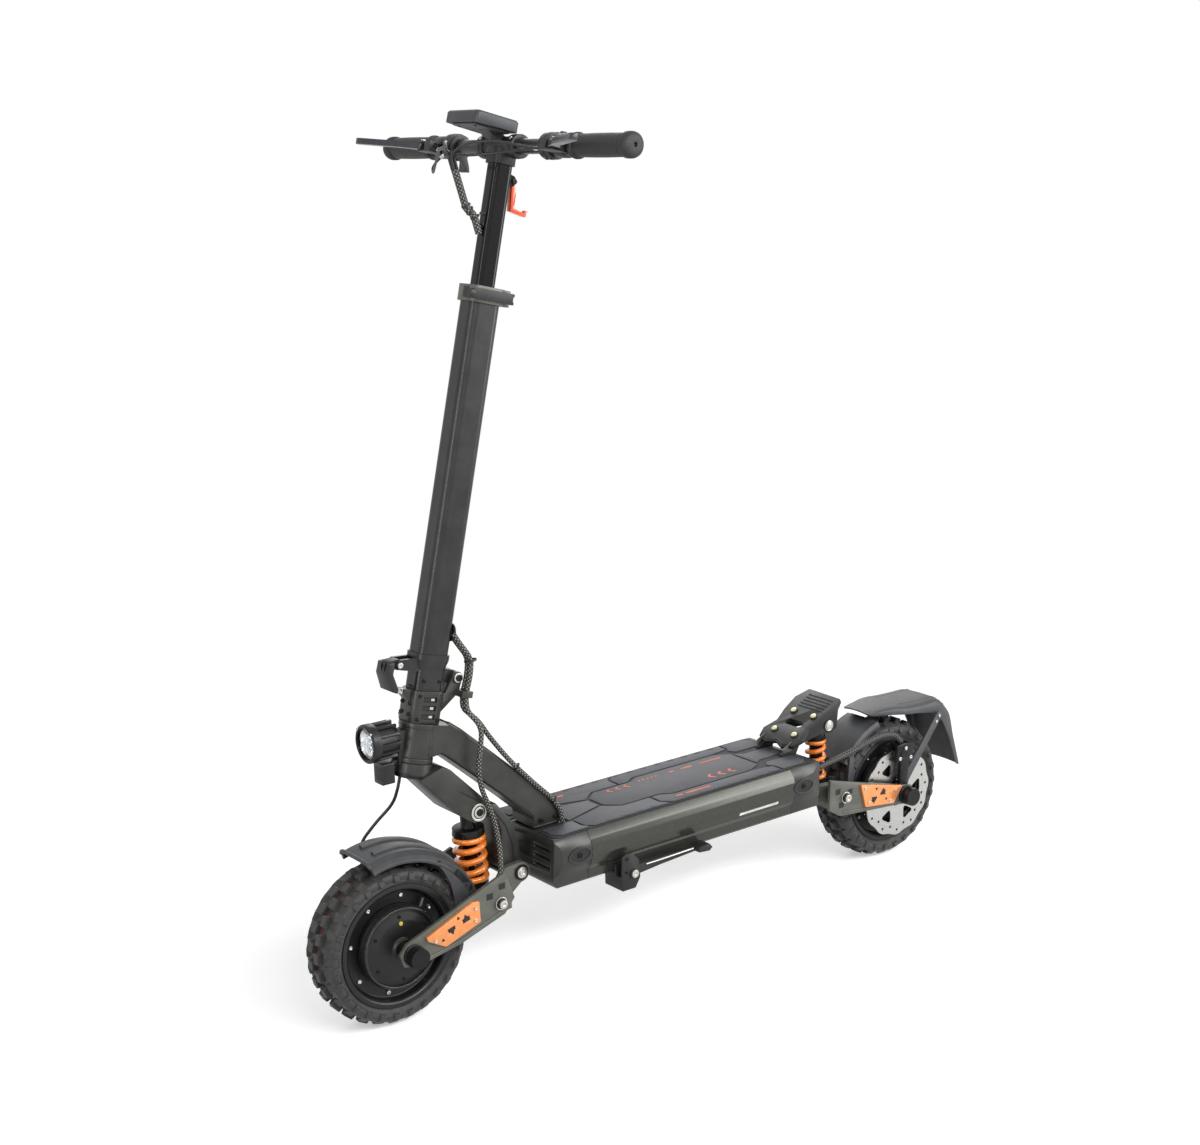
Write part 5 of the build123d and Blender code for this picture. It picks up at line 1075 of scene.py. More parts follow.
def knurled_ring(place, radius, low, high, notches=20):
    """A preload ring with notches for its spanner."""
    ring = lathe(rounded([(radius * 0.45, low), (radius, low), (radius, high), (radius * 0.45, high)],
            0.6 * MM, 2), place, steps=48)
    teeth = []
    for k in range(notches):
        turn = Matrix.Rotation(math.tau * k / notches, 4, "Z")
        teeth.append(block((1.4 * MM, radius * 0.14, (high - low) * 0.7), (radius, 0, (low + high) / 2),
                0.4 * MM, place @ turn, 1))
    return join([ring] + teeth)


class SCOOTER_OT_dampers(bpy.types.Operator):
    """Springs, preload rings, spring cups and rod boots of both dampers"""
    bl_idname = "scooter.dampers"
    bl_label = "Springs and dampers"

    def execute(self, context):
        f = finishes()
        for end, axle in (("front", FRONT_AXLE), ("rear", REAR_AXLE)):
            sizes = DAMPERS[end]
            top, low = side_point(axle, sizes["top"]), side_point(axle, sizes["low"])
            place, _ = along(top, low)
            upper, lower = sizes["seats"]
            spring = coil(place, upper, lower, *sizes["coil"])
            dress(end + "_coil", spring, f.spring, end + "_damper_body", "orange_spring", end + "_spring")
            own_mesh(spring)
            body, radius = end + "_damper_body", sizes["seat_r"]
            rings = [knurled_ring(place, radius * share, upper - start * MM, upper - stop * MM)
                     for share, start, stop in ((1.0, 5, 0), (0.94, 11, 6.4))]
            dress(end + "_preload_rings", rings, f.steel, body, "black_steel")
            cup = lathe(rounded([(6 * MM, lower + 0.1 * MM), (radius, lower + 0.1 * MM),
                    (radius, lower + 4.6 * MM), (9 * MM, lower + 9 * MM), (6 * MM, lower + 9 * MM)],
                    0.8 * MM, 3), place, steps=48)
            dress(end + "_spring_cup", cup, f.steel, end + "_damper_rod", "black_steel")
            bumper = lathe([(5.1 * MM, lower - 12 * MM), (8 * MM, lower - 11 * MM),
                    (9 * MM, lower - 7 * MM), (8 * MM, lower - 4 * MM), (9 * MM, lower - 1 * MM),
                    (5.1 * MM, lower)], place, steps=32)
            dress(end + "_bump_stop", bumper, f.plastic, end + "_damper_rod", "black_plastic")
        return {"FINISHED"}


# ---- arms: bolts and trim -----------------------------------------------------------------------
COVER_FACE = 80 * MM
COVER_SCREWS = {"front": ((-110, 172), (-109, 153), (-37, 140)), "rear": ((106, 165), (30, 145), (44, 128),
        (97, 137))}
ARM_WINDOWS = {"front": ((-162, 192), (-139, 181)), "rear": ((168, 172), (139, 166), (160, 146))}
COVER_CUTS = {"front": ((-92, 160, 8.5, 75), (-66, 150, 8.5, 255), (-78, 165, 3.6, 75),
        (-50, 138, 3.6, 75)), "rear": ((62, 148, 8.5, 100), (84, 140, 8.5, 280), (78, 158, 3.6, 280),
        (54, 134, 3.6, 100)),}
DAMPER_EYES = {"front": (-159, 165), "rear": (150, 158)}
PIVOT_FACE = {"front": 52 * MM, "rear": 53 * MM}


def washer(place, outer, inner, thick):
    return lathe(rounded([(inner, 0), (outer, 0), (outer, thick), (inner, thick)], thick * 0.3, 2), place,
            steps=40)


class SCOOTER_OT_arms(bpy.types.Operator):
    """Cover screws, damper and pivot bolts, and the raised rib on each arm plate"""
    bl_idname = "scooter.arms"
    bl_label = "Arm trim"

    def execute(self, context):
        f = finishes()
        for end, axle in (("front", FRONT_AXLE), ("rear", REAR_AXLE)):
            arm = end + "_arm"
            pivot = Vector(JOINTS[end + "_arm_swing"]["pos_m"])
            for side, word in ((1, "left"), (-1, "right")):
                spots = [side_point(axle, (x * MM, z * MM), side * COVER_FACE) for x, z in COVER_SCREWS[end]]
                bolt_set(f"{end}_cover_fixings_{word}", spots, 3.0 * MM, 1.8 * MM, side, f.zinc, arm,
                         "steel")
                x, z = DAMPER_EYES[end]
                eye = side_point(axle, (x * MM, z * MM), side * COVER_FACE)
                bolt_set(f"{end}_damper_nut_{word}", [eye], 7.0 * MM, 4 * MM, side, f.zinc, arm, "steel")
                ring = washer(Matrix.Translation(eye - Vector((0, side * 4.4 * MM, 0))) @ facing(side),
                        10.5 * MM, 8.2 * MM, 1.6 * MM)
                dress(f"{end}_damper_washer_{word}", ring, f.zinc, arm, "steel")
                place = Matrix.Translation(Vector((pivot.x, side * PIVOT_FACE[end], pivot.z))) @ facing(side)
                boss = washer(shift(pivot.x, side * 48 * MM, pivot.z) @ facing(side), 12.5 * MM, 9.2 * MM,
                        2.4 * MM)
                dress(f"{end}_pivot_ring_{word}", boss, f.steel, arm, "black_steel")
                cap = bolt_head(6 * MM, 2 * MM, place)
                dress(f"{end}_pivot_head_{word}", cap, f.zinc, {"front": "fork", "rear": "frame"}[end],
                      "steel")
                self.lip(f, end, axle, side, word)
                self.openings(f, end, axle, side, word)
        return {"FINISHED"}

    def openings(self, f, end, axle, side, word):
        """Black sheets painted as the shade in the arm plate's square openings and in the triangles cut in
        the coloured cover.
        """
        shade_floors = []
        for x, z in ARM_WINDOWS[end]:
            at = side_point(axle, (x * MM, z * MM), side * (ARM_FACE + 0.1 * MM))
            shade_floors.append(block((11.5 * MM, 10 * MM, 0.6 * MM), (0, 0, 0), 0.2 * MM,
                    Matrix.Translation(at) @ facing(side), 1))
        # The near-black sheets stand for the shade inside the openings: painted shade.
        dress(f"{end}_arm_windows_{word}", shade_floors, f.seal_and_shade, end + "_arm", "arm_coat")
        hole_shades = []
        for x, z, size, turn in COVER_CUTS[end]:
            corners = [(size * MM * math.cos(math.radians(turn + 120 * k)),
                        size * MM * math.sin(math.radians(turn + 120 * k))) for k in range(3)]
            outline = rounded([(axle.x + x * MM + a, z * MM + b) for a, b in corners], 0.6 * MM, 2)
            hole_shades.append(side_plate(outline, side * COVER_FACE, side * (COVER_FACE + 0.35 * MM)))
        # Near-black triangles on the cover's face: painted shade for its holes.
        dress(f"{end}_cover_cuts_{word}", hole_shades, f.seal_and_shade, end + "_arm", "orange_anodised")

    def lip(self, f, end, axle, side, word):
        """Raised lip along the lower edge of the arm plate."""
        points = {"front": ((-160, 152), (-86, 127), (-20, 114), (8, 117)),
                  "rear": ((12, 117), (60, 121), (156, 132))}[end]
        path = [side_point(axle, (x * MM, z * MM), side * (ARM_FACE + 0.3 * MM)) for x, z in points]
        dress(f"{end}_arm_lip_{word}", tube_along(path, 1.3 * MM, 8), f.arm, end + "_arm", "arm_coat")


# ---- fenders ------------------------------------------------------------------------------------
FENDER_R, FENDER_HALF = 150 * MM, 46 * MM
GUARD_TOP = [(52, 150), (0, 154), (-50, 149), (-92, 148), (-118, 150), (-147, 116), (-153, 78), (-171, 12)]
GUARD_SKIRT = [(44, 146), (0, 142), (-50, 136), (-90, 129), (-106, 124), (-124, 102), (-138, 74), (-160, 14)]


def swept(outline, axle, start, end, steps=28):
    """A closed outline (radius, y) carried round the wheel's axis; angles count from forward over the top."""
    turn = math.radians(start)
    ray = Vector((math.cos(turn), 0, math.sin(turn)))
    corners = [axle + ray * r + Vector((0, y, 0)) for r, y in outline]
    piece = from_points(corners, [], [range(len(corners))])
    return smooth(spun(piece, steps, math.radians(end - start), axle, (0, 1, 0)))


def draped(rows, thick):
    """A shell through rows of points, thickened both ways and subdivided once."""
    count = len(rows[0])
    faces = [(r * count + k, r * count + k + 1, (r + 1) * count + k + 1, (r + 1) * count + k)
             for r in range(len(rows) - 1) for k in range(count - 1)]
    piece = from_points([p for row in rows for p in row], [], faces)
    modify(piece, "SOLIDIFY", thickness=thick, offset=0.0, use_even_offset=True)
    edit(piece, lambda: bpy.ops.mesh.normals_make_consistent(inside=False))
    modify(piece, "BEVEL", width=0.3 * thick, segments=2, limit_method="ANGLE", angle_limit=math.radians(60))
    modify(piece, "SUBSURF", levels=1)
    return smooth(piece, 50)


def resampled(points, count):
    """Evenly spaced points along a path."""
    lengths = [0.0]
    for a, b in zip(points, points[1:]):
        lengths.append(lengths[-1] + (b - a).length)
    made = []
    for k in range(count):
        reach = lengths[-1] * k / (count - 1)
        spot = max(j for j, run in enumerate(lengths) if run <= reach + 1e-9)
        spot = min(spot, len(points) - 2)
        share = (reach - lengths[spot]) / (lengths[spot + 1] - lengths[spot])
        made.append(points[spot].lerp(points[spot + 1], share))
    return made


def open_round(points, radius):
    """An open side-view path in metres with its inner corners rounded."""
    ends = (0, len(points) - 1)
    return rounded([(x * MM, z * MM, 0 if k in ends else radius) for k, (x, z) in enumerate(points)], 0, 6)


class SCOOTER_OT_fenders(bpy.types.Operator):
    """Front mudguard's ribs, lip and wings; rear mudguard's draped shell, stays and hugger"""
    bl_idname = "scooter.fenders"
    bl_label = "Mudguards"

    def execute(self, context):
        f = finishes()
        ribs = []
        for y in (-17 * MM, 17 * MM):
            outline = rounded([(FENDER_R - MM, y - 5 * MM), (FENDER_R + 4.6 * MM, y - 3.5 * MM),
                    (FENDER_R + 4.6 * MM, y + 3.5 * MM), (FENDER_R - MM, y + 5 * MM)], 1 * MM, 2)
            ribs.append(swept(outline, FRONT_AXLE, 80, 138))
        dress("front_fender_ribs", ribs, f.fender, "front_arm", "fender_plastic")
        self.front_edges(f)
        self.rear_shell(f)
        self.rear_stays(f)
        return {"FINISHED"}

    def front_edges(self, f):
        """Rolled side edges, the thick front lip and the wings that spread down to the arm."""
        pieces = []
        for side in (-1, 1):
            outline = rounded([(FENDER_R - 16 * MM, side * (FENDER_HALF - 3.5 * MM)),
                    (FENDER_R - 16 * MM, side * (FENDER_HALF + 0.6 * MM)),
                    (FENDER_R - 12 * MM, side * (FENDER_HALF + 0.6 * MM)),
                    (FENDER_R - 12 * MM, side * (FENDER_HALF - 3.5 * MM))], 1.2 * MM, 3)
            pieces.append(swept(outline, FRONT_AXLE, 72, 132))
            wing = [(reach * math.cos(math.radians(turn)), reach * math.sin(math.radians(turn)))
                    for reach, turn in ((137, 118), (128, 128), (119, 139), (110, 149), (104, 158),
                    (112, 166), (147, 165), (147, 150), (146, 134), (142, 120))]
            shape = rounded([(FRONT_AXLE.x + x * MM, FRONT_AXLE.z + z * MM) for x, z in wing], 3 * MM, 3)
            pieces.append(side_plate(shape, side * (FENDER_HALF - 3 * MM), side * FENDER_HALF,
                    edge=0.8 * MM))
        turn = math.radians(72)
        front = [FRONT_AXLE + Vector((reach * MM * math.cos(turn), y * MM, reach * MM * math.sin(turn)))
                 for reach, y in ((145, -43), (149, -40), (151, -34), (152, -20), (152, 20), (151, 34),
                (149, 40), (145, 43))]
        pieces.append(tube_along(front, 3.2 * MM, 12))
        dress("front_fender_edges", pieces, f.fender, "front_arm", "fender_plastic")

    def rear_shell(self, f):
        """The rear guard: narrow nose, crowned top, turned-down sides and tail."""
        outer = resampled(open_round(GUARD_TOP, 26 * MM), 30)
        skirt = resampled(open_round(GUARD_SKIRT, 22 * MM), 30)
        rows = []
        for k, (high, low) in enumerate(zip(outer, skirt)):
            wide = min(1.0, 0.62 + 0.055 * k)
            row = []
            for share, y, crown in ((1.0, 50, 0), (0.55, 50, 0), (0.16, 48.4, 0), (0.02, 42, 0.2),
                    (0, 30, 1.2), (0, 12, 2.2)):
                at = high.lerp(low, share)
                row.append(REAR_AXLE + Vector((at.x, y * wide * MM, at.y + crown * MM)))
            mirror = [Vector((p.x, -p.y, p.z)) for p in reversed(row)]
            rows.append(row + mirror)
        dress("rear_fender_shell", draped(rows, 2.6 * MM), f.fender, "rear_arm", "fender_plastic",
              "rear_fender")
        pieces = []
        for side in (-1, 1):
            for step, (x, z) in enumerate(((-130, 128), (-142, 104), (-151, 78))):
                fin = rounded([(0, -7 * MM), (9 * MM, -2 * MM), (0, 7 * MM)], 0.6 * MM, 2)
                spot = REAR_AXLE + Vector(((x - 2) * MM, side * 34 * MM + 2 * MM, z * MM))
                stand = Matrix.Translation(spot) @ turned(180 + 24 - 10 * step, "Y") @ ACROSS
                pieces.append(plate(fin, 4 * MM, place=stand, edge=0.5 * MM))
            pieces.append(tube_along([REAR_AXLE + Vector((p.x, side * 30 * MM, p.y + 1.4 * MM))
                    for p in outer[7:24]], 1.5 * MM, 8))
        dress("rear_fender_trim", pieces, f.fender, "rear_arm", "fender_plastic")

    def rear_stays(self, f):
        """Two stays from the axle to the guard, and the hugger between the tyre and the damper."""
        turn = math.radians(130)
        stays = []
        for side, word in ((1, "left"), (-1, "right")):
            eye = circle(19 * MM, 24, 4, 21)
            bar = rounded([(x, z, 0) for x, z in eye] + [(30 * MM, -7.5 * MM, 8 * MM),
                    (168 * MM, -7 * MM, 5 * MM), (168 * MM, 7 * MM, 5 * MM), (30 * MM, 7.5 * MM, 8 * MM)],
                    0, 4)
            stay = plate(bar, 3 * MM, holes=[circle(7 * MM, 20)], edge=0.6 * MM)
            near = min(side * 56.5 * MM, side * 59.5 * MM)
            stays.append(put(stay, Matrix.Translation(REAR_AXLE + Vector((0, near + 3 * MM, 0)))
                    @ Matrix.Rotation(-turn, 4, "Y") @ ACROSS))
            foot = Vector((158 * MM * math.cos(turn), 0, 158 * MM * math.sin(turn)))
            stays.append(rod(6 * MM, REAR_AXLE + foot + Vector((0, side * 48 * MM, 0)),
                    REAR_AXLE + foot + Vector((0, side * 57 * MM, 0)), edge=0.5 * MM))
            spots = [REAR_AXLE + Vector((reach * math.cos(turn), side * 59.4 * MM, reach * math.sin(turn)))
                     for reach in (160 * MM, 148 * MM)]
            bolt_set(f"rear_stay_bolts_{word}", spots, 3 * MM, 2 * MM, side, f.zinc, "rear_arm", "steel")
        dress("rear_fender_stays", stays, f.fender, "rear_arm", "fender_plastic")
        arch = [(129, 42), (134, 42), (139, 38), (140.5, 26), (141, 0), (140.5, -26), (139, -38),
                (134, -42), (129, -42), (129, -39.4), (134, -39.2), (137, -36), (138, -24), (138, 24),
                (137, 36), (134, 39.2), (129, 39.4)]
        hugger = [swept([(r * MM, y * MM) for r, y in arch], REAR_AXLE, 33, 76)]
        for side in (-1, 1):
            tab = rounded([(118, 26), (104, 26), (98, 84), (110, 90)], 3, 3)
            shape = [(REAR_AXLE.x + p.x * MM, REAR_AXLE.z + p.y * MM) for p in tab]
            hugger.append(side_plate(shape, side * 40.5 * MM, side * FENDER_HALF, edge=0.8 * MM))
        dress("rear_hugger", hugger, f.fender, "rear_arm", "fender_plastic")


# ---- deck ---------------------------------------------------------------------------------------
MAT_LOW, MAT_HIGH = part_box("deck_mat")
DECK_LOW, DECK_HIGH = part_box("deck_shell")
MAT_BASE = 1.4 * MM
NECK_NOTCH_X = FRONT_AXLE.x - 316 * MM
NECK_ROOM_RIGHT, NECK_ROOM_LEFT = -31 * MM, 39 * MM
# Slots where the footrest's side plates stand: their middle, half width and inner end.
LEG_Y, LEG_ROOM, LEG_SLOT_X = 30 * MM, 4 * MM, REAR_AXLE.x + 262.5 * MM


def mat_outline(inset=0.0):
    """The mat's plan, with a notch round the neck's foot and the loom, and two leg slots."""
    x0, x1, y1 = MAT_LOW.x + inset, MAT_HIGH.x - inset, MAT_HIGH.y - inset
    slots = []
    for y in (LEG_Y, -LEG_Y):
        slots += [(x0, y + LEG_ROOM, 0), (LEG_SLOT_X, y + LEG_ROOM, 0), (LEG_SLOT_X, y - LEG_ROOM, 0),
                  (x0, y - LEG_ROOM, 0)]
    return rounded([(x0, -y1, 12 * MM), (x1, -y1, 12 * MM), (x1, NECK_ROOM_RIGHT - inset, 2 * MM),
            (NECK_NOTCH_X - inset, NECK_ROOM_RIGHT - inset, 3 * MM),
            (NECK_NOTCH_X - inset, NECK_ROOM_LEFT + inset, 3 * MM), (x1, NECK_ROOM_LEFT + inset, 2 * MM),
            (x1, y1, 12 * MM), (x0, y1, 12 * MM), *slots], 4 * MM, 6)


# Tread panels of the mat, given in mm from the deck's middle; the gaps between them are the grooves, where
# the near-black base is painted shade.
CENTRE_PANEL = [(-178, -36), (-150, -50), (22, -50), (40, -38), (118, -38), (140, -18), (140, 18),
        (118, 38), (40, 38), (22, 50), (-150, 50), (-178, 36)]
EDGE_PANELS = [[(-190, 82), (-190, 60), (-152, 54), (24, 54), (42, 42), (60, 42), (60, 66), (46, 82)],
        [(64, 42), (120, 42), (146, 20), (218, 42), (218, 70), (206, 82), (52, 82), (64, 68)],
        [(-255, 38), (-196, 38), (-186, 50), (-194, 62), (-194, 82), (-243, 82), (-255, 70)],
        [(222, 44), (281, 44), (281, 70), (269, 82), (211, 82), (222, 71)],]
NOSE_PANEL = [(147, -15), (147, 15), (223, 38), (223, -28)]
TAIL_PANEL = [(-258, -20), (-258, 20), (-196, 20), (-182, 32), (-182, -32), (-196, -20)]
TABS = (-170, -140, -110, -80, -50, -20, 10, 40, 84, 114, 144, 174)


def panel(points, mirror_y=False):
    shape = [(x * MM, (-y if mirror_y else y) * MM) for x, y in points]
    place = shift(0, 0, MAT_LOW.z + MAT_BASE)
    return plate(rounded(shape, 3 * MM, 3), MAT_HIGH.z - MAT_LOW.z - MAT_BASE, edge=0.5 * MM, place=place)


class SCOOTER_OT_mat(bpy.types.Operator):
    """Grooved mat: a thin base in a darker colour that is painted shade for the grooves, raised tread panels,
    edge tabs and printed motifs
    """
    bl_idname = "scooter.mat"
    bl_label = "Deck mat"

    def execute(self, context):
        f = finishes()
        # The base shows between the panels; its near-black colour is painted shade in the grooves.
        base = plate(mat_outline(), MAT_BASE, edge=0.3 * MM, place=shift(0, 0, MAT_LOW.z), segments=1)
        dress("mat_base", base, f.groove, "frame", "mat_rubber", "deck_mat")
        panels = [panel(CENTRE_PANEL), panel(NOSE_PANEL), panel(TAIL_PANEL)]
        for mirrored_side in (False, True):
            panels += [panel(shape, mirrored_side) for shape in EDGE_PANELS]
        dress("mat_panels", panels, f.mat, "frame", "mat_rubber")
        tabs = []
        for side in (-1, 1):
            for x in TABS:
                tabs.append(block((11 * MM, 4 * MM, 0.8 * MM), (x * MM, side * 78 * MM,
                        MAT_HIGH.z + 0.2 * MM), 0.3 * MM, segments=1))
        dress("mat_tabs", tabs, f.mat, "frame", "mat_rubber")
        self.motifs(f)
        return {"FINISHED"}

    def motifs(self, f):
        """Printed slashes, chevrons and dots in the accent colour."""
        marks = []
        lift = shift(0, 0, MAT_HIGH.z)
        for x, y, size in ((-120, 30, 1.0), (-98, 30, 1.0), (-76, 30, 1.0), (96, -26, 0.8), (78, -26, 0.8),
                (60, -26, 0.8)):
            chevron = [(-9, -8), (-3, -8), (4, 0), (-3, 8), (-9, 8), (-2, 0)]
            marks.append(plate([((x + size * a) * MM, (y + size * b) * MM) for a, b in chevron], 0.25 * MM,
                    place=lift))
        for x, y, length in ((-130, -32, 46), (-76, -32, 24), (-44, -32, 10), (180, -60, 34), (206, -60, 8),
                (-20, 66, 52), (20, 66, 14)):
            marks.append(block((length * MM, 4.4 * MM, 0.25 * MM),
                    (x * MM, y * MM, MAT_HIGH.z + 0.12 * MM)))
        for k in range(5):
            marks.append(block((4 * MM, 4 * MM, 0.25 * MM), ((-10 + 9 * k) * MM, -32 * MM,
                    MAT_HIGH.z + 0.12 * MM)))
        dress("mat_motifs", marks, f.mark, "frame", "mat_rubber")


DECK_HALF_SECTION = [(88, 246, 2), (97, 234, 12), (100, 224, 14), (100, 206, 14), (94, 190, 14),
        (88, 182, 8), (87, 168, 3), (84, 164, 2)]
DECK_WALL, LOWER_SIDE_TILT = 4 * MM, math.radians(20.6)
DECK_SIDE, CAP_FRONT_X, CAP_REAR_X = 100 * MM, FRONT_AXLE.x - 249 * MM, REAR_AXLE.x + 227 * MM


def eye_recess(place):
    """An almond-shaped boss with a sunk middle, where a cap bolt sits; the middle is a near-black sheet
    painted as its shade.
    """
    def almond(half_long, half_high):
        top = [(half_long * math.cos(math.pi * k / 16), half_high * math.sin(math.pi * k / 16) ** 1.25)
               for k in range(17)]
        return top + [(x, -y) for x, y in reversed(top[1:-1])]
    long, high = 46 * MM, 27 * MM
    rim = plate(almond(long / 2, high / 2), 1.6 * MM, holes=[almond(long / 2 - 3.4 * MM,
            high / 2 - 3.2 * MM)], edge=0.5 * MM, place=place)
    # The near-black floor is painted shade in the recess.
    floor = plate(almond(long / 2 - 3 * MM, high / 2 - 3 * MM), 0.5 * MM, place=place)
    return rim, floor


class SCOOTER_OT_deck(bpy.types.Operator):
    """Side strips, cap bolts, seams and louvre blades of the deck"""
    bl_idname = "scooter.deck"
    bl_label = "Deck trim"

    def execute(self, context):
        f = finishes()
        for side, word in ((1, "left"), (-1, "right")):
            strip = block((86 * MM, 5 * MM, 0.5 * MM), (0, 0, 0), 0.15 * MM,
                    shift(-126 * MM, side * 97 * MM, 198 * MM) @ facing(side)
                    @ Matrix.Rotation(-side * LOWER_SIDE_TILT, 4, "X"), 1)
            dress(f"deck_strip_{word}", strip, f.strip, "frame", "frame_coat")
            for end, x in (("front", CAP_FRONT_X - 44 * MM), ("rear", CAP_REAR_X + 46 * MM)):
                place = shift(x, side * DECK_SIDE, 215 * MM) @ facing(side)
                rim, floor = eye_recess(place)
                dress(f"{end}_cap_eye_{word}_rim", rim, f.coat, "frame", "cast_black")
                # The eye's floor in near black: painted shade.
                dress(f"{end}_cap_eye_{word}_floor", floor, f.seal_and_shade, "frame", "cast_black")
                bolt_set(f"{end}_cap_bolt_{word}", [Vector((x, side * DECK_SIDE, 215 * MM))], 4.6 * MM,
                         2.2 * MM, side, f.steel, "frame", "black_steel")
            self.louvres(f, side, word)
        self.shell(f)
        seams = []
        for x in (DECK_LOW.x, DECK_HIGH.x):
            seams.append(block((1.2 * MM, 2 * DECK_SIDE + 0.6 * MM, 14 * MM), (x, 0, 215 * MM), 0.3 * MM,
                    segments=1))
        dress("deck_seams", seams, f.seal_and_shade, "frame", "cast_black")
        return {"FINISHED"}

    def shell(self, f):
        """The extruded deck with a rolled, continuous side, open at both ends."""
        half = [(y * MM, z * MM, size * MM) for y, z, size in DECK_HALF_SECTION]
        loop = rounded(half + [(-y, z, size) for y, z, size in reversed(half)], 0, 6)
        middle = (DECK_LOW.z + DECK_HIGH.z) / 2
        room = [(p.x - math.copysign(DECK_WALL, p.x), p.y + (DECK_WALL if p.y < middle
                else -DECK_WALL) * min(1, abs(p.y - middle) / (34 * MM))) for p in loop]
        along_x = Matrix(((0, 0, 1, DECK_LOW.x), (1, 0, 0, 0), (0, 1, 0, 0), (0, 0, 0, 1)))
        shell = plate(loop, DECK_HIGH.x - DECK_LOW.x, holes=[room], place=along_x)
        smooth(shell, 30)
        dress("deck_shell_rolled", shell, f.deck, "frame", "frame_coat", "deck_shell")

    def louvres(self, f, side, word):
        """Blades across the front cap's openings, and their corner screws."""
        blades = []
        for row in range(3):
            place = shift(CAP_FRONT_X - 3 * MM, side * 58 * MM, (203 + 14 * row) * MM) @ turned(28, "Y")
            blades.append(block((7 * MM, 44 * MM, 1.6 * MM), (0, 0, 0), 0.6 * MM, place))
        dress(f"front_louvres_{word}", blades, f.black, "frame", "cast_black")
        heads = [bolt_head(2.6 * MM, 1.6 * MM, shift(CAP_FRONT_X - 2.2 * MM, side * y * MM, 188 * MM)
                @ turned(90, "Y")) for y in (38, 78)]
        dress(f"front_cap_screws_{word}", heads, f.steel, "frame", "black_steel")


# ---- footrest -----------------------------------------------------------------------------------
REST_SLOPE = math.radians(27)
REST_BOLTS = ((-2, 25), (-2, -25), (-54, 25), (-54, -25))


class SCOOTER_OT_footrest(bpy.types.Operator):
    """Footrest plate, its bolts, ribs and side plate bushes"""
    bl_idname = "scooter.footrest"
    bl_label = "Footrest"

    def execute(self, context):
        f = finishes()
        place = shift(REAR_AXLE.x + 226 * MM, 0, 275 * MM) @ Matrix.Rotation(REST_SLOPE, 4, "Y")
        heads = [bolt_head(5.4 * MM, 3.4 * MM, place @ shift(x * MM, y * MM, 0)) for x, y in REST_BOLTS]
        dress("footrest_bolts", heads, f.gold, "frame", "steel")
        washers = [washer(place @ shift(x * MM, y * MM, 0), 7.4 * MM, 4 * MM, 0.9 * MM)
                   for x, y in REST_BOLTS]
        dress("footrest_washers", washers, f.steel, "frame", "black_steel")
        ribs = []
        for k in range(5):
            ribs.append(block((2.4 * MM, 60 * MM, 1.2 * MM), (0, 0, 0), 0.5 * MM,
                    place @ shift((-70 - 7.5 * k) * MM, 0, 0.3 * MM), 1))
        ribs.append(tube_along([place @ Vector((x * MM, y * MM, 0.2 * MM))
                for x, y in ((20, -30), (24, -20), (17, 0), (24, 20), (20, 30))], 1.2 * MM, 8))
        dress("footrest_ribs", ribs, f.black, "frame", "cast_black")
        plates = cad_copy("footrest", 0.9 * MM)
        dress("footrest_shaped", plates, f.black, "frame", "cast_black", "footrest")
        for side, word in ((1, "left"), (-1, "right")):
            panel_shape = rounded([(-262 * MM + 4 * MM, 253 * MM), (-238 * MM, 253 * MM),
                    (-240 * MM, 262 * MM), (-262 * MM, 272 * MM)], 3 * MM, 3)
            shape = side_plate(panel_shape, side * 33.4 * MM, side * 34.3 * MM, edge=0.3 * MM)
            dress(f"footrest_panel_{word}", shape, f.arm, "frame", "arm_coat")
            bush = Vector((REAR_AXLE.x + 151 * MM, side * 37.5 * MM, 280 * MM))
            ring = washer(Matrix.Translation(bush - Vector((0, side * 4 * MM, 0))) @ facing(side), 9.5 * MM,
                    7.2 * MM, 3 * MM)
            dress(f"footrest_bush_{word}", ring, f.zinc, "frame", "steel")
        return {"FINISHED"}


# ---- kickstand ----------------------------------------------------------------------------------
class SCOOTER_OT_kickstand(bpy.types.Operator):
    """Bolt head, plate screws and rib of the side stand"""
    bl_idname = "scooter.kickstand"
    bl_label = "Side stand"

    def execute(self, context):
        f = finishes()
        pivot = Vector(JOINTS["kickstand_swing"]["pos_m"])
        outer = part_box("kickstand_bracket")[1].y
        bolt_set("stand_bolt_head", [Vector((pivot.x, outer, pivot.z))], 6.5 * MM, 2 * MM, 1, f.zinc,
                 "frame", "steel")
        bolt_set("stand_plate_screws", [Vector((pivot.x + x * MM, outer - 4 * MM, pivot.z + z * MM))
                for x, z in ((12, 26), (14, 4))], 2.6 * MM, 1.6 * MM, 1, f.steel, "frame", "black_steel")
        leg_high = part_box("kickstand")[1]
        path = [Vector((pivot.x + x * MM, leg_high.y - 10.6 * MM, pivot.z + z * MM))
                for x, z in ((-30, 5.5), (-70, 5.6), (-128, 6.5))]
        dress("stand_rib", tube_along(path, 1.4 * MM, 8), f.zinc, "kickstand", "steel")
        return {"FINISHED"}


# ---- steering head, fork and fold ---------------------------------------------------------------
HEAD_R = 28.5 * MM
FOLD_SEAM, FOLD_HALF_X, FOLD_HALF_Y = 106.8 * MM, 27 * MM, 23 * MM
CROWN_R = 30 * MM
LATCH_AT = (56 * MM, 0, 143 * MM)
FOLD_PIN = (-44.3 * MM, 129.4 * MM)


def on_steer(*spot):
    """The steering frame, moved to a spot in it."""
    return STEER @ shift(*spot)


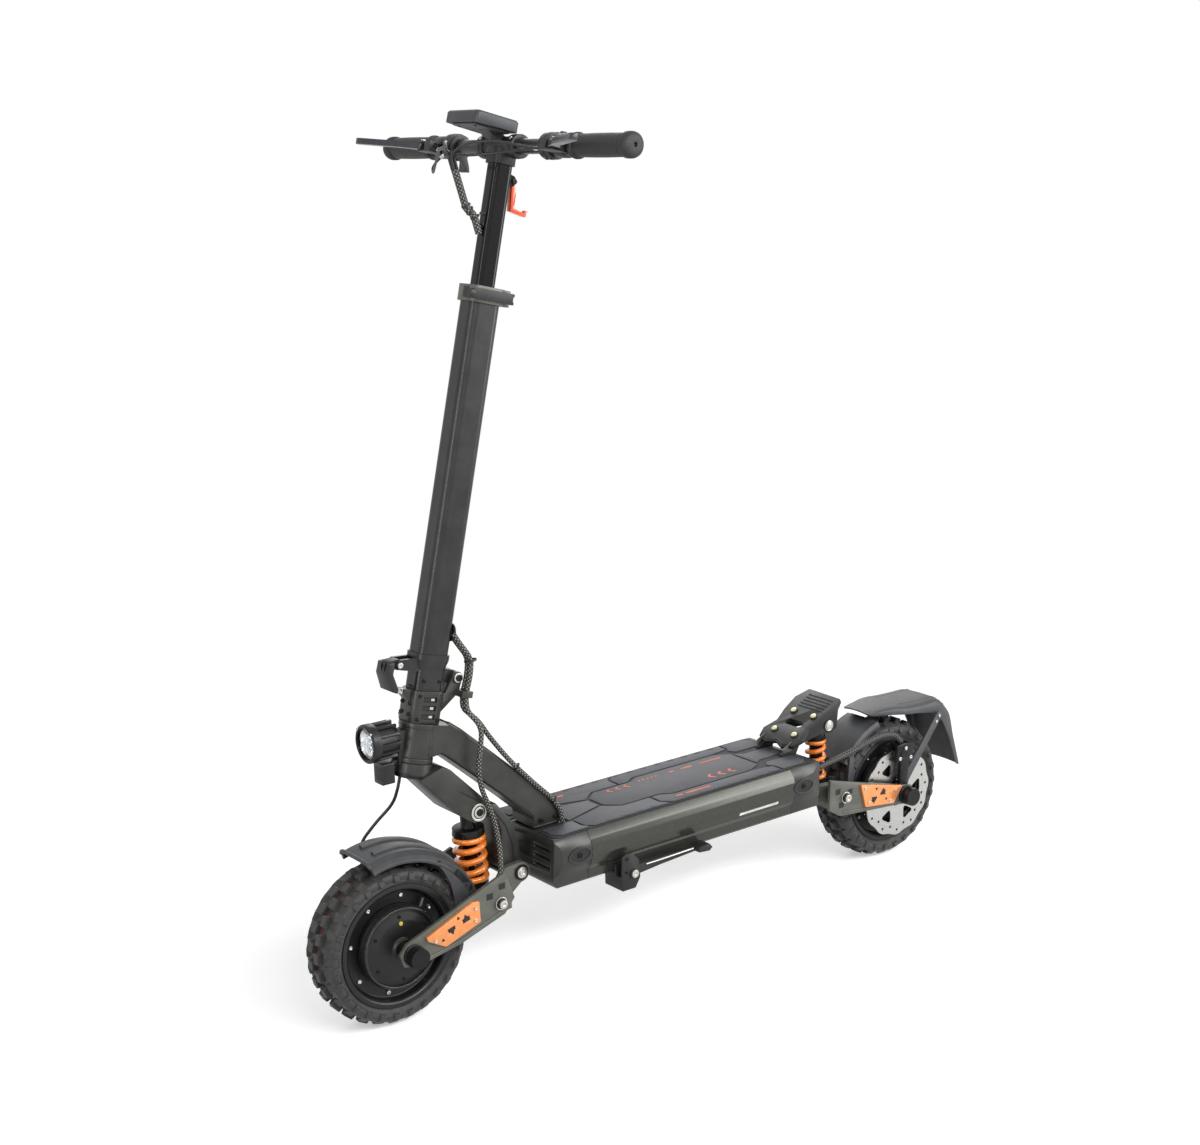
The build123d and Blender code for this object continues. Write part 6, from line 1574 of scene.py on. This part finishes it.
class SCOOTER_OT_head(bpy.types.Operator):
    """Headset rings, neck bolts, crown ring and the fork's panel line and trims"""
    bl_idname = "scooter.head"
    bl_label = "Head and fork"

    def execute(self, context):
        f = finishes()
        rings = [lathe(rounded([(HEAD_R - 3 * MM, low * MM), (HEAD_R + grow * MM, low * MM),
                (HEAD_R + grow * MM, high * MM), (HEAD_R - 3 * MM, high * MM)], 0.8 * MM, 3), STEER)
                 for low, high, grow in ((-2.3, 5, 1.1), (50, 57.8, 1.1))]
        dress("head_rings", rings, f.coat, "frame", "frame_coat")
        seam = lathe([(HEAD_R - MM, 5 * MM), (HEAD_R + 0.35 * MM, 5 * MM), (HEAD_R + 0.35 * MM, 6.4 * MM),
                (HEAD_R - MM, 6.4 * MM)], STEER)
        dress("head_seam", seam, f.seal_and_shade, "frame", "frame_coat")
        crown = lathe(rounded([(CROWN_R - 2 * MM, -24.5 * MM), (CROWN_R + 0.8 * MM, -24.5 * MM),
                (CROWN_R + 0.8 * MM, -19 * MM), (CROWN_R - 2 * MM, -19 * MM)], 0.8 * MM, 3), STEER)
        dress("crown_ring", crown, f.steel, "fork", "frame_coat")
        for side, word in ((1, "left"), (-1, "right")):
            foot = [Vector((FRONT_AXLE.x + x * MM, side * 30 * MM, 259 * MM)) for x in (-298, -270)]
            bolt_set(f"neck_foot_bolts_{word}", foot, 4 * MM, 2.6 * MM, side, f.steel, "frame",
                     "black_steel")
            self.fork_trim(f, side, word)
        weld = [Vector((FRONT_AXLE.x + x * MM, y * MM, 249.6 * MM))
                for x, y in ((-311, -30), (-311, 30), (-258, 30), (-258, -30), (-311, -30))]
        dress("neck_foot_fillet", tube_along(weld, 1.5 * MM, 8), f.coat, "frame", "frame_coat")
        return {"FINISHED"}

    def fork_trim(self, f, side, word):
        """Panel line along the fork's arm, the damper bolt's open ring and the knuckle's rim."""
        face = side * 35.7 * MM
        line = ((-122, 342), (-150, 322), (-176, 304), (-200, 270), (-212, 234), (-212, 205))
        path = [Vector((FRONT_AXLE.x + x * MM, face, z * MM)) for x, z in line]
        dress(f"fork_line_{word}", tube_along(path, 1.2 * MM, 8), f.seal_and_shade, "fork", "frame_coat")
        top = side_point(FRONT_AXLE, DAMPERS["front"]["top"], side * 35.6 * MM)
        ring = washer(Matrix.Translation(top) @ facing(side), 14.5 * MM, 10.5 * MM, 2.6 * MM)
        dress(f"fork_damper_ring_{word}", ring, f.zinc, "fork", "steel")
        head = Vector((top.x, side * 38.5 * MM, top.z))
        bolt_set(f"fork_damper_head_{word}", [head], 6 * MM, 1.6 * MM, side, f.steel, "fork", "black_steel")


class SCOOTER_OT_fold(bpy.types.Operator):
    """Insets, slit, screws and pin of the fold, black floors painted as the shade in its recesses, and the
    latch's ring and springs
    """
    bl_idname = "scooter.fold"
    bl_label = "Folding joint"

    def execute(self, context):
        f = finishes()
        for side, word in ((1, "left"), (-1, "right")):
            insets = [block((6 * MM, 1.2 * MM, 4.6 * MM), (-6 * MM, side * (FOLD_HALF_Y - 2.2 * MM),
                    (68.5 + 13 * row) * MM), 0.5 * MM, STEER, 1) for row in range(3)]
            slit = block((2 * MM, 1.0 * MM, 44 * MM), (-17 * MM, side * (FOLD_HALF_Y - 0.2 * MM), 82 * MM),
                    0.2 * MM, STEER, 1)
            dress(f"fold_slit_{word}", slit, f.seal_and_shade, "fork", "frame_coat")
            # Near-black floors in the three recesses: painted shade.
            shade_floors = [block((23 * MM, 0.6 * MM, 7.6 * MM), (0, side * (FOLD_HALF_Y - 2.9 * MM),
                    (68.8 + 13 * row) * MM), 0.1 * MM, STEER, 1) for row in range(3)]
            dress(f"fold_floors_{word}", shade_floors, f.seal_and_shade, "fork", "frame_coat")
            dress(f"fold_insets_{word}", insets, f.zinc, "fork", "steel")
            heads = [bolt_head(3 * MM, 1.8 * MM, on_steer(x * MM, side * FOLD_HALF_Y, z * MM)
                    @ facing(side)) for x, z in ((-18, 64), (19, 64), (19, 100))]
            dress(f"fold_screws_{word}", heads, f.steel, "fork", "black_steel")
            pin = bolt_head(5.4 * MM, 1.6 * MM, on_steer(FOLD_PIN[0], side * 24 * MM, FOLD_PIN[1])
                    @ facing(side))
            dress(f"fold_pin_head_{word}", pin, f.steel, "fork", "black_steel")
        clamp = [bolt_head(3.2 * MM, 2.2 * MM, on_steer(FOLD_HALF_X, y * MM, z * MM) @ turned(90, "Y"))
                 for y, z in ((-10, 70), (10, 70), (-10, 86), (10, 86))]
        dress("fold_clamp_bolts", clamp, f.steel, "fork", "black_steel")
        seam = lathe(rounded([(24 * MM, 0), (27.6 * MM, 0), (27.6 * MM, 3 * MM), (24 * MM, 3 * MM)],
                0.8 * MM, 2), on_steer(0, 0, 110 * MM))
        seam.data.transform(STEER @ Matrix.Diagonal((0.93, 0.76, 1, 1)) @ STEER.inverted())
        dress("stem_foot_band", seam, f.seal_and_shade, "stem", "frame_coat")
        self.latch(f)
        return {"FINISHED"}

    def latch(self, f):
        """Elongated ring hole in the latch, its springs and the bright striker."""
        at = STEER @ Matrix.Translation(LATCH_AT)
        ring = [(6 * math.cos(math.tau * k / 32), 11 * math.sin(math.tau * k / 32)) for k in range(32)]
        inner = [(x * 0.62, y * 0.78) for x, y in ring]
        face = at @ shift(19.2 * MM, 0, -7 * MM) @ turned(98, "Y") @ turned(90, "Z")
        loop = plate([(x * MM, y * MM) for x, y in ring], 1.6 * MM,
                holes=[[(x * MM, y * MM) for x, y in inner]], edge=0.4 * MM, place=face)
        dress("latch_ring", loop, f.steel, "fold_latch", "cast_black")
        lines = [tube_along([at @ Vector((x * MM, side * 9.4 * MM, z * MM))
                for x, z in ((12, 0), (16, -9), (14, -22))], 0.7 * MM, 6) for side in (-1, 1)]
        dress("latch_lines", lines, f.zinc, "fold_latch", "steel")
        pins = [bolt_head(4.4 * MM, 1.6 * MM, at @ shift(0, side * 14.5 * MM, 0) @ facing(side))
                for side in (-1, 1)]
        dress("latch_pin_heads", pins, f.zinc, "stem", "steel")
        striker = block((2.4 * MM, 12 * MM, 8 * MM), (FOLD_HALF_X + 12.4 * MM, 0, FOLD_SEAM - 4 * MM),
                0.8 * MM, STEER)
        dress("latch_striker", striker, f.zinc, "fork", "steel")


# ---- headlight ----------------------------------------------------------------------------------
LAMP = Vector((FRONT_AXLE.x, 0, 440 * MM))
LAMP_FACE, LAMP_REAR, LAMP_R, LAMP_FINS = 18 * MM, -32 * MM, 30 * MM, 12
FORWARD = turned(90, "Y")                                  # local Z runs along +X


class SCOOTER_OT_lamp(bpy.types.Operator):
    """Finned lamp body, four-petal reflector, diodes, bezel and lens; and the horn's grille"""
    bl_idname = "scooter.lamp"
    bl_label = "Headlight and horn"

    def execute(self, context):
        f = finishes()
        place = Matrix.Translation(LAMP) @ FORWARD
        barrel = lathe(rounded([(0, LAMP_REAR, 0), (20 * MM, LAMP_REAR, 4 * MM),
                (24.5 * MM, -20 * MM, 3 * MM), (25 * MM, 3 * MM, 1 * MM),
                (LAMP_R - 0.6 * MM, 5 * MM, 1 * MM), (LAMP_R - 0.4 * MM, LAMP_FACE - 1 * MM, 1.2 * MM),
                (26 * MM, LAMP_FACE, 0.6 * MM), (25.6 * MM, LAMP_FACE - 9 * MM, 0),
                (0, LAMP_FACE - 9 * MM, 0)], 0, 3), place, steps=64)
        dress("lamp_body", barrel, f.hub, "frame", "hub_black", "headlight_housing")
        fins = [block((7 * MM, 5 * MM, 33 * MM), (25.4 * MM, 0, -11.6 * MM), 1 * MM,
                place @ Matrix.Rotation(math.tau * k / LAMP_FINS, 4, "Z")) for k in range(LAMP_FINS)]
        dress("lamp_fins", fins, f.hub, "frame", "hub_black")
        mount = block((15 * MM, 21 * MM, 52 * MM), (LAMP.x - 39.6 * MM, 0, 425 * MM), 1.2 * MM)
        dress("lamp_mount", mount, f.black, "frame", "cast_black")
        bezel = lathe(rounded([(23.4 * MM, LAMP_FACE - 3 * MM), (27.4 * MM, LAMP_FACE - 3 * MM),
                (27.4 * MM, LAMP_FACE + 0.4 * MM), (24.2 * MM, LAMP_FACE + 0.4 * MM)], 0.8 * MM, 3), place,
                steps=64)
        dress("lamp_bezel", bezel, f.steel, "frame", "hub_black")
        lens = lathe([(0, LAMP_FACE - 1.4 * MM), (12 * MM, LAMP_FACE - 1.6 * MM),
                (23.6 * MM, LAMP_FACE - 3 * MM), (23.6 * MM, LAMP_FACE - 4.4 * MM),
                (12 * MM, LAMP_FACE - 3.2 * MM), (0, LAMP_FACE - 3 * MM)], place, steps=64)
        dress("lamp_lens", lens, f.lens, "frame", "lens", "headlight_lens")
        self.petals(f, place)
        screws = [bolt_head(2.2 * MM, 1.2 * MM, shift(LAMP.x + LAMP_FACE, side * 28.0 * MM * 0.7,
                LAMP.z + 28 * MM * 0.7) @ FORWARD) for side in (-1, 1)]
        dress("lamp_screws", screws, f.zinc, "frame", "steel")
        grille = [block((1.2 * MM, 20 * MM, 1.6 * MM), (0, 0, 0), 0.4 * MM,
                shift(LAMP.x - 1.8 * MM, 0, (381 + 4.4 * k) * MM), 1) for k in range(5)]
        dress("horn_grille", grille, f.steel, "frame", "black_plastic")
        return {"FINISHED"}

    def petals(self, f, place):
        """Four bright bowls round a centre post, each with its own diode."""
        bowls, chips = [], []
        for k in range(4):
            turn = math.radians(45 + 90 * k)
            at = place @ shift(10.4 * MM * math.cos(turn), 10.4 * MM * math.sin(turn), LAMP_FACE - 9 * MM)
            bowls.append(lathe([(2 * MM, 0.2 * MM), (5 * MM, 0.9 * MM), (8 * MM, 3 * MM),
                    (9.8 * MM, 5.4 * MM), (10.1 * MM, 5.4 * MM), (8.6 * MM, 2.6 * MM), (5 * MM, 0.1 * MM),
                    (2 * MM, 0)], at, steps=36))
            chips.append(block((3.4 * MM, 3.4 * MM, 0.8 * MM), (0, 0, 0.5 * MM), 0.2 * MM, at, 1))
        back = lathe([(0, 0), (24 * MM, 0), (24 * MM, 5 * MM), (22.6 * MM, 5 * MM), (21.6 * MM, 0.6 * MM),
                (0, 0.6 * MM)], place @ shift(0, 0, LAMP_FACE - 9.2 * MM), steps=48)
        dress("lamp_reflector", bowls, f.mirror, "frame", "lens")
        dress("lamp_back", back, f.steel, "frame", "lens")
        dress("lamp_diodes", chips, f.led, "frame", "lens")


# ---- stem, collar and hook ----------------------------------------------------------------------
HOOK_T = 866 * MM                # the hook's pin, along the steering axis


class SCOOTER_OT_stem(bpy.types.Operator):
    """Foot bolts, cable port and collar knob of the stem, sleeve bands, hook caps and pad"""
    bl_idname = "scooter.stem"
    bl_label = "Stem and hook"

    def execute(self, context):
        f = finishes()
        for side, word in ((1, "left"), (-1, "right")):
            heads = [bolt_head(3 * MM, 1.6 * MM, on_steer(x * MM, side * 20 * MM, z * MM) @ facing(side))
                     for x, z in ((-14, 122), (14, 122))]
            dress(f"stem_foot_bolts_{word}", heads, f.steel, "stem", "black_steel")
            cap = bolt_head(4.2 * MM, 1.8 * MM, on_steer(-23.5 * MM, side * 8 * MM, HOOK_T) @ facing(side))
            dress(f"hook_pin_cap_{word}", cap, f.steel, "handlebar", "black_steel")
        port = lathe(rounded([(4 * MM, 0), (14 * MM, 0), (14 * MM, 2.2 * MM), (11 * MM, 3.4 * MM),
                (4 * MM, 3.4 * MM)], 0.8 * MM, 3), on_steer(-26 * MM, 9 * MM, 196 * MM) @ turned(-90, "Y"),
                steps=40)
        dress("stem_cable_port", port, f.plastic, "stem", "black_plastic")
        knob_profile = rounded([(0, 0, 0), (7.4 * MM, 0, 1 * MM), (8 * MM, 6 * MM, 1.5 * MM),
                (6.6 * MM, 10 * MM, 3 * MM), (0, 10.6 * MM, 0)], 0, 4)
        knob_piece = lathe(knob_profile, on_steer(31.6 * MM, 27.4 * MM, 696 * MM) @ turned(90, "Y"),
                steps=40)
        dress("collar_knob", knob_piece, f.plastic, "clamp_lever", "cast_black")
        band = [block((3 * MM, 14 * MM, 5 * MM), (18 * MM, 0, z * MM), 1.2 * MM, STEER) for z in (796, 812)]
        dress("sleeve_bands", band, f.plastic, "handlebar", "black_plastic")
        tip = block((2.2 * MM, 11.4 * MM, 20 * MM), (-31 * MM, 0, 842 * MM), 1 * MM, STEER)
        dress("hook_pad", tip, f.hook, "carry_hook", "hook_red")
        return {"FINISHED"}


# ---- handlebar, grips, levers and display -------------------------------------------------------
BAR_T, GRIP_IN = 912 * MM, 181 * MM


def grip_piece(side):
    """Bulged grip with a flange, grooves near both ends and a larger end cap."""
    profile = [(11.15, 0), (19, 0), (19, 3.6), (17.6, 5.2), (15.6, 6.4), (15.4, 12), (16.1, 12.6)]
    profile += [(16.1 + 0.5 * math.sin(math.pi * k / 10), 14 + 9.2 * k) for k in range(11)]
    profile += [(15.2, 107), (15.2, 110), (17.4, 111.6), (18.2, 114), (18.2, 122), (17.2, 125.6),
                (14, 128.4), (5.5, 130), (3.4, 129.4), (3.2, 126), (0, 126), (0, 124.1), (11.15, 124.1)]
    place = on_steer(0, side * GRIP_IN, BAR_T) @ facing(side)
    return lathe([(min(r, 18.6) * MM, h * MM) for r, h in profile], place, steps=56, degrees=40)


class SCOOTER_OT_bar(bpy.types.Operator):
    """Grips, clamp bolts, lever pivots, switches and the bar's end plugs"""
    bl_idname = "scooter.bar"
    bl_label = "Handlebar"

    def execute(self, context):
        f = finishes()
        both = [grip_piece(side) for side in (-1, 1)]
        dress("grips_shaped", both, f.grip, "handlebar", "grip_rubber", "grips")
        for side, word in ((1, "left"), (-1, "right")):
            place = on_steer(0, side * 38 * MM, BAR_T)
            heads = [bolt_head(3 * MM, 2 * MM, place @ turned(turn, "Y") @ shift(y * MM, 0, 17 * MM))
                     for turn, y in ((55, 0), (-30, 0))]
            dress(f"bar_clamp_bolts_{word}", heads, f.zinc, "handlebar", "steel")
            split = lathe([(17 * MM, -0.6 * MM), (17.9 * MM, -0.6 * MM), (17.9 * MM, 0.6 * MM),
                    (17 * MM, 0.6 * MM)], place @ ACROSS, steps=48)
            dress(f"bar_clamp_seam_{word}", split, f.seal_and_shade, "handlebar", "cast_black")
            pivot = bolt_head(4.6 * MM, 1.8 * MM, on_steer(30 * MM, side * 168 * MM, BAR_T + 4 * MM))
            dress(f"lever_pivot_{word}", pivot, f.zinc, "handlebar", "steel")
            reach = bolt_head(2.8 * MM, 2 * MM, on_steer(17 * MM, side * 152 * MM, BAR_T + 4 * MM))
            barrel = lathe([(0, 0), (5 * MM, 0), (5 * MM, 3 * MM), (4 * MM, 4 * MM), (4 * MM, 8 * MM),
                    (3 * MM, 9 * MM), (0, 9 * MM)], on_steer(24 * MM, side * 141.4 * MM, BAR_T - 2 * MM)
                    @ facing(-side), steps=28)
            dress(f"perch_bolt_{word}", [reach, barrel], f.steel, "handlebar", "black_steel")
            groove = [STEER @ Vector((x * MM, side * y * MM, BAR_T - 0.1 * MM))
                      for x, y in ((44, 208), (62, 246), (72, 268))]
            dress(f"lever_groove_{word}", tube_along(groove, 1.0 * MM, 8), f.seal_and_shade, "brake_lever_" + word,
                  "black_steel")
        self.pod(f)
        return {"FINISHED"}

    def pod(self, f):
        """Buttons, screws and seams of the switch pod and the throttle body."""
        rocker = block((6 * MM, 9 * MM, 2.4 * MM), (-22 * MM, 124 * MM, BAR_T + 12 * MM), 0.8 * MM, STEER)
        dress("switch_rocker", rocker, f.mark, "handlebar", "black_plastic")
        seams = [lathe([(18 * MM, -0.5 * MM), (r * MM, -0.5 * MM), (r * MM, 0.5 * MM), (18 * MM, 0.5 * MM)],
                on_steer(0, y * MM, BAR_T) @ ACROSS, steps=48) for y, r in ((124, 19.4), (-124, 20.4))]
        dress("pod_seams", seams, f.seal_and_shade, "handlebar", "black_plastic")
        screws = [bolt_head(2.2 * MM, 1.2 * MM, on_steer(0, y * MM, BAR_T) @ turned(170, "Y")
                @ shift(0, 0, r * MM)) for y, r in ((118, 18.8), (130, 18.8), (-118, 19.8), (-130, 19.8))]
        dress("pod_screws", screws, f.steel, "handlebar", "black_steel")


class SCOOTER_OT_display(bpy.types.Operator):
    """Screen, rim and keys of the display head"""
    bl_idname = "scooter.display"
    bl_label = "Display"

    def execute(self, context):
        f = finishes()
        bar = STEER @ Vector((0, 0, BAR_T))
        centre = bar + Vector((34 * MM, 0, 36 * MM))
        place = Matrix.Translation(centre) @ turned(-15, "Y")
        screen = block((59 * MM, 69 * MM, 0.9 * MM), (0, 0, 7.3 * MM), 0.3 * MM, place, 1)
        dress("display_screen", screen, f.glass, "handlebar", "black_plastic")
        keys = [block((5 * MM, 12 * MM, 1.2 * MM), (-27 * MM, y * MM, 8.6 * MM), 0.5 * MM, place)
                for y in (-18, 18)]
        dress("display_keys", keys, f.plastic, "handlebar", "black_plastic")
        belly = plate(rounded([(-30 * MM, -34 * MM), (33 * MM, -30 * MM), (33 * MM, 30 * MM),
                (-30 * MM, 34 * MM)], 7 * MM, 4), 3.2 * MM, edge=1.2 * MM,
                place=place @ shift(0, 0, -11.6 * MM))
        dress("display_belly", belly, f.display, "handlebar", "black_plastic")
        heads = [bolt_head(2.2 * MM, 1.2 * MM, place @ shift(x * MM, y * MM, -11.6 * MM)
                @ Matrix.Rotation(math.pi, 4, "X")) for x, y in ((-22, -24), (-22, 24), (24, -21),
                (24, 21))]
        dress("display_screws", heads, f.steel, "handlebar", "black_steel")
        return {"FINISHED"}


# ---- cables, hoses and looms --------------------------------------------------------------------
LOOM_R, HOSE_R, CONTROL_R, SLEEVE_R = 4.0 * MM, 2.5 * MM, 2.0 * MM, 5.5 * MM
LEG_SHARE = 0.45                                             # part of the shorter leg that a bend's arc takes
GUIDE_SPOTS = (20.5, 30.0)


def routed(points, steps=7):
    """The route in metres from points in millimetres, each corner rounded by an arc."""
    spots = [Vector(p) * MM for p in points]
    made = [spots[0]]
    for before, corner, after in zip(spots, spots[1:], spots[2:]):
        inward, outward = before - corner, after - corner
        half = inward.angle(outward) / 2
        reach = LEG_SHARE * min(inward.length, outward.length)
        size = reach * math.tan(half)
        centre = corner + (inward.normalized() + outward.normalized()).normalized() * (size / math.sin(half))
        start = corner + inward.normalized() * reach - centre
        end = corner + outward.normalized() * reach - centre
        made += [centre + start.slerp(end, step / steps).normalized() * size for step in range(steps + 1)]
    return made + [spots[-1]]


def steer_mm(forward, across, up):
    """A point of the steering frame, in millimetres of the shared frame."""
    return STEER @ (Vector((forward, across, up)) * MM) / MM


def past_axle(axle, points):
    """Points counted in X from a wheel's axle."""
    return [(axle.x / MM + x, y, z) for x, y, z in points]


def first_below(route, height):
    """Index of the route's first point below that height."""
    return next(k for k, point in enumerate(route) if point.z < height)


def cable_tie(route, place, radius):
    """A nylon tie round the route at that share of its points, with its lock."""
    k = int(place * (len(route) - 2)) + 1
    tangent = (route[k + 1] - route[k - 1]).normalized()
    turn = Vector((0, 0, 1)).rotation_difference(tangent).to_matrix().to_4x4()
    at = Matrix.Translation(route[k]) @ turn
    wide = radius + 0.9 * MM
    band = lathe([(radius - 0.3 * MM, -1.4 * MM), (wide, -1.4 * MM), (wide, 1.4 * MM),
            (radius - 0.3 * MM, 1.4 * MM)], at, steps=24)
    lock = block((3 * MM, 3.6 * MM, 3.6 * MM), (radius + 1.6 * MM, 0, 0), 0.5 * MM, at)
    return [band, lock]


def bending(name, piece, material):
    """Names a cable, gives it its finish and bakes its place into its mesh."""
    piece.name = name
    piece.data.materials.append(material)
    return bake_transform(piece)


class SCOOTER_OT_looms(bpy.types.Operator):
    """Braided looms from the stem's foot to the deck and the motor, the front hose and the rear conduit"""
    bl_idname = "scooter.looms"
    bl_label = "Looms and hoses"

    def execute(self, context):
        f = finishes()
        self.stem_side(f)
        self.deck_side(f)
        self.motor_side(f)
        self.rear_side(f)
        return {"FINISHED"}

    def stem_side(self, f):
        """Both looms from the stem's foot to the guide, tied together."""
        pieces = []
        for y in GUIDE_SPOTS:
            route = routed([steer_mm(*p) for p in ((-25.5, y - 12, 196), (-38, y - 9, 182),
                    (-59, y - 2, 160), (-60, y, 134), (-58, y, 112))])
            pieces.append(tube_along(route, LOOM_R, 20))
        pieces += cable_tie(route, 0.5, 2.2 * LOOM_R)
        piece = join(pieces)
        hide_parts("stem_loom")
        bending("stem_loom_braided", piece, f.braid)

    def deck_side(self, f):
        """The loom that lies along the neck and enters the deck."""
        y = 34.3
        start = [steer_mm(-58, GUIDE_SPOTS[0], 102), steer_mm(-59, GUIDE_SPOTS[0] + 3, 84)]
        run = ((-160, y, 446), (-176, y, 420), (-212, y, 372), (-255, y, 326), (-292, y, 290),
               (-306, y, 268), (-309, y, 246.6))
        route = routed(start + past_axle(FRONT_AXLE, run))
        loom = tube_along(route, LOOM_R, 20)
        piece = join([loom, *cable_tie(route, 0.55, LOOM_R), *cable_tie(route, 0.8, LOOM_R)])
        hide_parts("frame_loom")
        bending("frame_loom_braided", piece, f.braid)

    def motor_side(self, f):
        """The motor loom along the neck's side, made in three spans, and the front brake hose."""
        start = [steer_mm(-58, GUIDE_SPOTS[1], 102), steer_mm(-60, GUIDE_SPOTS[1] + 5, 82)]
        run = ((-158, 45.6, 440), (-152, 48.6, 408), (-146, 48.6, 376), (-152, 45.6, 342),
               (-166, 43.6, 312), (-176, 43.6, 280), (-180, 45.6, 248), (-178, 51.6, 220),
               (-172, 55.6, 184))
        route = routed(start + past_axle(FRONT_AXLE, run))
        tied, free = first_below(route, 400 * MM), first_below(route, 300 * MM)
        spans = (("upper", route[:tied + 1], ("fork", "frame"), route[0],
                  route[first_below(route, 440 * MM)]), ("middle", route[tied:free + 1], ("frame", "fork"),
                route[first_below(route, 352 * MM)], route[free]),
                 ("lower", route[free:], ("fork", "front_arm"), route[free], route[-1]),)
        for word, span, bodies, start, end in spans:
            piece = tube_along(span, LOOM_R, 20)
            if word == "upper":
                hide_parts("front_looms")
            bending(f"front_motor_loom_{word}", piece, f.braid)
        drop = past_axle(FRONT_AXLE, ((-42, -30, 326), (-18, -46, 296), (2, -57, 268), (4, -61, 240),
                (-8, -61, 222.7)))
        hose_route = routed([steer_mm(11, -12, -25.3), steer_mm(11, -12, -45), *drop])
        hose = tube_along(hose_route, HOSE_R, 16)
        bending("front_hose", hose, f.cable)

    def rear_side(self, f):
        """The conduit from the rear cap to the rear caliper."""
        run = ((225.8, 50, 215), (198, 54, 218), (160, 57, 224), (118, 60, 232), (78, 61, 242),
               (42, 61, 246), (14, 61, 240), (-2, 61, 223.5))
        route = routed(past_axle(REAR_AXLE, run))
        piece = tube_along(route, LOOM_R + MM, 20)
        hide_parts("rear_conduit")
        bending("rear_conduit_ribbed", piece, f.conduit)


class SCOOTER_OT_bar_cables(bpy.types.Operator):
    """Brake and control cables, their sleeve into the stem, and its bands"""
    bl_idname = "scooter.bar_cables"
    bl_label = "Handlebar cables"

    def execute(self, context):
        f = finishes()
        bar = steer_mm(0, 0, BAR_T / MM)
        entry = steer_mm(22, 0, 786)
        top, below = bar + Vector((85, 0, -29)), bar + Vector((68, 0, -86))
        route = routed([top, below, entry + Vector((6, 0, 24)), entry + Vector((-2, 0, -4))])
        sleeve = tube_along(route, SLEEVE_R, 24)
        dress("bar_sleeve", sleeve, f.braid, "handlebar", "cable_black", "bar_cables")
        bands = [piece for share in (0.08, 0.45, 0.9) for piece in cable_tie(route, share, SLEEVE_R)]
        dress("sleeve_ties", bands, f.plastic, "handlebar", "black_plastic")
        down = (below - top).normalized()
        across = Vector((down.z, 0, -down.x))
        self.controls(f, bar, top, down, across)
        return {"FINISHED"}

    def controls(self, f, bar, top, down, across):
        """Four thin cables from the levers and switches to the sleeve's mouth."""
        routes = ((1, -1, ((24, 140, -2), (30, 116, -2), (56, 62, 10), (82, 28, 8))),
                  (-1, -1, ((24, -140, -2), (30, -116, -2), (56, -62, 10), (82, -28, 8))),
                  (1, 1, ((15.5, 112, -3), (21.5, 88, -3), (56, 62, -8), (82, 28, -10))),
                  (-1, 1, ((14, -134.6, -9), (24, -154, -26), (38, -132, -38), (56, -94, -20),
                (80, -44, 4))),)
        runs, ferrules = [], []
        for side, drift, spots in routes:
            end = top + across * 2.7 * drift + Vector((0, side * 2.7, 0))
            route = routed([bar + Vector(p) for p in spots] + [end - down * 22, end])
            runs.append(tube_along(route, CONTROL_R, 16))
            turn = Vector((0, 0, 1)).rotation_difference(route[1] - route[0]).to_matrix().to_4x4()
            profile = rounded([(CONTROL_R - 0.3 * MM, 0), (3 * MM, 0), (3 * MM, 9 * MM),
                    (CONTROL_R - 0.3 * MM, 9 * MM)], 0.5 * MM, 2)
            ferrules.append(lathe(profile, Matrix.Translation(route[0]) @ turn, steps=24))
        dress("control_cables", runs, f.cable, "handlebar", "cable_black")
        dress("cable_ferrules", ferrules, f.zinc, "handlebar", "steel")


# ---- panel and run ------------------------------------------------------------------------------
STEPS = (SCOOTER_OT_stage, SCOOTER_OT_solids, SCOOTER_OT_tyres, SCOOTER_OT_hubs, SCOOTER_OT_dampers,
         SCOOTER_OT_arms, SCOOTER_OT_fenders, SCOOTER_OT_mat, SCOOTER_OT_deck, SCOOTER_OT_footrest,
         SCOOTER_OT_kickstand, SCOOTER_OT_head, SCOOTER_OT_fold, SCOOTER_OT_lamp, SCOOTER_OT_stem,
         SCOOTER_OT_bar, SCOOTER_OT_display, SCOOTER_OT_looms, SCOOTER_OT_bar_cables,)


class SCOOTER_PT_panel(bpy.types.Panel):
    """Lists the settings and the pieces"""
    bl_label = "Kick scooter"
    bl_space_type = "VIEW_3D"
    bl_region_type = "UI"
    bl_category = "Kick scooter"

    def draw(self, context):
        look = context.scene.scooter_look
        for name in look.__annotations__:
            self.layout.prop(look, name)
        for step in STEPS:
            self.layout.operator(step.bl_idname)


CLASSES = (ScooterLook, *STEPS, SCOOTER_PT_panel)


def register():
    for cls in CLASSES:
        bpy.utils.register_class(cls)
    bpy.types.Scene.scooter_look = PointerProperty(type=ScooterLook)


def unregister():
    del bpy.types.Scene.scooter_look
    for cls in reversed(CLASSES):
        bpy.utils.unregister_class(cls)


def main():
    register()
    for step in STEPS:
        group, name = step.bl_idname.split(".")
        getattr(getattr(bpy.ops, group), name)()


if __name__ == "__main__":
    main()
